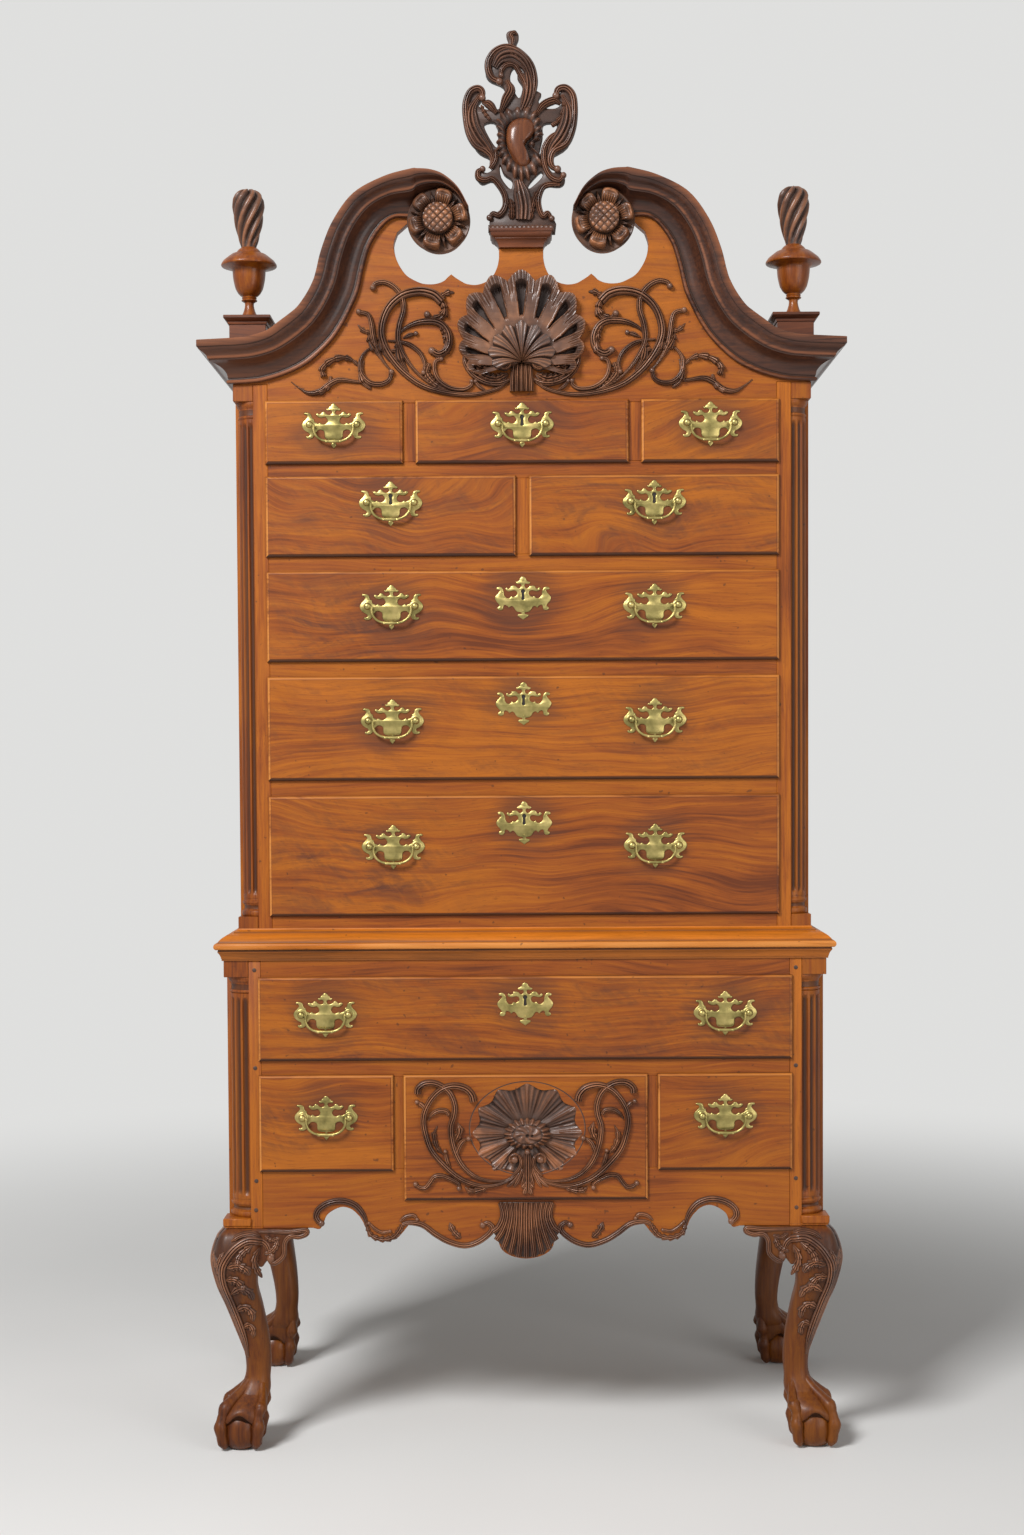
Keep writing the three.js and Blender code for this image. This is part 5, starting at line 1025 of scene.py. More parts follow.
SIDE_EDGE = [(0.14, 0), (0.18, 0.42), (0.22, 0.7), (0.28, 0.95), (0.34, 1), (0.39, 0.72), (0.44, 0.3),
             (0.5, 0.04), (0.56, 0.3), (0.61, 0.72), (0.66, 1), (0.72, 0.95), (0.78, 0.7), (0.82, 0.42),
             (0.86, 0)]
PENDANT_TOP = 424.0
PENDANT = [(45, PENDANT_TOP), (47.7, 418.5), (45.5, 412), (44.3, 400), (45.3, 390), (50, 383), (56, 376.5),
           (55.5, 371), (51.5, 366.5), (52.5, 361), (48.5, 356), (43.5, 352), (41, 345), (35, 342),
           (30, 335.5), (23, 336), (18, 331), (11, 332), (6, 329), (0, 329.3)]
# how far from the middle each flute of the pendant is half way down and at its bend, and where it ends
PENDANT_FLUTES = [(0, 0, (0, 329)), (8.7, 10, (13.5, 330.5)), (17.4, 20, (27, 335.5)),
                  (26, 29.5, (39.5, 344.5)), (34.5, 39, (51, 359)), (42, 46, (56.5, 374))]


def back_boards(b, half, z0, z1, heights):
    """Boards of unlike heights that close the back of a case, one above the other."""
    z, k = z0, 0
    while z < z1 - 1:
        top = min(z + heights[k % len(heights)], z1)
        if z1 - top < 60:
            top = z1
        board(b, (-half, half), (BACK_INSIDE, DEPTH), (z, top if top == z1 else top - 1.2), 3, 1.0)
        z = top
        k += 1


def runner(b, side, edge, outer, level, y):
    """The ledge a drawer slides on, with the guide beside it."""
    board(b, (side * (edge - 25), side * outer), y, (level - 18, level), 3)
    board(b, (side * edge, side * outer), y, (level, level + 20), 3)


def lower_case():
    b = Build()
    opening, muntin, deep_rail = LOWER_OPEN - 0.3, 203.5, 482
    half = [(u * opening, APRON_EDGE + v * 55) for u, v in corners(APRON, 3, (6, 15, 25, 30, 33, 34))]
    outline = symmetric(half + [(opening, deep_rail), (muntin, deep_rail), (muntin, 432)])
    plate(b, outline, [(0.8, 0), (0, 0.8), (0, 21.2), (0.8, 22)])
    board(b, (-opening, opening), (0, RAIL), (806, LOWER_TOP))
    board(b, (-opening, opening), (0, RAIL), (639, 671))
    board(b, (-opening, opening), (RAIL, BACK_INSIDE), (836, LOWER_TOP), 2)
    edge = [(62.3 + u * 420.4, APRON_EDGE + v * 30) for u, v in corners(SIDE_EDGE, 4, (7,))]
    outline = [(62.3, LOWER_TOP), (62.3, APRON_EDGE)] + edge + [(482.7, APRON_EDGE), (482.7, LOWER_TOP)]
    for side in (-1, 1):
        board(b, (side * muntin, side * 228), (0, RAIL), (deep_rail, 639), 1)
        board(b, (side * muntin, side * 228), (22, RAIL), (414, deep_rail), 1)
        board(b, (side * 207.8, side * 223.8), (54, 535), (414, 657), 2)
        steps = [(0.6, side * 491), (0, side * 491.6), (0, side * 510.2), (0.8, side * LOWER_HALF)]
        plate(b, outline, steps, slot=4, plane="yz")
        for level, front in ((671, RAIL), (deep_rail, 22)):
            runner(b, side, LOWER_OPEN, 492, level, (62.5, 482.5))
            board(b, (side * (LOWER_OPEN - 25), side * opening), (front - 1, 534), (level - 18, level), 3)
        board(b, (side * 215.8, side * 253), (20, 534), (464, deep_rail), 3)
        board(b, (side * 178.5, side * 215.8), (20, 534), (414, 432), 3)
    back_boards(b, opening, 414, LOWER_TOP, (150, 138))
    apron = wood("apron_wood", "x", 21, figure=0.5, light=scaled(GOLD, 0.86), lines=0.4)
    uprights = wood("muntin_wood", "z", 22, light=scaled(GOLD, 0.8))
    sides = wood("lower_side_wood", "y", 23, figure=0.7, crotch=0.4)
    woods = [apron, uprights, SECONDARY_X, SECONDARY_X2, sides]
    b.piece("lower_case_boards", "case", woods, "lower_case", "walnut")
    # pendant shell, whose flutes fall from the top and curve out to the rim, and the carved rims of the apron
    c = Build()
    steps = [(1.6, -2.6), (0.5, -2.1), (0, -1.2), (0, 2.5)]
    plate(c, PENDANT + [(-x, z) for x, z in PENDANT[-2::-1]], steps, shading_grime_and_wear=0.8)
    for k, (middle, low, tip) in enumerate(PENDANT_FLUTES):
        for sx in (-1, 1) if k else (1,):
            flute = [(sx * k * 8.9, PENDANT_TOP - 0.5), (sx * middle * 0.93, 402), (sx * low, 360 + 4.6 * k),
                     (sx * tip[0], tip[1])]
            strip(c, flute, 11.5, 7.5, -1.8, (0.72, 0.85), ease=0.5)
    for sx in (-1, 1):
        carve(c, APRON_RIMS, 0.5, 1.2, 1.3, -sx)
    c.piece("apron_carving", "case", [CARVED], None, "dark_walnut", 55)
    # wooden pegs that pin the rails to the posts
    p = Build()
    for sx in (-1, 1):
        for x, z in ((459, 462), (460, 412), (459, 822), (459, 655)):
            knob(p, sx * x, z, 0, [(0, -0.3), (3.6, -0.2), (3.6, 0.5), (3.0, 0.8), (0, 0.9)], 9, shading_grime_and_wear=0.7)
    p.piece("rail_pegs", "case", [CARVED], None, "dark_walnut")


# Upper case
def upper_case():
    b = Build()
    front, rail_back, inner_back, notch = UPPER_FRONT, UPPER_FRONT + RAIL, 535, 454
    levels = [(UPPER_BOTTOM, 915), (1112, 1146), (1314, 1347), (1492, 1524), (1652, 1680)]
    for z in levels:
        board(b, (-UPPER_OPEN, UPPER_OPEN), (front, rail_back), z)
    board(b, (-UPPER_HALF, UPPER_HALF), (rail_back, BACK_INSIDE), (UPPER_BOTTOM, UPPER_BOTTOM + 14), 2)
    board(b, (-UPPER_HALF, UPPER_HALF), (front + 22.3, BACK_INSIDE), (1863, CORNICE_TOP), 2)
    back_boards(b, UPPER_HALF, UPPER_BOTTOM, CORNICE_TOP, (212, 188, 231, 196))
    for side in (-1, 1):
        board(b, (side * UPPER_OPEN, side * notch), (front, rail_back), (UPPER_BOTTOM, CORNICE_BOTTOM), 1)
        board(b, (side * notch, side * UPPER_HALF), (57, rail_back), (UPPER_BOTTOM, CORNICE_BOTTOM), 1)
        sides = (side * 468, side * UPPER_HALF)
        board(b, sides, (rail_back, DEPTH - 12.2), (UPPER_BOTTOM + 14, 1863), 4)
        board(b, sides, (front + 22.3, rail_back), (CORNICE_BOTTOM + 0.3, 1863), 4)
        for _, level in levels:
            runner(b, side, UPPER_OPEN, 470, level, (rail_back - 2, inner_back))
        board(b, (side * 176, side * 205), (front, rail_back), (1680, 1778.7), 1)
        board(b, (side * 182.5, side * 198.5), (rail_back - 2, inner_back), (1662, 1865), 2)
        board(b, (side * 151, side * 230), (rail_back - 2, inner_back), (1662, 1680), 3)
    board(b, (-15, 15), (front, rail_back), (1524, 1652), 1)
    board(b, (-8, 8), (rail_back - 2, inner_back), (1506, 1654), 2)
    board(b, (-40, 40), (rail_back - 2, inner_back), (1506, 1524), 3)
    rails = wood("rail_wood", "x", 31, figure=0.3, light=scaled(GOLD, 0.9), lines=0.4)
    stiles = wood("stile_wood", "z", 32, figure=0.25)
    sides = wood("upper_side_wood", "z", 33, figure=0.7, crotch=0.35)
    woods = [rails, stiles, SECONDARY_X, SECONDARY_X2, sides]
    b.piece("upper_case_boards", "case", woods, "upper_case", "walnut")


# Quarter columns: (share of the radius, height) up the base and up the capital
COLUMN_BASE = [(1.03, 0), (1.06, 1.5), (1.085, 4), (1.085, 7), (1.06, 9.6), (1.0, 11), (0.985, 11.4),
               (0.985, 12.6), (0.955, 13.4), (0.935, 15.5), (0.95, 18), (0.99, 19.6), (1.0, 20), (1.0, 21.2),
               (1.045, 22.2), (1.055, 24), (1.045, 26), (1.0, 27.2), (0.985, 27.6), (0.985, 29), (0.97, 31)]
COLUMN_CAP = [(0.97, 0), (0.985, 1.2), (1.0, 1.6), (1.03, 3), (1.03, 4.6), (1.0, 6), (0.965, 6.5),
              (0.955, 10), (0.965, 15.5), (0.98, 16), (0.98, 17.6), (1.0, 18.4), (1.04, 20.4), (1.085, 22.6),
              (1.1, 24), (1.1, 25), (1.12, 25.4), (1.12, 29)]
RING_COUNT, FLUTE_DEPTH = 61, 4.2


def quarter_ring(radius, flutes=0, depth=0.0):
    a = np.linspace(0, math.pi / 2, RING_COUNT)
    r = np.full(RING_COUNT, radius)
    if flutes:
        u = (a / (math.pi / 2) * flutes) % 1
        u[-1] = 0
        r = r - depth * np.sqrt(np.clip(1 - ((u - 0.5) / 0.36) ** 2, 0, 1))
    return np.stack([r * np.sin(a), -r * np.cos(a)], 1)


def column(name, corner_x, corner_y, notch, radius, spans, side, seed):
    """Quarter column in the notch of a corner post."""
    bottom, block_top, block_bottom, top = spans
    b = Build()

    def place(ring, z):
        pts = [(0.3, -0.3)] + [tuple(p) for p in ring]
        return [(side * (corner_x + max(u, 0.3)), corner_y + min(v, -0.3), z) for u, v in pts]

    for z in ((bottom, block_top), (block_bottom, top)):
        x = (side * (corner_x + 0.3), side * (corner_x + notch))
        board(b, x, (corner_y - notch, corner_y - 0.3), z, 0, 0.8)
    z0, z1 = block_top + 31, block_bottom - 29
    for profile, foot in ((COLUMN_BASE, block_top), (COLUMN_CAP, z1)):
        rings = [place(quarter_ring(min(radius * r, notch - 0.2)), foot + h) for r, h in profile]
        darkness = [0.75 if r < 0.975 and 5 < h < 22 else 0.0 for r, h in profile]
        sweep(b, rings, shading_grime_and_wear=np.repeat(darkness, RING_COUNT + 1))
    ends = [(0, 0), (6, 0), (9, 0.45), (11.5, 0.75), (14, 0.93), (17, 1)]
    rings, darkness = [], []
    for z, k in [(z0 + h, k) for h, k in ends] + [(z1 - h, k) for h, k in ends[::-1]]:
        ring = quarter_ring(radius, 4, FLUTE_DEPTH * k)
        rings.append(place(ring, z))
        cut = (radius - np.hypot(ring[:, 0], ring[:, 1])) / FLUTE_DEPTH
        darkness.append(np.concatenate([[0], np.clip(cut, 0, 1) * 0.95]))
    sweep(b, rings, shading_grime_and_wear=np.concatenate(darkness))
    own = wood(f"{name}_wood", "z", seed, figure=0.3, light=scaled(GOLD, 0.78), mid=scaled(ORANGE, 0.9))
    b.piece(name + "_turned", "case", [own], name, "walnut", 30)


def columns():
    for side, word in ((-1, "left"), (1, "right")):
        column(f"lower_column_{word}", 469, 42, 42, 36, (384.3, 398, 810, LOWER_TOP), side, 40 + side)
        column(f"upper_column_{word}", 454, 57, 34, 29, (UPPER_BOTTOM, 911, 1783, CORNICE_BOTTOM), side,
               44 + side)


# Waist moulding: (distance out, height) from its foot up over its top
WAIST = [(1.2, 838), (2.8, 838.2), (2.8, 841), (3.4, 841.6), (4.0, 844.4), (5.2, 847.6), (6.9, 850.6),
         (8.8, 852.6), (8.8, 855.0), (8.2, 855.4), (8.2, 857.0), (11.2, 857.2), (13.4, 858.4), (14.7, 860.6),
         (15.0, 863), (14.6, 865.4), (13.2, 867.4), (11.0, 868.6), (9.0, 868.8), (8.6, 869.8), (6.6, 872.6),
         (3.6, 875.6), (-0.4, 878.4), (-5, 880.8), (-10, 882.6), (-14.6, 883.6), (-15.6, 883.8),
         (-15.8, 885.6), (-17.4, 886.6), (-20.2, 887.4), (-22.0, 889), (-22.7, 891)]


def waist_shading_and_wear(z):
    """Painted shadow in the undercut below the moulding's nose and painted shade over the cove beneath it,
    darker quirks, and wear on its half round.
    """
    if 854.5 < z < 857.1:
        return 0.95
    if 868.7 <= z < 870 or 883.7 < z < 885.7 or z < 841.2:
        return 0.6
    if 858 < z < 868:
        return -0.9
    return 0.42 if z < 857 else 0.0


def waist():
    b = Build()
    profile = [(0.3, 838)] + WAIST + [(-22.7, UPPER_BOTTOM), (0.3, UPPER_BOTTOM)]
    rings = []
    for s, at_back in ((-1, True), (-1, False), (1, False), (1, True)):
        rings.append([(s * (LOWER_HALF + p), DEPTH if at_back else -p, z) for p, z in profile])
    n = len(profile)
    faces = quads(4, n, wrap=True)
    b.add(rings, faces, 0, np.tile([waist_shading_and_wear(z) for _, z in profile], 4))
    fix_normals(b, 4 * n, len(faces))
    for s in (-1, 1):
        flat = [[Vector((p, z, 0)) for p, z in profile]]
        end = [(s * LOWER_HALF + s * p, DEPTH, z) for p, z in profile]
        b.add(end, [tuple(t)[::s] for t in tessellate_polygon(flat)])
    # the moulding's wood is made much brighter than the case's: painted light for its upward-facing slope
    own = wood("waist_wood_painted_light", "x", 51, figure=0.25, light=scaled(GOLD, 1.5), mid=scaled(GOLD, 1.15),
               dark=scaled(GOLD, 0.75), lines=0.7)
    b.piece("waist_moulding_run", "case", [own], "waist_moulding", "walnut", 26)


# Swan-neck cornice: shares of its half width and height along its inner and outer edge
INNER = [(0.86, 0.003), (0.808, 0.012), (0.739, 0.043), (0.677, 0.088), (0.628, 0.147), (0.585, 0.217),
         (0.555, 0.286), (0.532, 0.354), (0.506, 0.446), (0.488, 0.565), (0.465, 0.675), (0.427, 0.76),
         (0.39, 0.798)]
OUTER = [(0.887, 0.199), (0.837, 0.208), (0.784, 0.234), (0.747, 0.275), (0.712, 0.315), (0.688, 0.347),
         (0.66, 0.408), (0.64, 0.468), (0.63, 0.517), (0.613, 0.619), (0.577, 0.754), (0.514, 0.884),
         (0.422, 0.962)]
# where the edges wind round the rosette: degrees and shares of its radius
INNER_CURL = [(12, 0.87), (34, 0.86), (59, 0.86), (96, 0.86), (130, 0.86), (161, 0.86)]
OUTER_CURL = [(59.3, 1.71), (66.5, 1.62), (81, 1.47), (98, 1.31), (125, 1.1), (162, 1.01)]
ROSETTE = (CORNICE_HALF * 0.2545, CORNICE_BOTTOM + SCROLL * 0.772)
ROSETTE_R = 53.0
# the moulding's profile: share of the way from the inner to the outer edge, and share of its projection
CORNICE_PROFILE = [(0, 0), (0, 0.10), (0.008, 0.135), (0.03, 0.165), (0.055, 0.172), (0.085, 0.155),
                   (0.1, 0.125), (0.105, 0.11), (0.135, 0.105), (0.14, 0.13), (0.19, 0.135), (0.25, 0.155),
                   (0.31, 0.2), (0.37, 0.27), (0.42, 0.36), (0.465, 0.47), (0.5, 0.58), (0.515, 0.64),
                   (0.52, 0.66), (0.555, 0.665), (0.56, 0.69), (0.60, 0.7), (0.645, 0.73), (0.69, 0.79),
                   (0.73, 0.86), (0.77, 0.925), (0.8, 0.955), (0.82, 0.965), (0.825, 0.995), (0.84, 1),
                   (0.985, 1), (1.0, 0.985), (1, 0)]


def scroll_place(u, v):
    return u * CORNICE_HALF, CORNICE_BOTTOM + v * SCROLL


def round_rosette(degrees, reach):
    a = math.radians(degrees)
    return ROSETTE[0] + ROSETTE_R * reach * math.cos(a), ROSETTE[1] + ROSETTE_R * reach * math.sin(a)


def scroll_edge(shares, curl, steps=6):
    """One edge of the cornice, from the case up to where it winds round the rosette."""
    points = [scroll_place(*share) for share in shares] + [round_rosette(*turn) for turn in curl]
    return catmull(points, steps)


def cornice(side, word):
    share, out = np.array(CORNICE_PROFILE).T

    def between(low, high):
        return (share > low) & (share < high)

    d = np.where(between(0.09, 0.145), 0.9, 0) + np.where(between(0.515, 0.565), 0.8, 0)
    d = d + np.where(between(0.815, 0.83), 0.6, 0)
    worn = between(0.558, 0.62) | between(0.02, 0.09) | (share > 0.98)
    d = d - np.where(worn & (out > 0.14), 0.8, 0)
    out = 0.3 + 52.7 * out
    z = CORNICE_BOTTOM + 66 * share
    rings = [np.stack([UPPER_HALF + out, np.full(len(out), DEPTH), z], 1),
             np.stack([UPPER_HALF + out, UPPER_FRONT - out, z], 1)]
    for p, q in zip(scroll_edge(INNER, INNER_CURL), scroll_edge(OUTER, OUTER_CURL)):
        x, z = p[0] + (q[0] - p[0]) * share, p[1] + (q[1] - p[1]) * share
        rings.append(np.stack([x, UPPER_FRONT - out, z], 1))
    b = Build()
    sweep(b, rings, shading_grime_and_wear=np.tile(d, len(rings)))
    if side < 0:
        b = b.mirrored()
    rosette(b, side)
    own = f"cornice_{word}"
    b.piece(own + "_run", "case", [CORNICE_WOOD, CARVED_WARM], own, "dark_walnut", 28)


def rosette(b, side):
    """Six cupped petals with a leaf tip between, round a lattice eye."""
    cx, cz = side * ROSETTE[0], ROSETTE[1]
    back = UPPER_FRONT - 0.3
    size = ROSETTE_R * 0.965

    def flower(a, t):
        s = (a / (2 * math.pi) * 6 + 0.25) % 1 - 0.5
        near = np.abs(s)
        gap = bell(near, 0.39, 0.028 + 0.045 * smooth(t, 0.55, 1.0))
        petal = 1 - smooth(near, 0.37, 0.41)
        leaf = 0.05 + 0.13 * ((0.5 - near) / 0.1) ** 2
        bite = petal * 0.09 * (near / 0.39) ** 3 + (1 - petal) * leaf + 0.15 * gap
        r = size * t * (1 - bite * smooth(t, 0.55, 0.88))
        cup = np.sin(np.clip((t - 0.5) / 0.5, 0, 1) * math.pi * 0.9)
        fold = bell(t, 0.90, 0.05) * (0.4 + 0.6 * np.abs(np.sin(near * math.pi * 3.9)))
        hollow = bell(t, 0.80, 0.06) * bell(near, 0, 0.17)
        inner = 1 - smooth(t, 0.70, 0.84)
        dished = 13.5 * cup * (1 - 0.3 * (near / 0.39) ** 2) - 4.5 * hollow + 3.5 * fold
        tall = 26 + dished * petal + 4.5 * cup * (1 - petal)
        tall = tall - 9 * gap * smooth(t, 0.56, 0.72) + 0.9 * np.cos(s * 2 * math.pi * 9) * inner
        eye_k = 1 - smooth(t, 0.475, 0.505)
        u, v = t * np.cos(a), t * np.sin(a)
        lattice = np.abs(np.sin((u + v) * 12)) * np.abs(np.sin((u - v) * 12))
        eye = 35 + 11.2 * np.sqrt(np.clip(1 - (t / 0.52) ** 2, 0, 1)) + 3.2 * np.sqrt(lattice)
        h = np.where(t > 0.985, 18, tall * (1 - eye_k) + eye * eye_k)
        # Painted light on the flower: painted shade in the gaps and hollows, on the leaf tips between the
        # petals and in the ring round the eye; painted highlights on the folded petal rims; ribbing painted
        # light and dark by turns; the eye's lattice lighter on its bumps and painted shade between them.
        g = 1.1 * gap * smooth(t, 0.55, 0.7) + 0.15 - 0.45 * np.cos(s * 18 * math.pi) * inner + 0.35 * hollow
        g = g - 1.1 * fold * petal * (1 - gap) + 0.4 * (1 - petal) * (1 - smooth(t, 0.85, 0.95))
        g = g * (1 - eye_k) + eye_k * (0.85 - 1.5 * np.sqrt(lattice)) + 0.95 * bell(t, 0.51, 0.022)
        return np.stack([r * np.cos(a), -np.minimum(h, 49.6), r * np.sin(a)], 1), np.clip(g, -0.9, 0.95)

    ts = [1.0, 0.99]
    for first, last, count in ((0.98, 0.56, 29), (0.545, 0.44, 10), (0.42, 0.01, 22)):
        ts += list(np.linspace(first, last, count))
    angles = np.linspace(0, 2 * math.pi, 240, endpoint=False)
    polar(b, (cx + side * 1.2, back, cz + 1.4), angles, ts, flower, slot=1, wrap=True)
    disc = [(0.93, 0), (0.93, 12), (1.0, 15), (1.0, 18.5), (0.97, 20), (0.92, 19), (0, 19)]
    knob(b, cx, cz, back, [(ROSETTE_R * r, h) for r, h in disc], 64, 1, 0.5)


# Scroll board: the edge of its pierced place, in shares like the cornice
PIERCE = [(0.385, 0.73), (0.3965, 0.673), (0.39, 0.61), (0.375, 0.56), (0.356, 0.522), (0.333, 0.5),
          (0.308, 0.484), (0.281, 0.48), (0.258, 0.485), (0.24, 0.497), (0.23, 0.512), (0.218, 0.528),
          (0.206, 0.513), (0.19, 0.497), (0.175, 0.484), (0.16, 0.478), (0.145, 0.476), (0.131, 0.479),
          (0.115, 0.487), (0.1, 0.502), (0.088, 0.52), (0.08, 0.541), (0.073, 0.57), (0.069, 0.604)]


def scroll_board():
    b = Build()
    inner, outer = scroll_edge(INNER, INNER_CURL, 4), scroll_edge(OUTER, OUTER_CURL, 4)
    half = [(0, 1779), (429.7, 1779), (429.7, 1811.3), (UPPER_HALF, 1811.3), (UPPER_HALF, CORNICE_TOP)]
    half += [tuple(p + (q - p) * 0.92) for p, q in zip(inner[:52], outer)]
    half += [round_rosette(d, 0.88) for d in np.linspace(75, 368, 44)]
    half += [tuple(p) for p in corners([scroll_place(*share) for share in PIERCE], 3, (11,))]
    half += [(37.3, SEAT - 0.3), (0, SEAT - 0.3)]
    plate(b, symmetric(half), [(0.5, 23), (0, 23.5), (0, 44.5), (0.5, 45)])
    for side in (-1, 1):
        board(b, (side * 224, side * 264), (43, 85), (CORNICE_TOP + 0.3, 1987), 1)
    board(b, (-35, 35), (43, 85), (CORNICE_TOP + 0.3, SEAT - 0.3), 1)
    own = wood("tympanum_wood", "x", 61, figure=0.8, light=scaled(GOLD, 0.88), crotch=0.25)
    b.piece("scroll_board_wood", "case", [own, SECONDARY_Z], "scroll_board", "walnut", 30)


# Pediment shell and vines
PED_STEP = math.radians(19.3)


def pediment_shell():
    b = Build()
    back = UPPER_FRONT - 0.3
    hub = (0, back, 1843)
    spread = PED_STEP * 11

    def scallop(a, t):
        s = a / PED_STEP - np.round(a / PED_STEP)
        m = 2 * np.abs(s)
        d = np.degrees(np.abs(a))
        reach = np.interp(d, [0, 20, 40, 60, 78, 97, 106], [156, 155, 144, 126, 108, 92, 80])
        r = reach * (1 - 0.105 * m**1.7) * t
        side = smooth(np.abs(a), 0.42, 0.60)
        wide, narrow = 0.11 + 0.09 * np.clip((t - 0.5) / 0.34, 0, 1), 0.045 + 0.11 * smooth(t, 0.56, 0.80)
        w = (1 - side) * wide + side * narrow
        window = smooth(t, 0.49, 0.55) * (1 - smooth(t, 0.845, 0.885))
        slit = window * smooth(w - np.abs(s), -0.02, 0.02)
        lip = bell(np.abs(s) - w, 0.045, 0.028)
        fine = np.cos(2 * math.pi * s * 13)
        rim = smooth(t, 0.72, 0.86)
        h = 8 + 8.5 * np.sin(t * 2.35) - slit * 13 + 2.4 * window * lip
        h = h + 5.0 * smooth(t, 0.80, 0.90) * bell(s, 0, 0.22)
        h = h + 0.75 * fine * rim - 1.2 * rim * smooth(m, 0.55, 1.0) * (1 - smooth(t, 0.93, 1.0))
        h = np.where(t > 0.985, 6.0, h) * (1 if t < 0.9999 else 0)
        # Painted light on the shell: painted shade in the slits, painted highlights on their lips, on a band
        # where the slits begin and along the outer edge, the fine ribs painted light and dark by turns, and
        # the lobes' middles darker near the rim.
        g = slit * 1.3 + 0.08 - 0.42 * fine * rim - 0.75 * window * lip * (1 - slit)
        g = g + 0.45 * rim * smooth(0.3 - np.abs(s), 0, 0.15) * (1 - smooth(t, 0.93, 0.98))
        g = g - 0.45 * bell(t, 0.53, 0.05) - 0.5 * smooth(t, 0.95, 0.975)
        return np.stack([r * np.sin(a), -h, r * np.cos(a)], 1), np.clip(g, -0.7, 1)

    def palmette(a, t):
        step = math.radians(24)
        s = a / step - np.round(a / step)
        m = 2 * np.abs(s)
        reach = np.interp(np.degrees(np.abs(a)), [0, 25, 50, 75, 100, 112], [70, 67, 64, 60, 48, 40])
        r = reach * (1 - 0.11 * m**1.3) * t
        bow = a - 0.34 * np.sin(a) * (1 - t)
        fine = np.cos(2 * math.pi * s * 3)
        h = 18 + 5.5 * np.sin(t * 2.5) + 1.6 * (1 - m**2) - 3.2 * bell(np.abs(s), 0.5, 0.10) + 0.7 * fine
        h = np.where(t > 0.985, 13, h) * (1 if t < 0.9999 else 0.4)
        # Painted light on the palmette: painted shade between the ribs and at its rim, the fine ribs painted
        # light and dark by turns.
        g = 0.8 * bell(np.abs(s), 0.5, 0.12) + 0.15 - 0.45 * fine + 0.7 * (t > 0.98)
        return np.stack([r * np.sin(bow), -h, r * np.cos(bow)], 1), np.clip(g, -0.6, 1)

    ts = [1.0, 0.996, 0.985, 0.97, 0.95, 0.93, 0.91, 0.89, 0.87, 0.85, 0.83, 0.81, 0.79, 0.76, 0.73, 0.70,
          0.66, 0.62,
          0.58, 0.54, 0.50, 0.475, 0.455, 0.435, 0.41, 0.38, 0.32, 0.22, 0.08]
    polar(b, hub, np.linspace(-spread / 2, spread / 2, 11 * 34 + 1), ts, scallop)
    ts = [1.0, 0.998, 0.985, 0.95, 0.9, 0.83, 0.75, 0.66, 0.56, 0.46, 0.35, 0.24, 0.12, 0.03]
    polar(b, hub, np.linspace(-math.radians(108), math.radians(108), 9 * 26 + 1), ts, palmette)
    for sx in (-1, 1):
        carve(b, PEDIMENT_LEAVES, back, 1, 1, sx)
        volute(b, sx * 30, 1843, 12.5, back - 6, 15, sx)
        dome(b, sx * 30, 1843, 6.2, back - 6, 19)
    for k in range(-2, 3):
        rib = [(k * 6.2, 1846), (k * 7.2, 1832), (k * 7.8, 1814), (k * 8.2, 1796)]
        strip(b, rib, 8.6, 14 - abs(k), back, (0.7, 1.0))
    b.piece("pediment_shell_carving", "case", [CARVED_BROWN], "pediment_shell", "dark_walnut", 50)


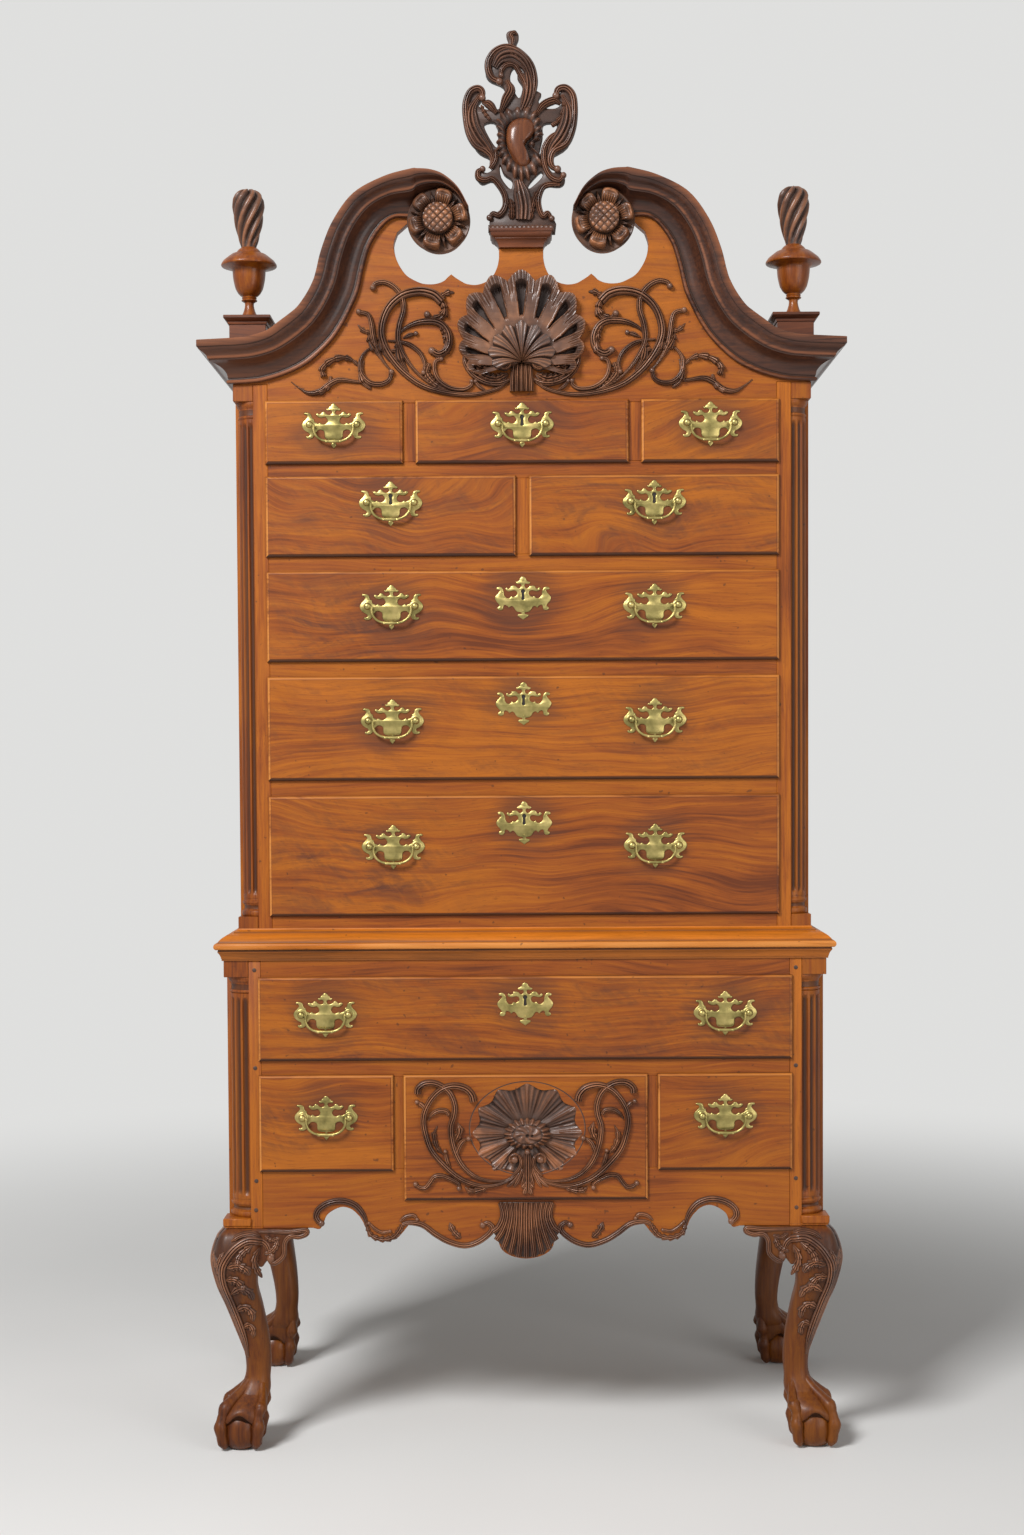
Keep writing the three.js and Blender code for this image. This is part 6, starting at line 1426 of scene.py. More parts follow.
PEDIMENT_LEAVES = [
    dict(at=[(97, 1864), (94.5, 1844), (82, 1825), (60, 1812.5), (38, 1810.5), (20, 1817)], w=10, h=11,
         taper=(0.5, 0.6), tips=(0,)),
    dict(at=[(24, 1826), (42, 1817), (62, 1821), (78, 1834), (88, 1852)], w=20, h=13, lobes=8),
    dict(at=[(42, 1846), (56, 1836), (72, 1838), (84, 1850)], w=11, h=15, lobes=4, taper=(0.5, 0.3)),
]
PEDIMENT_VINES = [
    dict(at=[(24.4, 1813), (44.4, 1800.5), (84.5, 1792), (128.4, 1795.4), (168.6, 1807.9), (197.8, 1828.7),
             (216.9, 1850.3), (230.1, 1872), (236.4, 1893.6), (233.9, 1915.3), (225.5, 1935.3),
             (212.8, 1949.8), (194.6, 1960.7), (169.1, 1964.5), (147.2, 1959.2), (133.3, 1946.6)], w=11, h=9,
         taper=(0.5, 1.3)),
    dict(at=[(135, 1950), (129.6, 1935.8), (136.2, 1924.9), (148.9, 1920.1), (158.8, 1925.9)], w=10, h=9,
         lobes=4, taper=(1, 0.5), tips=(1,)),
    dict(at=[(140, 1953), (125.4, 1962.2), (113, 1963)], w=10, h=6, lobes=3, taper=(0.7, 0.3)),
    dict(at=[(121.1, 1797.2), (154, 1810.8), (179.6, 1832.4), (197.9, 1857.7), (208.2, 1882.9),
             (206.1, 1908.3), (198.9, 1933.6), (201.2, 1955.3), (212.9, 1971.5), (229.3, 1980.4),
             (245, 1978.5), (250.1, 1971.3)], w=9, h=7.5, tips=(1,), taper=(0.4, 0.8)),
    dict(at=[(209.7, 1886.5), (201.7, 1899.2), (185.3, 1909.5), (165.3, 1914.6), (143.4, 1913.7),
             (128.8, 1904.3), (121.4, 1887), (125, 1868.9), (138.8, 1859.8), (151.3, 1865.2)], w=11, h=9,
         taper=(0.35, 1.0), tips=(1,)),
    dict(at=[(136, 1908), (129, 1893), (131, 1878)], w=10, h=9, lobes=4, taper=(0.8, 0.3)),
    dict(at=[(200, 1887), (188.9, 1892.1), (178, 1894.7)], w=7, h=5.5, tips=(1,)),
    dict(at=[(225.4, 1882.8), (205.3, 1881.1), (187, 1875.1), (170.6, 1861.4), (163.2, 1843.4),
             (165.7, 1828.9)], w=7.5, h=7, tips=(1,), taper=(0.5, 0.8)),
    dict(at=[(135.1, 1851.5), (145, 1847.8), (146.8, 1832.6), (139.4, 1816.3), (121.1, 1803.8), (99.2, 1801),
             (86.4, 1806.8), (84.6, 1814.1)], w=7, h=7, tips=(0, 1), taper=(0.8, 0.8)),
    dict(at=[(156, 1845), (160, 1828), (148, 1812), (130, 1800)], w=12, h=7, lobes=9, taper=(0.7, 0.5)),
    dict(at=[(274, 1931.4), (258.3, 1926.8), (252.8, 1911.6), (250.2, 1891.8), (245.4, 1871.9),
             (234.4, 1850.2), (219.8, 1831.5)], w=8.5, h=7.5, tips=(0,), taper=(0.8, 0.4)),
    dict(at=[(250.9, 1873), (262.9, 1864.6), (271.6, 1849.3), (270.1, 1828.3), (256.2, 1812.8),
             (237.9, 1810.4), (224.1, 1817), (219.7, 1830.4)], w=8.5, h=7.5, taper=(0.4, 0.8), tips=(1,)),
    dict(at=[(272, 1838), (285.5, 1850.7), (303.8, 1855.3), (323.8, 1849), (336.6, 1835.9), (333.6, 1822.5)],
         w=10, h=8, lobes=6, taper=(0.5, 0.9)),
    dict(at=[(256, 1812), (282, 1815), (306, 1818), (322, 1812), (340.1, 1799), (358.4, 1796), (373, 1803),
             (389, 1815)], w=9, h=7.5, taper=(0.5, 0.2)),
    dict(at=[(322, 1824), (324, 1811), (336, 1799), (352, 1795), (368, 1797)], w=9, h=6.5, lobes=5,
         taper=(0.7, 0.3)),
    dict(at=[(252, 1896), (266, 1900), (276, 1910)], w=8, h=5.5, lobes=3, taper=(0.6, 0.2)),
    dict(at=[(228, 1860), (216, 1866), (206, 1862)], w=7, h=5.5, lobes=3, taper=(0.6, 0.2)),
    dict(at=[(60, 1798), (72, 1806), (78, 1814)], w=6, h=6, tips=(1,), taper=(0.5, 0.8)),
    dict(at=[(258, 1895.6), (254.7, 1882.8), (246, 1867.8), (234.4, 1850.7)], w=14, h=9, lobes=3,
         taper=(0.3, 0.3)),
    dict(at=[(238.6, 1897), (236.5, 1882.8), (232, 1865.7), (222, 1848.6)], w=14, h=9, lobes=3,
         taper=(0.3, 0.3)),
    dict(at=[(206.6, 1889), (207.6, 1870), (203, 1848.6), (192, 1829.3)], w=15, h=9, lobes=3,
         taper=(0.3, 0.3)),
    dict(at=[(141, 1951.3), (129.5, 1936.3), (131.7, 1923.4), (142.3, 1914.9)], w=12, h=9.5, lobes=3,
         taper=(0.4, 0.4)),
    dict(at=[(134, 1902), (125.2, 1882.8), (129.5, 1861.4), (144.5, 1850.7)], w=12, h=9, lobes=3,
         taper=(0.4, 0.4)),
    dict(at=[(266, 1850), (271.5, 1829), (267, 1813), (254, 1802)], w=11, h=8.5, lobes=3, taper=(0.4, 0.4)),
]


def pediment_vines():
    b = Build()
    for sx in (-1, 1):
        carve(b, PEDIMENT_VINES, UPPER_FRONT, 1.14, 1.35, sx, (0.4, 0.4), 0.45)
    b.piece("pediment_vines", "case", [CARVED_BROWN], None, "dark_walnut", 55)


# Finials
def square_stack(b, cx, cy, profile, slot, deeper):
    """Square block whose sides follow a profile of (half width, height, groove)."""
    rings, darkness = [], []
    for half, z, g in profile:
        tall, e = half + deeper, 0.6
        rings.append([(cx - half + e, cy - tall, z), (cx + half - e, cy - tall, z),
                      (cx + half, cy - tall + e, z),
                      (cx + half, cy + tall - e, z), (cx + half - e, cy + tall, z),
                      (cx - half + e, cy + tall, z),
                      (cx - half, cy + tall - e, z), (cx - half, cy - tall + e, z)])
        darkness += [g] * 8
    sweep(b, rings, slot, darkness)


# (share of the radius, share of the height) up the urn, then (share of the way, girth) up the flame
URN = [(0.295, -0.02), (0.295, 0.02), (0.27, 0.05), (0.215, 0.10), (0.175, 0.155), (0.158, 0.20),
       (0.17, 0.23), (0.235, 0.247), (0.28, 0.257), (0.283, 0.268), (0.25, 0.278), (0.242, 0.283),
       (0.262, 0.292), (0.268, 0.302), (0.25, 0.312), (0.255, 0.32), (0.31, 0.33), (0.39, 0.361),
       (0.44, 0.392), (0.49, 0.43), (0.522, 0.477), (0.555, 0.535), (0.573, 0.582), (0.587, 0.64),
       (0.592, 0.68), (0.61, 0.7), (0.66, 0.718), (0.75, 0.731), (0.88, 0.741), (0.98, 0.752), (1.0, 0.765),
       (0.995, 0.78), (0.975, 0.795), (0.915, 0.83), (0.8, 0.868), (0.7, 0.9), (0.64, 0.918), (0.61, 0.925),
       (0.5, 0.926), (0.475, 0.927), (0.468, 0.934), (0.445, 0.955), (0.39, 0.985), (0.32, 1.01),
       (0.262, 1.024), (0.255, 1.03)]
FLAME = [(0, 0.46), (0.03, 0.48), (0.1, 0.58), (0.18, 0.665), (0.28, 0.76), (0.37, 0.84), (0.55, 0.945),
         (0.7, 1.0), (0.83, 0.96), (0.9, 0.85), (0.95, 0.68), (0.98, 0.47), (1.0, 0.10)]
FINIAL_CAP, FINIAL_URN = 55.5, 118.0
# (half width, height from the top, shading_grime_and_wear value) up the plinth's cap
PLINTH_CAP = [(31, -17, 0), (31, -15, 0.4), (32.5, -14.6, 0), (33.5, -12, 0), (33.5, -10.6, 0.5),
              (34.2, -10, 0), (36, -8.6, 0), (38.2, -6.4, 0), (39.2, -5, 0), (40, -4.6, 0.4), (40, -0.6, 0),
              (39.4, 0, 0)]


def finial(side, word):
    cx, cy, z0 = side * 466, 85.3, CORNICE_TOP + 0.3
    cap, urn = z0 + FINIAL_CAP, FINIAL_URN
    b = Build()
    square_stack(b, cx, cy, [(31, z0, 0)] + [(half, cap + z, g) for half, z, g in PLINTH_CAP], 1, 0)
    profile = [(0, cap - 2)] + [(47.5 * r, cap + urn * h) for r, h in URN] + [(0, cap + urn * 1.035)]
    turned(b, profile, (cx, cy, 0), 72)
    foot = cap + urn + 2
    rows, cols = 54, 160
    a = np.linspace(0, 2 * math.pi, cols, endpoint=False)
    pts, darkness = [], []
    for k in np.linspace(0, 1, rows):
        wave = np.cos(8 * (a - 2.3 * k))
        cut = (0.5 - 0.5 * wave) ** 1.7
        girth = np.interp(k, *zip(*FLAME))
        r = 27.6 * girth * (1 - 0.27 * cut * smooth(k, 0.0, 0.15) * (1 - 0.3 * smooth(k, 0.9, 1)))
        z = foot + 100 * k - 7 * cut * smooth(k, 0.75, 1.0)
        pts.append(np.stack([cx + r * np.cos(a), cy + r * np.sin(a), z], 1))
        # painted shade in the flame's cuts and painted highlights on its ridges
        darkness.append(np.clip(1.25 * cut - 0.35 * smooth(wave, 0.5, 1.0), -0.4, 1))
    top = tuple((rows - 1) * cols + i for i in range(cols))
    b.add(np.concatenate(pts), quads(rows, cols, wrap=True) + [top], 2, np.concatenate(darkness))
    own = f"finial_{word}"
    b.piece(own + "_turned", "case", [URN_WOOD, PLINTH_WOOD, CARVED], own, "urn_walnut", 40)


# Cartouche
CARTOUCHE = [
    (0.6, 0), (0.62, 0.04), (0.52, 0.094), (0.41, 0.074), (0.32, 0.114), (0.3, 0.169), (0.38, 0.228),
             (0.69, 0.227), (0.78, 0.259), (0.7, 0.302), (0.55, 0.298), (0.49, 0.358), (0.83, 0.424),
             (0.99, 0.553), (0.97, 0.616), (0.89, 0.679), (0.76, 0.709), (0.62, 0.656), (0.75, 0.638),
             (0.61, 0.613), (0.41, 0.617), (0.32, 0.649), (0.37, 0.684), (0.29, 0.7), (0.28, 0.774),
             (0.2, 0.837), (0, 0.892), (-0.07, 0.927), (-0.02, 0.963), (-0.05, 0.99), (-0.16, 0.998),
             (-0.24, 0.979), (-0.2, 0.924), (-0.41, 0.912), (-0.6, 0.815), (-0.55, 0.756), (-0.3, 0.72),
             (-0.28, 0.673), (-0.35, 0.618), (-0.53, 0.607), (-0.73, 0.627), (-0.64, 0.666), (-0.72, 0.701),
             (-0.86, 0.69), (-0.985, 0.635), (-0.995, 0.564), (-0.78, 0.411), (-0.53, 0.363), (-0.48, 0.32),
             (-0.59, 0.296), (-0.72, 0.308), (-0.79, 0.281), (-0.68, 0.241), (-0.48, 0.253), (-0.33, 0.186),
             (-0.33, 0.123), (-0.55, 0.08), (-0.56, 0)]
CARTOUCHE_HOLES = [
    [(-0.14, 0.806), (-0.03, 0.818), (-0.05, 0.767), (0.04, 0.72), (-0.03, 0.665), (-0.17, 0.751)],
    [(-0.63, 0.536), (-0.42, 0.536), (-0.41, 0.422), (-0.56, 0.477)],
    [(0.41, 0.535), (0.64, 0.534), (0.57, 0.483), (0.41, 0.417), (0.33, 0.389), (0.39, 0.468)],
    [(-0.36, 0.335), (-0.29, 0.288), (-0.15, 0.256), (-0.18, 0.215), (-0.34, 0.272)],
    [(0.35, 0.299), (0.15, 0.24), (0.16, 0.218), (0.37, 0.271)]]
CABOCHON = [(-24, 2219), (-21.5, 2237), (-13, 2248), (0, 2253), (13, 2252), (22, 2245), (24.6, 2233),
            (19, 2221), (10.5, 2213), (7.6, 2203), (12, 2190), (16.5, 2180), (12, 2172), (1, 2171),
            (-9, 2178), (-17, 2192), (-22, 2205)]
CARTOUCHE_STRIPS = [
    dict(at=[(59.8, 2290), (63.7, 2301), (76.6, 2303), (88, 2291), (91, 2267), (88, 2237), (77, 2211),
             (57, 2199.5), (50.3, 2186), (52.8, 2173.3), (62, 2168)], w=12, h=11, taper=(0.8, 0.7),
         tips=(0, 1)),
    dict(at=[(70, 2292), (80, 2270), (80, 2246), (69, 2221), (54, 2203), (46, 2186)], w=27, h=15,
         taper=(0.3, 0.3), ease=0.4),
    dict(at=[(-68, 2292), (-82, 2269), (-82, 2244), (-70, 2219), (-55, 2201), (-46, 2184)], w=27, h=15,
         taper=(0.3, 0.3), ease=0.4),
    dict(at=[(18, 2322), (8, 2344), (-12, 2358), (-33, 2354), (-44, 2338)], w=27, h=15, taper=(0.5, 0.5),
         ease=0.4),
    dict(at=[(2, 2262), (12, 2286), (15, 2308), (12, 2328)], w=22, h=14, taper=(0.6, 0.7), ease=0.4),
    dict(at=[(-34, 2262), (-24, 2284), (-16, 2300), (-22, 2316)], w=17, h=13, taper=(0.5, 0.5), ease=0.4),
    dict(at=[(26, 2258), (38, 2274), (56, 2282), (68, 2276)], w=14, h=12, taper=(0.6, 0.4), ease=0.4),
    dict(at=[(-40, 2262), (-52, 2276), (-64, 2280)], w=14, h=12, taper=(0.6, 0.4), ease=0.4),
    dict(at=[(4, 2084), (5, 2106), (1, 2128), (-4, 2150)], w=30, h=15, taper=(0.9, 0.5), ease=0.4),
    dict(at=[(71, 2284), (73.5, 2272), (70, 2257), (62, 2247), (52, 2240)], w=9, h=9, lobes=4,
         taper=(0.4, 0.7)),
    dict(at=[(66, 2232), (52, 2222), (41, 2206), (38.5, 2191), (41, 2173), (50, 2156), (64, 2150),
             (72, 2158)], w=10, h=10, taper=(0.5, 0.8), tips=(1,)),
    dict(at=[(84, 2262), (84, 2244), (77, 2228), (66, 2216)], w=9, h=12, lobes=6, taper=(0.4, 0.5)),
    dict(at=[(-3, 2260), (7.2, 2282.7), (9.5, 2306), (-1, 2328), (-10, 2341), (-23.3, 2341), (-31, 2333),
             (-32, 2324)], w=9, h=10, taper=(0.5, 0.9), tips=(1,)),
    dict(at=[(12.2, 2262.4), (21, 2292), (24, 2317), (17, 2343), (-2, 2363), (-23, 2371), (-42, 2364),
             (-53, 2348), (-53, 2332), (-47, 2320), (-35, 2314)], w=12, h=11, taper=(0.5, 0.9), tips=(1,)),
    dict(at=[(13, 2330), (4, 2346), (-10, 2358), (-26, 2360)], w=11, h=12, lobes=6, taper=(0.5, 0.4)),
    dict(at=[(-14, 2372), (-12, 2383), (-16, 2391), (-10, 2395), (-4.5, 2392)], w=8, h=9, taper=(0.8, 0.5)),
    dict(at=[(-53, 2088), (-47, 2095), (-37, 2092.5), (-27, 2106), (-27, 2124), (-36, 2141), (-48, 2153),
             (-60, 2150), (-71, 2154), (-72, 2165), (-64, 2169)], w=10, h=10, taper=(0.7, 0.7), tips=(0, 1)),
    dict(at=[(-52, 2169), (-43, 2183), (-42, 2201)], w=9, h=10, taper=(0.7, 0.6)),
    dict(at=[(-64, 2287), (-64, 2298), (-72, 2303), (-84, 2297), (-91.5, 2278), (-91, 2253), (-86, 2228),
             (-75, 2209), (-59, 2200), (-48.5, 2189), (-49, 2176)], w=12, h=11, taper=(0.8, 0.6), tips=(0,)),
    dict(at=[(-80, 2262), (-79, 2244), (-72, 2228), (-60, 2216)], w=9, h=12, lobes=6, taper=(0.4, 0.5)),
    dict(at=[(-66, 2276), (-60, 2262), (-50, 2250)], w=8, h=9, lobes=4, taper=(0.4, 0.6)),
    dict(at=[(52, 2086), (45, 2095), (37, 2090), (31, 2103), (30, 2120), (37, 2138), (50, 2143), (66, 2142)],
         w=10, h=10, taper=(0.7, 0.6), tips=(0,)),
    dict(at=[(0, 2084), (1, 2104), (-2, 2124), (-8, 2142)], w=17, h=12, lobes=6, taper=(0.9, 0.3)),
    dict(at=[(16, 2086), (19, 2104), (24, 2122), (34, 2136)], w=12, h=11, lobes=6, taper=(0.9, 0.3)),
    dict(at=[(-16, 2086), (-15, 2104), (-18, 2120)], w=12, h=11, lobes=5, taper=(0.9, 0.3)),
]
RUFFLE = [(-1.2, 2153), (18, 2157.5), (34, 2181), (22, 2206.5), (35, 2221.7), (33, 2240), (25, 2262),
          (-0.6, 2268), (-27, 2263), (-38, 2247), (-37, 2227), (-38, 2207), (-33, 2188), (-21, 2169)]
# (half width, height above the seat, shading_grime_and_wear value) up the moulded plinth
CARTOUCHE_PLINTH = [(37.3, 0, 0), (37.6, 3, 0), (39, 7, 0), (41.2, 10.5, 0), (43.6, 12.6, 0), (44.4, 13, 0.6),
                    (44.4, 14.4, 0), (46.6, 15.4, 0), (49, 17.4, 0), (50.4, 20, 0), (50.8, 22.6, 0),
                    (51.6, 23, 0.6), (52.2, 24, 0), (52.2, 28, 0), (51, 29, 0)]


def pillow(b, outline, face, rise, slot):
    """A rounded cushion over an outline."""
    loop = catmull(outline, 4, closed=True)
    n = len(loop)
    rows = [(1.0, 0.0), (0.985, 0.22), (0.95, 0.42), (0.88, 0.62), (0.78, 0.78), (0.64, 0.9), (0.48, 0.96),
            (0.3, 0.99), (0.12, 1.0), (0.01, 1.0)]
    pts = np.concatenate([shrunk(loop, loop.mean(0), k, face - rise * h) for k, h in rows])
    b.add(pts, facing_front(pts, quads(len(rows), n, wrap=True), n // 2 + 4 * n), slot)


def ruffle(b, face):
    """The frilled frame round the cabochon."""
    ring = catmull(RUFFLE, 12, closed=True)
    n = len(ring)
    wave = np.sin(np.arange(n) / n * 2 * math.pi * 24)
    pts, darkness = [], []
    for k in np.linspace(0, 1, 9):
        fold = math.sin(math.pi * min(k + 0.15, 1))
        y = face - 12 * math.sin(math.pi * (0.12 + 0.75 * k)) - 2.2 * wave * fold
        reach = 1.04 - 0.40 * k + 0.055 * wave * (1 - k)
        pts.append(shrunk(ring, (-2.0, 2214.0), reach, y if k else face + 0.5))
        # painted highlights on the frill's proud folds and painted shade in its hollows, darker towards the
        # inside
        darkness.append(np.clip(0.2 - 0.75 * wave + 0.5 * k, -0.5, 0.95))
    pts = np.concatenate(pts)
    b.add(pts, facing_front(pts, quads(9, n, wrap=True), 4 * n + 3), 0, np.concatenate(darkness))


def cartouche():
    b = Build()
    base, face = SEAT + 28, 27

    def fit(shares):
        return [(u * 96, base + v * 336) for u, v in shares]

    outline = fit(CARTOUCHE)
    outline[0] = (outline[0][0], base - 2)
    outline[-1] = (outline[-1][0], base - 2)
    loop = corners(outline, 4, (0, 1, 17, 18, 23, 27, 41, 56, len(outline) - 1))
    holes = [catmull(fit(hole), 4, closed=True) for hole in CARTOUCHE_HOLES]
    plate(b, loop, [(1.6, 26.5), (0.4, 27.6), (0, 29), (0, 41), (0.6, 43), (1.8, 44)], holes, shading_grime_and_wear=0.7)
    carve(b, CARTOUCHE_STRIPS, face, 1, 0.78, steps=6)
    ruffle(b, face)
    pillow(b, CABOCHON, face - 3, 14.5, 1)
    # rope and moulded plinth that seat it on the scroll board's neck
    rows = []
    for x in (-55 + 110 * i / 60 for i in range(61)):
        ring = []
        for a in (2 * math.pi * k / 12 for k in range(12)):
            r = 6.2 * (1 + 0.16 * math.cos(2 * (a - x * 0.42)))
            ring.append((x, 28 + r * math.cos(a), base + 5.6 + r * math.sin(a)))
        rows.append(ring)
    sweep(b, rows, shading_grime_and_wear=[0.35] * (12 * 61))
    square_stack(b, 0, 34, [(half, SEAT + z, g) for half, z, g in CARTOUCHE_PLINTH], 2, -16)
    woods = [CARVED_DEEP, CABOCHON_WOOD, PLINTH_WOOD]
    b.piece("cartouche_carving", "case", woods, "cartouche", "dark_walnut", 50)


# Cabriole legs: share of the height, then shares that place the outer side, the inner side and the rounding
LEG = [(1, 0, 1, 0.08), (0.958, -0.6, 1, 0.2), (0.879, -0.97, 0.94, 0.28), (0.794, -0.98, 0.85, 0.32),
       (0.686, -0.65, 0.8, 0.36), (0.565, -0.02, 0.92, 0.4), (0.395, 0.78, 1.06, 0.42),
       (0.25, 1.2, 1.11, 0.42), (0.153, 1.12, 1.08, 0.42), (0.057, 0.35, 1.05, 0.4), (-0.05, 0.1, 0.62, 0.4)]
LEG_TABLE = catmull(LEG, 6)[::-1]
FOOT_TOP, LEG_RISE, OUTER_REACH, POST = 66, 315, 21, 62


def knee_face(x, z):
    """Depth of the leg's front skin at a place seen from the front."""
    rise = (np.asarray(z, float) - FOOT_TOP) / LEG_RISE
    outer, inner, share = (np.interp(rise, LEG_TABLE[:, 0], LEG_TABLE[:, k]) for k in (1, 2, 3))
    low, high = OUTER_REACH * outer, POST * inner
    radius = share * (high - low)
    d = np.clip(np.maximum(low + radius - x, x - high + radius), 0, radius * 0.97)
    return low + radius - np.sqrt(radius**2 - d**2)


BRACKET = [(0.7, -0.1), (0.72, -0.42), (0.84, -0.66), (0.98, -0.71), (1.12, -0.6), (1.22, -0.66),
           (1.36, -0.62), (1.5, -0.54), (1.56, -0.38), (1.64, -0.24), (1.84, -0.2), (2.04, -0.17),
           (2.2, -0.12), (2.23, 0), (0.7, 0)]
KNEE_STRIPS = [
    dict(at=[(76, 330), (67, 355), (42, 364), (18, 352), (1, 331), (-6, 312), (-4, 286), (7, 252), (19, 213),
             (28, 178), (31, 152)], w=11, h=5.5, taper=(0.7, 0.3), tips=(0,)),
    dict(at=[(4, 318), (20, 322), (34, 316), (41, 304)], w=13, h=5, lobes=5, taper=(0.6, 0.3)),
    dict(at=[(1, 296), (16, 296), (28, 284), (31, 268)], w=12, h=5, lobes=5, taper=(0.6, 0.3)),
    dict(at=[(8, 270), (24, 280), (38, 274), (45, 258)], w=11, h=4.5, lobes=4, taper=(0.6, 0.3)),
    dict(at=[(14, 238), (30, 246), (41, 236), (43, 219)], w=11, h=4.5, lobes=4, taper=(0.6, 0.3)),
    dict(at=[(24, 206), (36, 212), (42, 202), (41, 188)], w=9, h=4, lobes=3, taper=(0.6, 0.3)),
    dict(at=[(46, 356), (30, 344), (22, 330), (24, 318)], w=10, h=4.5, lobes=5, taper=(0.5, 0.5)),
    dict(at=[(58, 350), (50, 332), (52, 312), (60, 296)], w=9, h=4.5, lobes=5, taper=(0.5, 0.3)),
    dict(at=[(-2, 345), (-9, 332), (-14, 316), (-15, 300), (-11, 282)], w=8, h=3.5, lobes=6,
         taper=(0.4, 0.3)),
    dict(at=[(10, 362), (24, 371), (44, 374), (58, 370)], w=7, h=4, taper=(0.4, 0.4)),
]
BRACKET_STRIPS = [
    dict(at=[(56, 376), (86, 376), (110, 376), (135, 378.5), (137, 372), (124, 367), (109, 368), (100, 357),
             (97.6, 335), (82, 322), (74, 327), (78, 335)], w=7.5, h=4.2, taper=(0.5, 0.7), tips=(1,)),
    dict(at=[(88, 362), (84, 350), (76, 342), (64, 338)], w=9, h=4, lobes=5, taper=(0.5, 0.4)),
    dict(at=[(66, 369), (78, 362), (92, 366)], w=8, h=4, lobes=4, taper=(0.5, 0.4)),
]
BALL = [(0, 0.2), (0.5, 0.3), (0.62, 1.4), (0.71, 4), (0.83, 8.5), (0.92, 15), (0.985, 23), (1.0, 31),
        (0.985, 39), (0.93, 47), (0.83, 55), (0.68, 62), (0.5, 67), (0, 71)]
# height, middle, radius and how far the claws dip, down the paw that closes over the ball
PAW = [(106, 43, 21, 0), (97, 40, 24.5, 0), (88, 35, 29.5, 0), (80, 30, 35, 1), (72, 25.5, 39.5, 3),
       (64, 22.5, 42, 6), (58, 21, 42, 8), (54, 20.4, 40.5, 9.5), (52.5, 20.2, 37, 10)]
# middle, distance out, height and girth down a claw
TALON = [(42.5, 12, 113), (41, 18, 104), (37.5, 25.5, 94), (31.5, 35, 83), (25.5, 42, 72.5), (22, 42.5, 61),
         (20.4, 44, 51), (20, 45.6, 41), (20, 43, 27), (20, 40.5, 14), (20, 36, 4.5)]
TALON_GIRTH = [6.5, 7.6, 8.2, 9.0, 11.6, 8.8, 9.0, 11.4, 9.4, 9.2, 4.4]
KNUCKLE = [(0, -11.2), (5.8, -9.6), (9.7, -5.6), (11.2, 0), (9.7, 5.6), (5.8, 9.6), (0, 11.2)]


def foot(b):
    """The ball, the paw over it and four claws with their knuckles."""
    turned(b, [(38.6 * r, h) for r, h in BALL], (20, 20, 0), 48, 2, shading_grime_and_wear=0.1)
    around = np.linspace(0, 2 * math.pi, 40, endpoint=False)
    claw = np.cos(4 * (around - math.pi / 4))
    hand = []
    for z, c, r, dip in PAW:
        reach = r * (1 + 0.06 * claw)
        hand.append(np.stack([c + reach * np.cos(around), c + reach * np.sin(around), z - dip * claw], 1))
    sweep(b, hand[::-1], shading_grime_and_wear=np.repeat([0.7, 0.4, 0.1, 0, 0, 0, 0, 0, 0], 40))
    talon = catmull(TALON, 4)
    girth = np.interp(np.linspace(0, 10, len(talon)), range(11), TALON_GIRTH)
    for i in range(4):
        a = math.radians(45 + 90 * i)
        x, y = (talon[:, 0] + talon[:, 1] * along for along in (math.cos(a), math.sin(a)))
        tube(b, np.stack([x, y, talon[:, 2]], 1), girth, 18, (-math.sin(a), math.cos(a), 0))
        for at, r, h in ((25.8, 42.5, 73), (20, 45.8, 41)):
            turned(b, KNUCKLE, (at + r * math.cos(a), at + r * math.sin(a), h), 16)


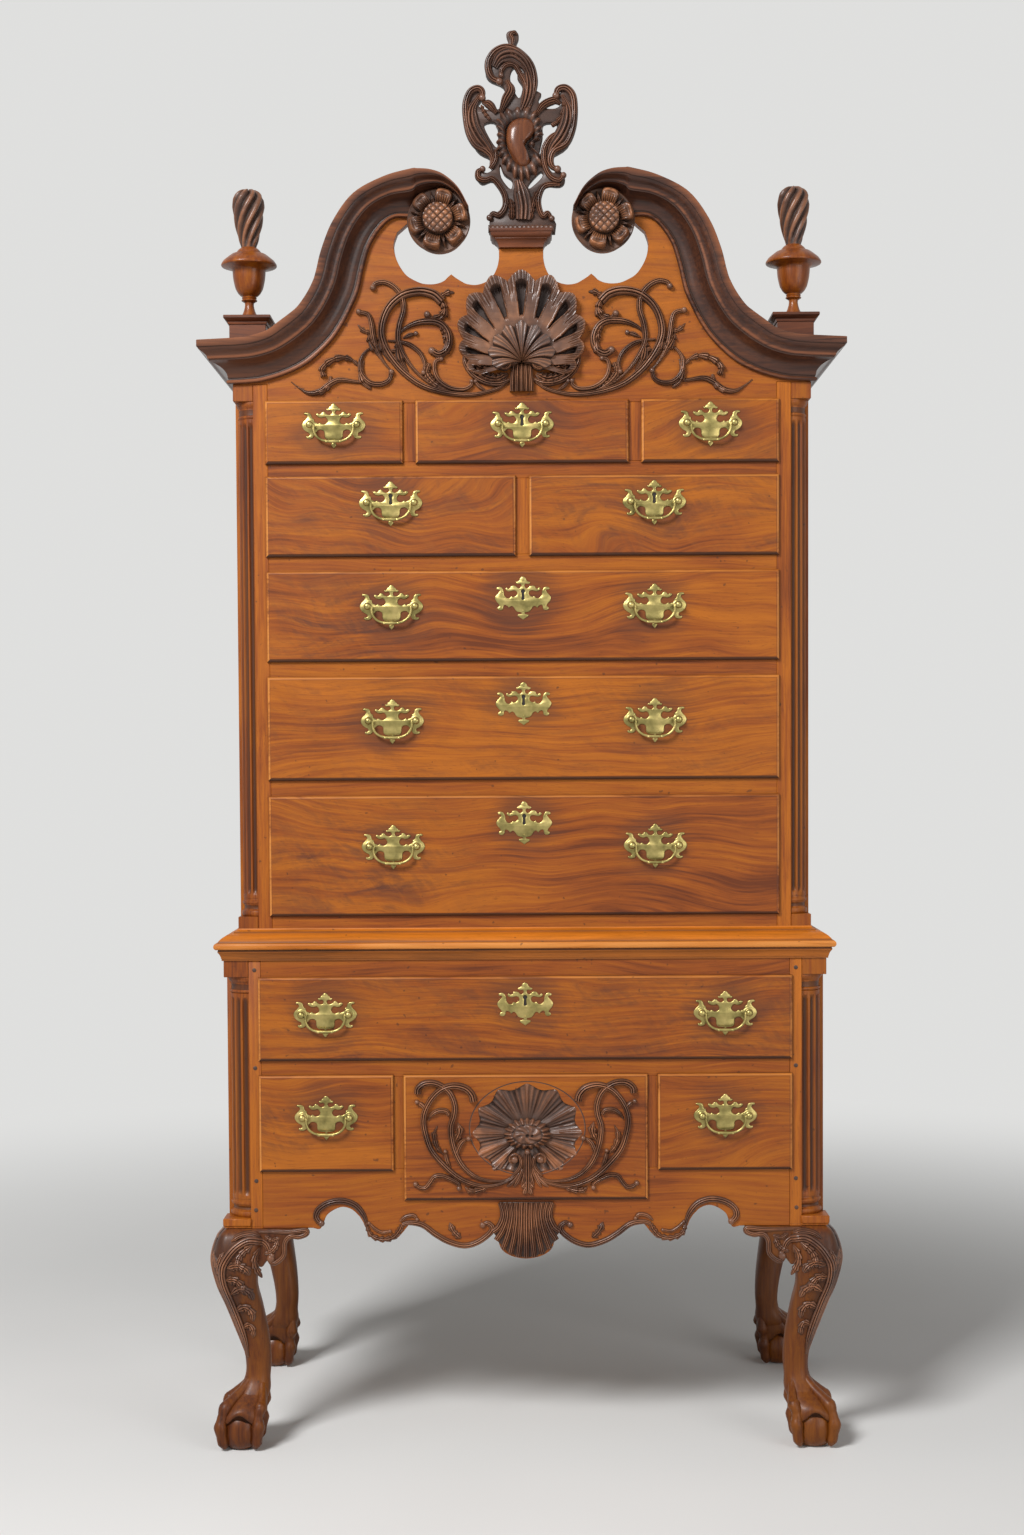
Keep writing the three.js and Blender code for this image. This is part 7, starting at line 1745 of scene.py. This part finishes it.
def leg_blank(front):
    """One leg in its own corner: the outer corner of the post stands at 0, 0."""
    b = Build()
    rings, darkness = [], []
    for rise, outer, inner, share in LEG_TABLE[::-1]:
        z = FOOT_TOP + LEG_RISE * rise
        low, high = OUTER_REACH * outer, POST * inner
        radius = share * (high - low)
        near, far = low + radius, high - radius
        ring = []
        for cx, cy, start in ((far, far, 0), (near, far, 90), (near, near, 180), (far, near, 270)):
            for a in (math.radians(start + 90 * k / 11) for k in range(12)):
                ring.append((cx + radius * math.cos(a), cy + radius * math.sin(a), z))
        rings.append(ring)
        deep = float(smooth(z, 170, 230) * (1 - smooth(z, 366, 378))) if front else 0.0
        darkness += [0.0] * 12 + [0.12 * deep] * 12 + [0.75 * deep] * 12 + [0.12 * deep] * 12
    sweep(b, rings, shading_grime_and_wear=darkness)
    foot(b)
    # glued knee brackets, one to each side of the post
    wing = Build()
    bracket = corners([(u * POST, APRON_EDGE + v * 92 - 0.3) for u, v in BRACKET], 4, (12, 13, 14))
    plate(wing, bracket, [(2.2, -6), (0.8, -5.2), (0, -3.4), (0, 23)], shading_grime_and_wear=0.3 if front else 0.0)
    if front:
        carve(wing, BRACKET_STRIPS, -5.6, 1.15, 1.1, slot=3)
        carve(wing, KNEE_STRIPS, knee_face, 1.25, 1.2, slot=3)
    b.merge(wing)
    b.merge(wing.remapped(lambda p: p[:, (1, 0, 2)]))
    if front:
        board(b, (0, POST), (0, POST), (379, 384.2), 1)
        notched = [(0, 42.3), (42.3, 42.3), (42.3, 0), (POST, 0), (POST, POST), (0, POST)]
        plate(b, notched, [(0.5, LOWER_TOP), (0, 849.4), (0, 384.2)], slot=1, plane="xy")
        board(b, (-5, 43), (-5, 43), (384.6, 398.4), 1, 1.8)
        board(b, (-3, 43), (-3, 43), (382, 384.7), 1, 0.8)
    else:
        board(b, (0, POST), (0, POST), (379, LOWER_TOP), 1)
    return b


def front_corner(p):
    return p + (-LOWER_HALF, 0, 0)


def rear_corner(p):
    """Turned to face backwards; nothing may stand out behind the case."""
    return np.maximum(p, (-20.4, -20.4, 0)) * (1, -1, 1) + (-LOWER_HALF, DEPTH, 0)


def legs():
    for place, own, corner in (("front", LEG_WOOD, front_corner), ("rear", SHADED_REAR_LEG_WOOD, rear_corner)):
        left = leg_blank(place == "front").remapped(corner, place == "rear")
        for word, part in (("left", left), ("right", left.mirrored())):
            name = f"{place}_leg_{word}"
            part.piece(name + "_carved", "case", [own, POST_WOOD, BALL_WOOD, CARVED], name, "walnut", 42)


# Materials shared by several pieces
SECONDARY_X = secondary("pine_across", "x", 1)
SECONDARY_X2 = secondary("pine_boards", "x", 2)
SECONDARY_Y = secondary("pine_sides", "y", 3)
SECONDARY_Z = secondary("pine_blocks", "z", 4)
IRON = brass_material("iron", 5)
BRASS = brass_material("brass", 1)
PAINTED_SHADE = painted_shade_material("keyhole_shade")
CARVED = carved("carved_dark", (0.090, 0.036, 0.020), (0.19, 0.074, 0.032), seed=1)
CARVED_BROWN = carved("carved_brown", (0.086, 0.038, 0.023), (0.19, 0.083, 0.042), seed=2)
CARVED_WARM = carved("carved_warm", (0.085, 0.036, 0.020), (0.21, 0.084, 0.036), seed=3)
CARVED_DEEP = carved("carved_deep", (0.062, 0.028, 0.018), (0.135, 0.056, 0.030), seed=4)
CARVED_DRAWER = carved("carved_drawer", (0.098, 0.040, 0.021), (0.215, 0.085, 0.038), seed=5)
CORNICE_WOOD = wood("cornice_wood", "x", 71, light=(0.090, 0.031, 0.014), mid=(0.052, 0.019, 0.011),
                    dark=(0.030, 0.012, 0.008), pore=(0.02, 0.009, 0.006), figure=0.3, lines=0.3, rough=0.33,
                    coat=0.2, wear_and_highlight=(0.25, 0.085, 0.034))
URN_WOOD = wood("urn_wood", "z", 72, scaled(GOLD, 0.72), scaled(ORANGE, 0.8), rough=0.36, coat=0.15)
PLINTH_WOOD = wood("plinth_wood", "x", 73, (0.15, 0.044, 0.016), (0.09, 0.027, 0.012), (0.05, 0.017, 0.010),
                   lines=0.3)
CABOCHON_WOOD = wood("cabochon_wood", "z", 74, (0.16, 0.052, 0.018), (0.105, 0.032, 0.012),
                     (0.055, 0.017, 0.008),
                     lines=0.3, rough=0.28, coat=0.2)
LEG_WOOD = wood("leg_wood", "z", 75, scaled(GOLD, 0.46), scaled(ORANGE, 0.46), scaled(BROWN, 0.45), lines=0.4,
                figure=0.3)
# a darker copy of the front legs' wood: painted shade for the rear legs under the case
SHADED_REAR_LEG_WOOD = wood("rear_leg_wood_shaded", "z", 76, scaled(GOLD, 0.34), scaled(ORANGE, 0.34), scaled(BROWN, 0.4),
                     lines=0.3,
                     figure=0.3)
POST_WOOD = wood("post_wood", "z", 77, scaled(GOLD, 0.95), figure=0.25)
BALL_WOOD = wood("ball_wood", "z", 78, scaled(GOLD, 0.5), scaled(ORANGE, 0.5), scaled(BROWN, 0.55), lines=0.3,
                 rough=0.36)
DRAWER_TONES = {
    "top_drawer_left": dict(seed=1, figure=1.5, crotch=0.5, light=scaled(GOLD, 0.86)),
    "top_drawer_centre": dict(seed=2, figure=1.6, crotch=0.55, light=scaled(GOLD, 0.85)),
    "top_drawer_right": dict(seed=3, figure=1.4, crotch=0.45, light=scaled(GOLD, 0.9)),
    "half_drawer_left": dict(seed=4, figure=2.0, crotch=0.75, light=scaled(GOLD, 0.9), wear=0.6),
    "half_drawer_right": dict(seed=5, figure=2.0, crotch=0.75, light=scaled(GOLD, 0.9), wear=0.6),
    "long_drawer_upper": dict(seed=6, figure=1.0, crotch=1.0, crotch_at=(-310, 1400, 260),
                              light=scaled(GOLD, 0.95), wear=0.6),
    "long_drawer_middle": dict(seed=7, figure=0.9, crotch=0.45, light=scaled(GOLD, 0.95), wear=0.6),
    "long_drawer_lower": dict(seed=8, figure=1.0, crotch=1.0, crotch_at=(-280, 1000, 300),
                              light=scaled(GOLD, 0.92), wear=0.6),
    "waist_drawer": dict(seed=9, figure=0.9, crotch=0.7, light=scaled(GOLD, 0.92), wear=0.6),
    "small_drawer_left": dict(seed=10, figure=1.0, crotch=1.0, crotch_at=(-420, 560, 120),
                              light=scaled(GOLD, 0.92), wear=0.6),
    "small_drawer_right": dict(seed=11, figure=1.0, crotch=0.7, crotch_at=(380, 560, 150),
                               light=scaled(GOLD, 0.9), wear=0.6),
    "shell_drawer": dict(seed=12, figure=0.5, crotch=0.15, light=scaled(GOLD, 0.88)),
}

for drawer_name in DRAWERS:
    drawer(drawer_name)
lower_case()
upper_case()
columns()
waist()
scroll_board()
cornice(-1, "left")
cornice(1, "right")
pediment_shell()
pediment_vines()
finial(-1, "left")
finial(1, "right")
cartouche()
legs()


# Studio: a pale floor that fades into the pale world far from the object, soft lamps and the camera
PALE = (0.74, 0.74, 0.73)


def seen_directly(n):
    """1 where a ray comes from the camera or a glossy surface."""
    rays = [n.node("LightPath", {}, f"Is {kind} Ray") for kind in ("Camera", "Glossy")]
    return n.math("MAXIMUM", *rays)


def floor():
    mesh = bpy.data.meshes.new("floor")
    reach = 16.0
    square = [(-reach, -reach), (reach, -reach), (reach, reach), (-reach, reach)]
    mesh.from_pydata([(x, y, -0.0006) for x, y in square], [], [(0, 1, 2, 3)])
    m, n, finish = material("floor_paper")
    finish(colour=n.ramp(n.noise(n.coords(), 1.2, 2.0), (0.3, PALE), (0.7, (0.78, 0.78, 0.77))), rough=0.9)
    x, y, _ = n.separate(n.node("NewGeometry", {}, "Position"))
    far = n.step(n.math("SQRT", x * x + y * y), 0.9, 3.6) * seen_directly(n)
    out, shader = m.node_tree.nodes[:2]
    glow = n.node("Emission", {"Color": (*PALE, 1)})
    n.set(out, 0, n.node("MixShader", {0: far, 1: Value(n, shader.outputs[0]), 2: glow}))
    mesh.materials.append(m)
    obj = bpy.data.objects.new("floor", mesh)
    bpy.context.scene.collection.objects.link(obj)


def lamp(name, place, aim, size, power):
    data = bpy.data.lights.new(name, "AREA")
    data.shape = "RECTANGLE"
    data.size, data.size_y = size
    data.energy = power
    obj = bpy.data.objects.new(name, data)
    obj.location = place
    obj.rotation_euler = (Vector(aim) - Vector(place)).to_track_quat("-Z", "Y").to_euler()
    bpy.context.scene.collection.objects.link(obj)


def surroundings():
    """Soft light from all round, and the pale ground seen behind the object."""
    world = bpy.data.worlds.new("world")
    bpy.context.scene.world = world
    world.use_nodes = True
    n = Nodes(world.node_tree)
    light = world.node_tree.nodes["Background"]
    n.set(light, 0, (1.0, 0.99, 0.97, 1))
    n.set(light, 1, 0.21)
    pale = n.node("Background", {0: (*PALE, 1)})
    both = n.node("MixShader", {0: seen_directly(n), 1: Value(n, light.outputs[0]), 2: pale})
    n.set(world.node_tree.nodes["World Output"], 0, both)


floor()
lamp("key", (-2.3, -3.7, 4.2), (0, 0, 1.2), (1.5, 1.5), 310)
lamp("fill", (2.9, -3.6, 1.7), (0, 0, 1.1), (2.4, 3.0), 58)
surroundings()

camera = bpy.data.cameras.new("camera")
camera.sensor_fit = "VERTICAL"
camera.sensor_height = 36
camera.lens = 50.80
camera.shift_x = -0.0077
camera.shift_y = 0.0470
eye = bpy.data.objects.new("camera", camera)
eye.location = (0, CASE_FRONT - 3.66, 1.188)
eye.rotation_euler = (math.radians(87.7), math.radians(0.31), 0)
bpy.context.scene.collection.objects.link(eye)
bpy.context.scene.camera = eye
bpy.context.scene.view_settings.view_transform = "Standard"
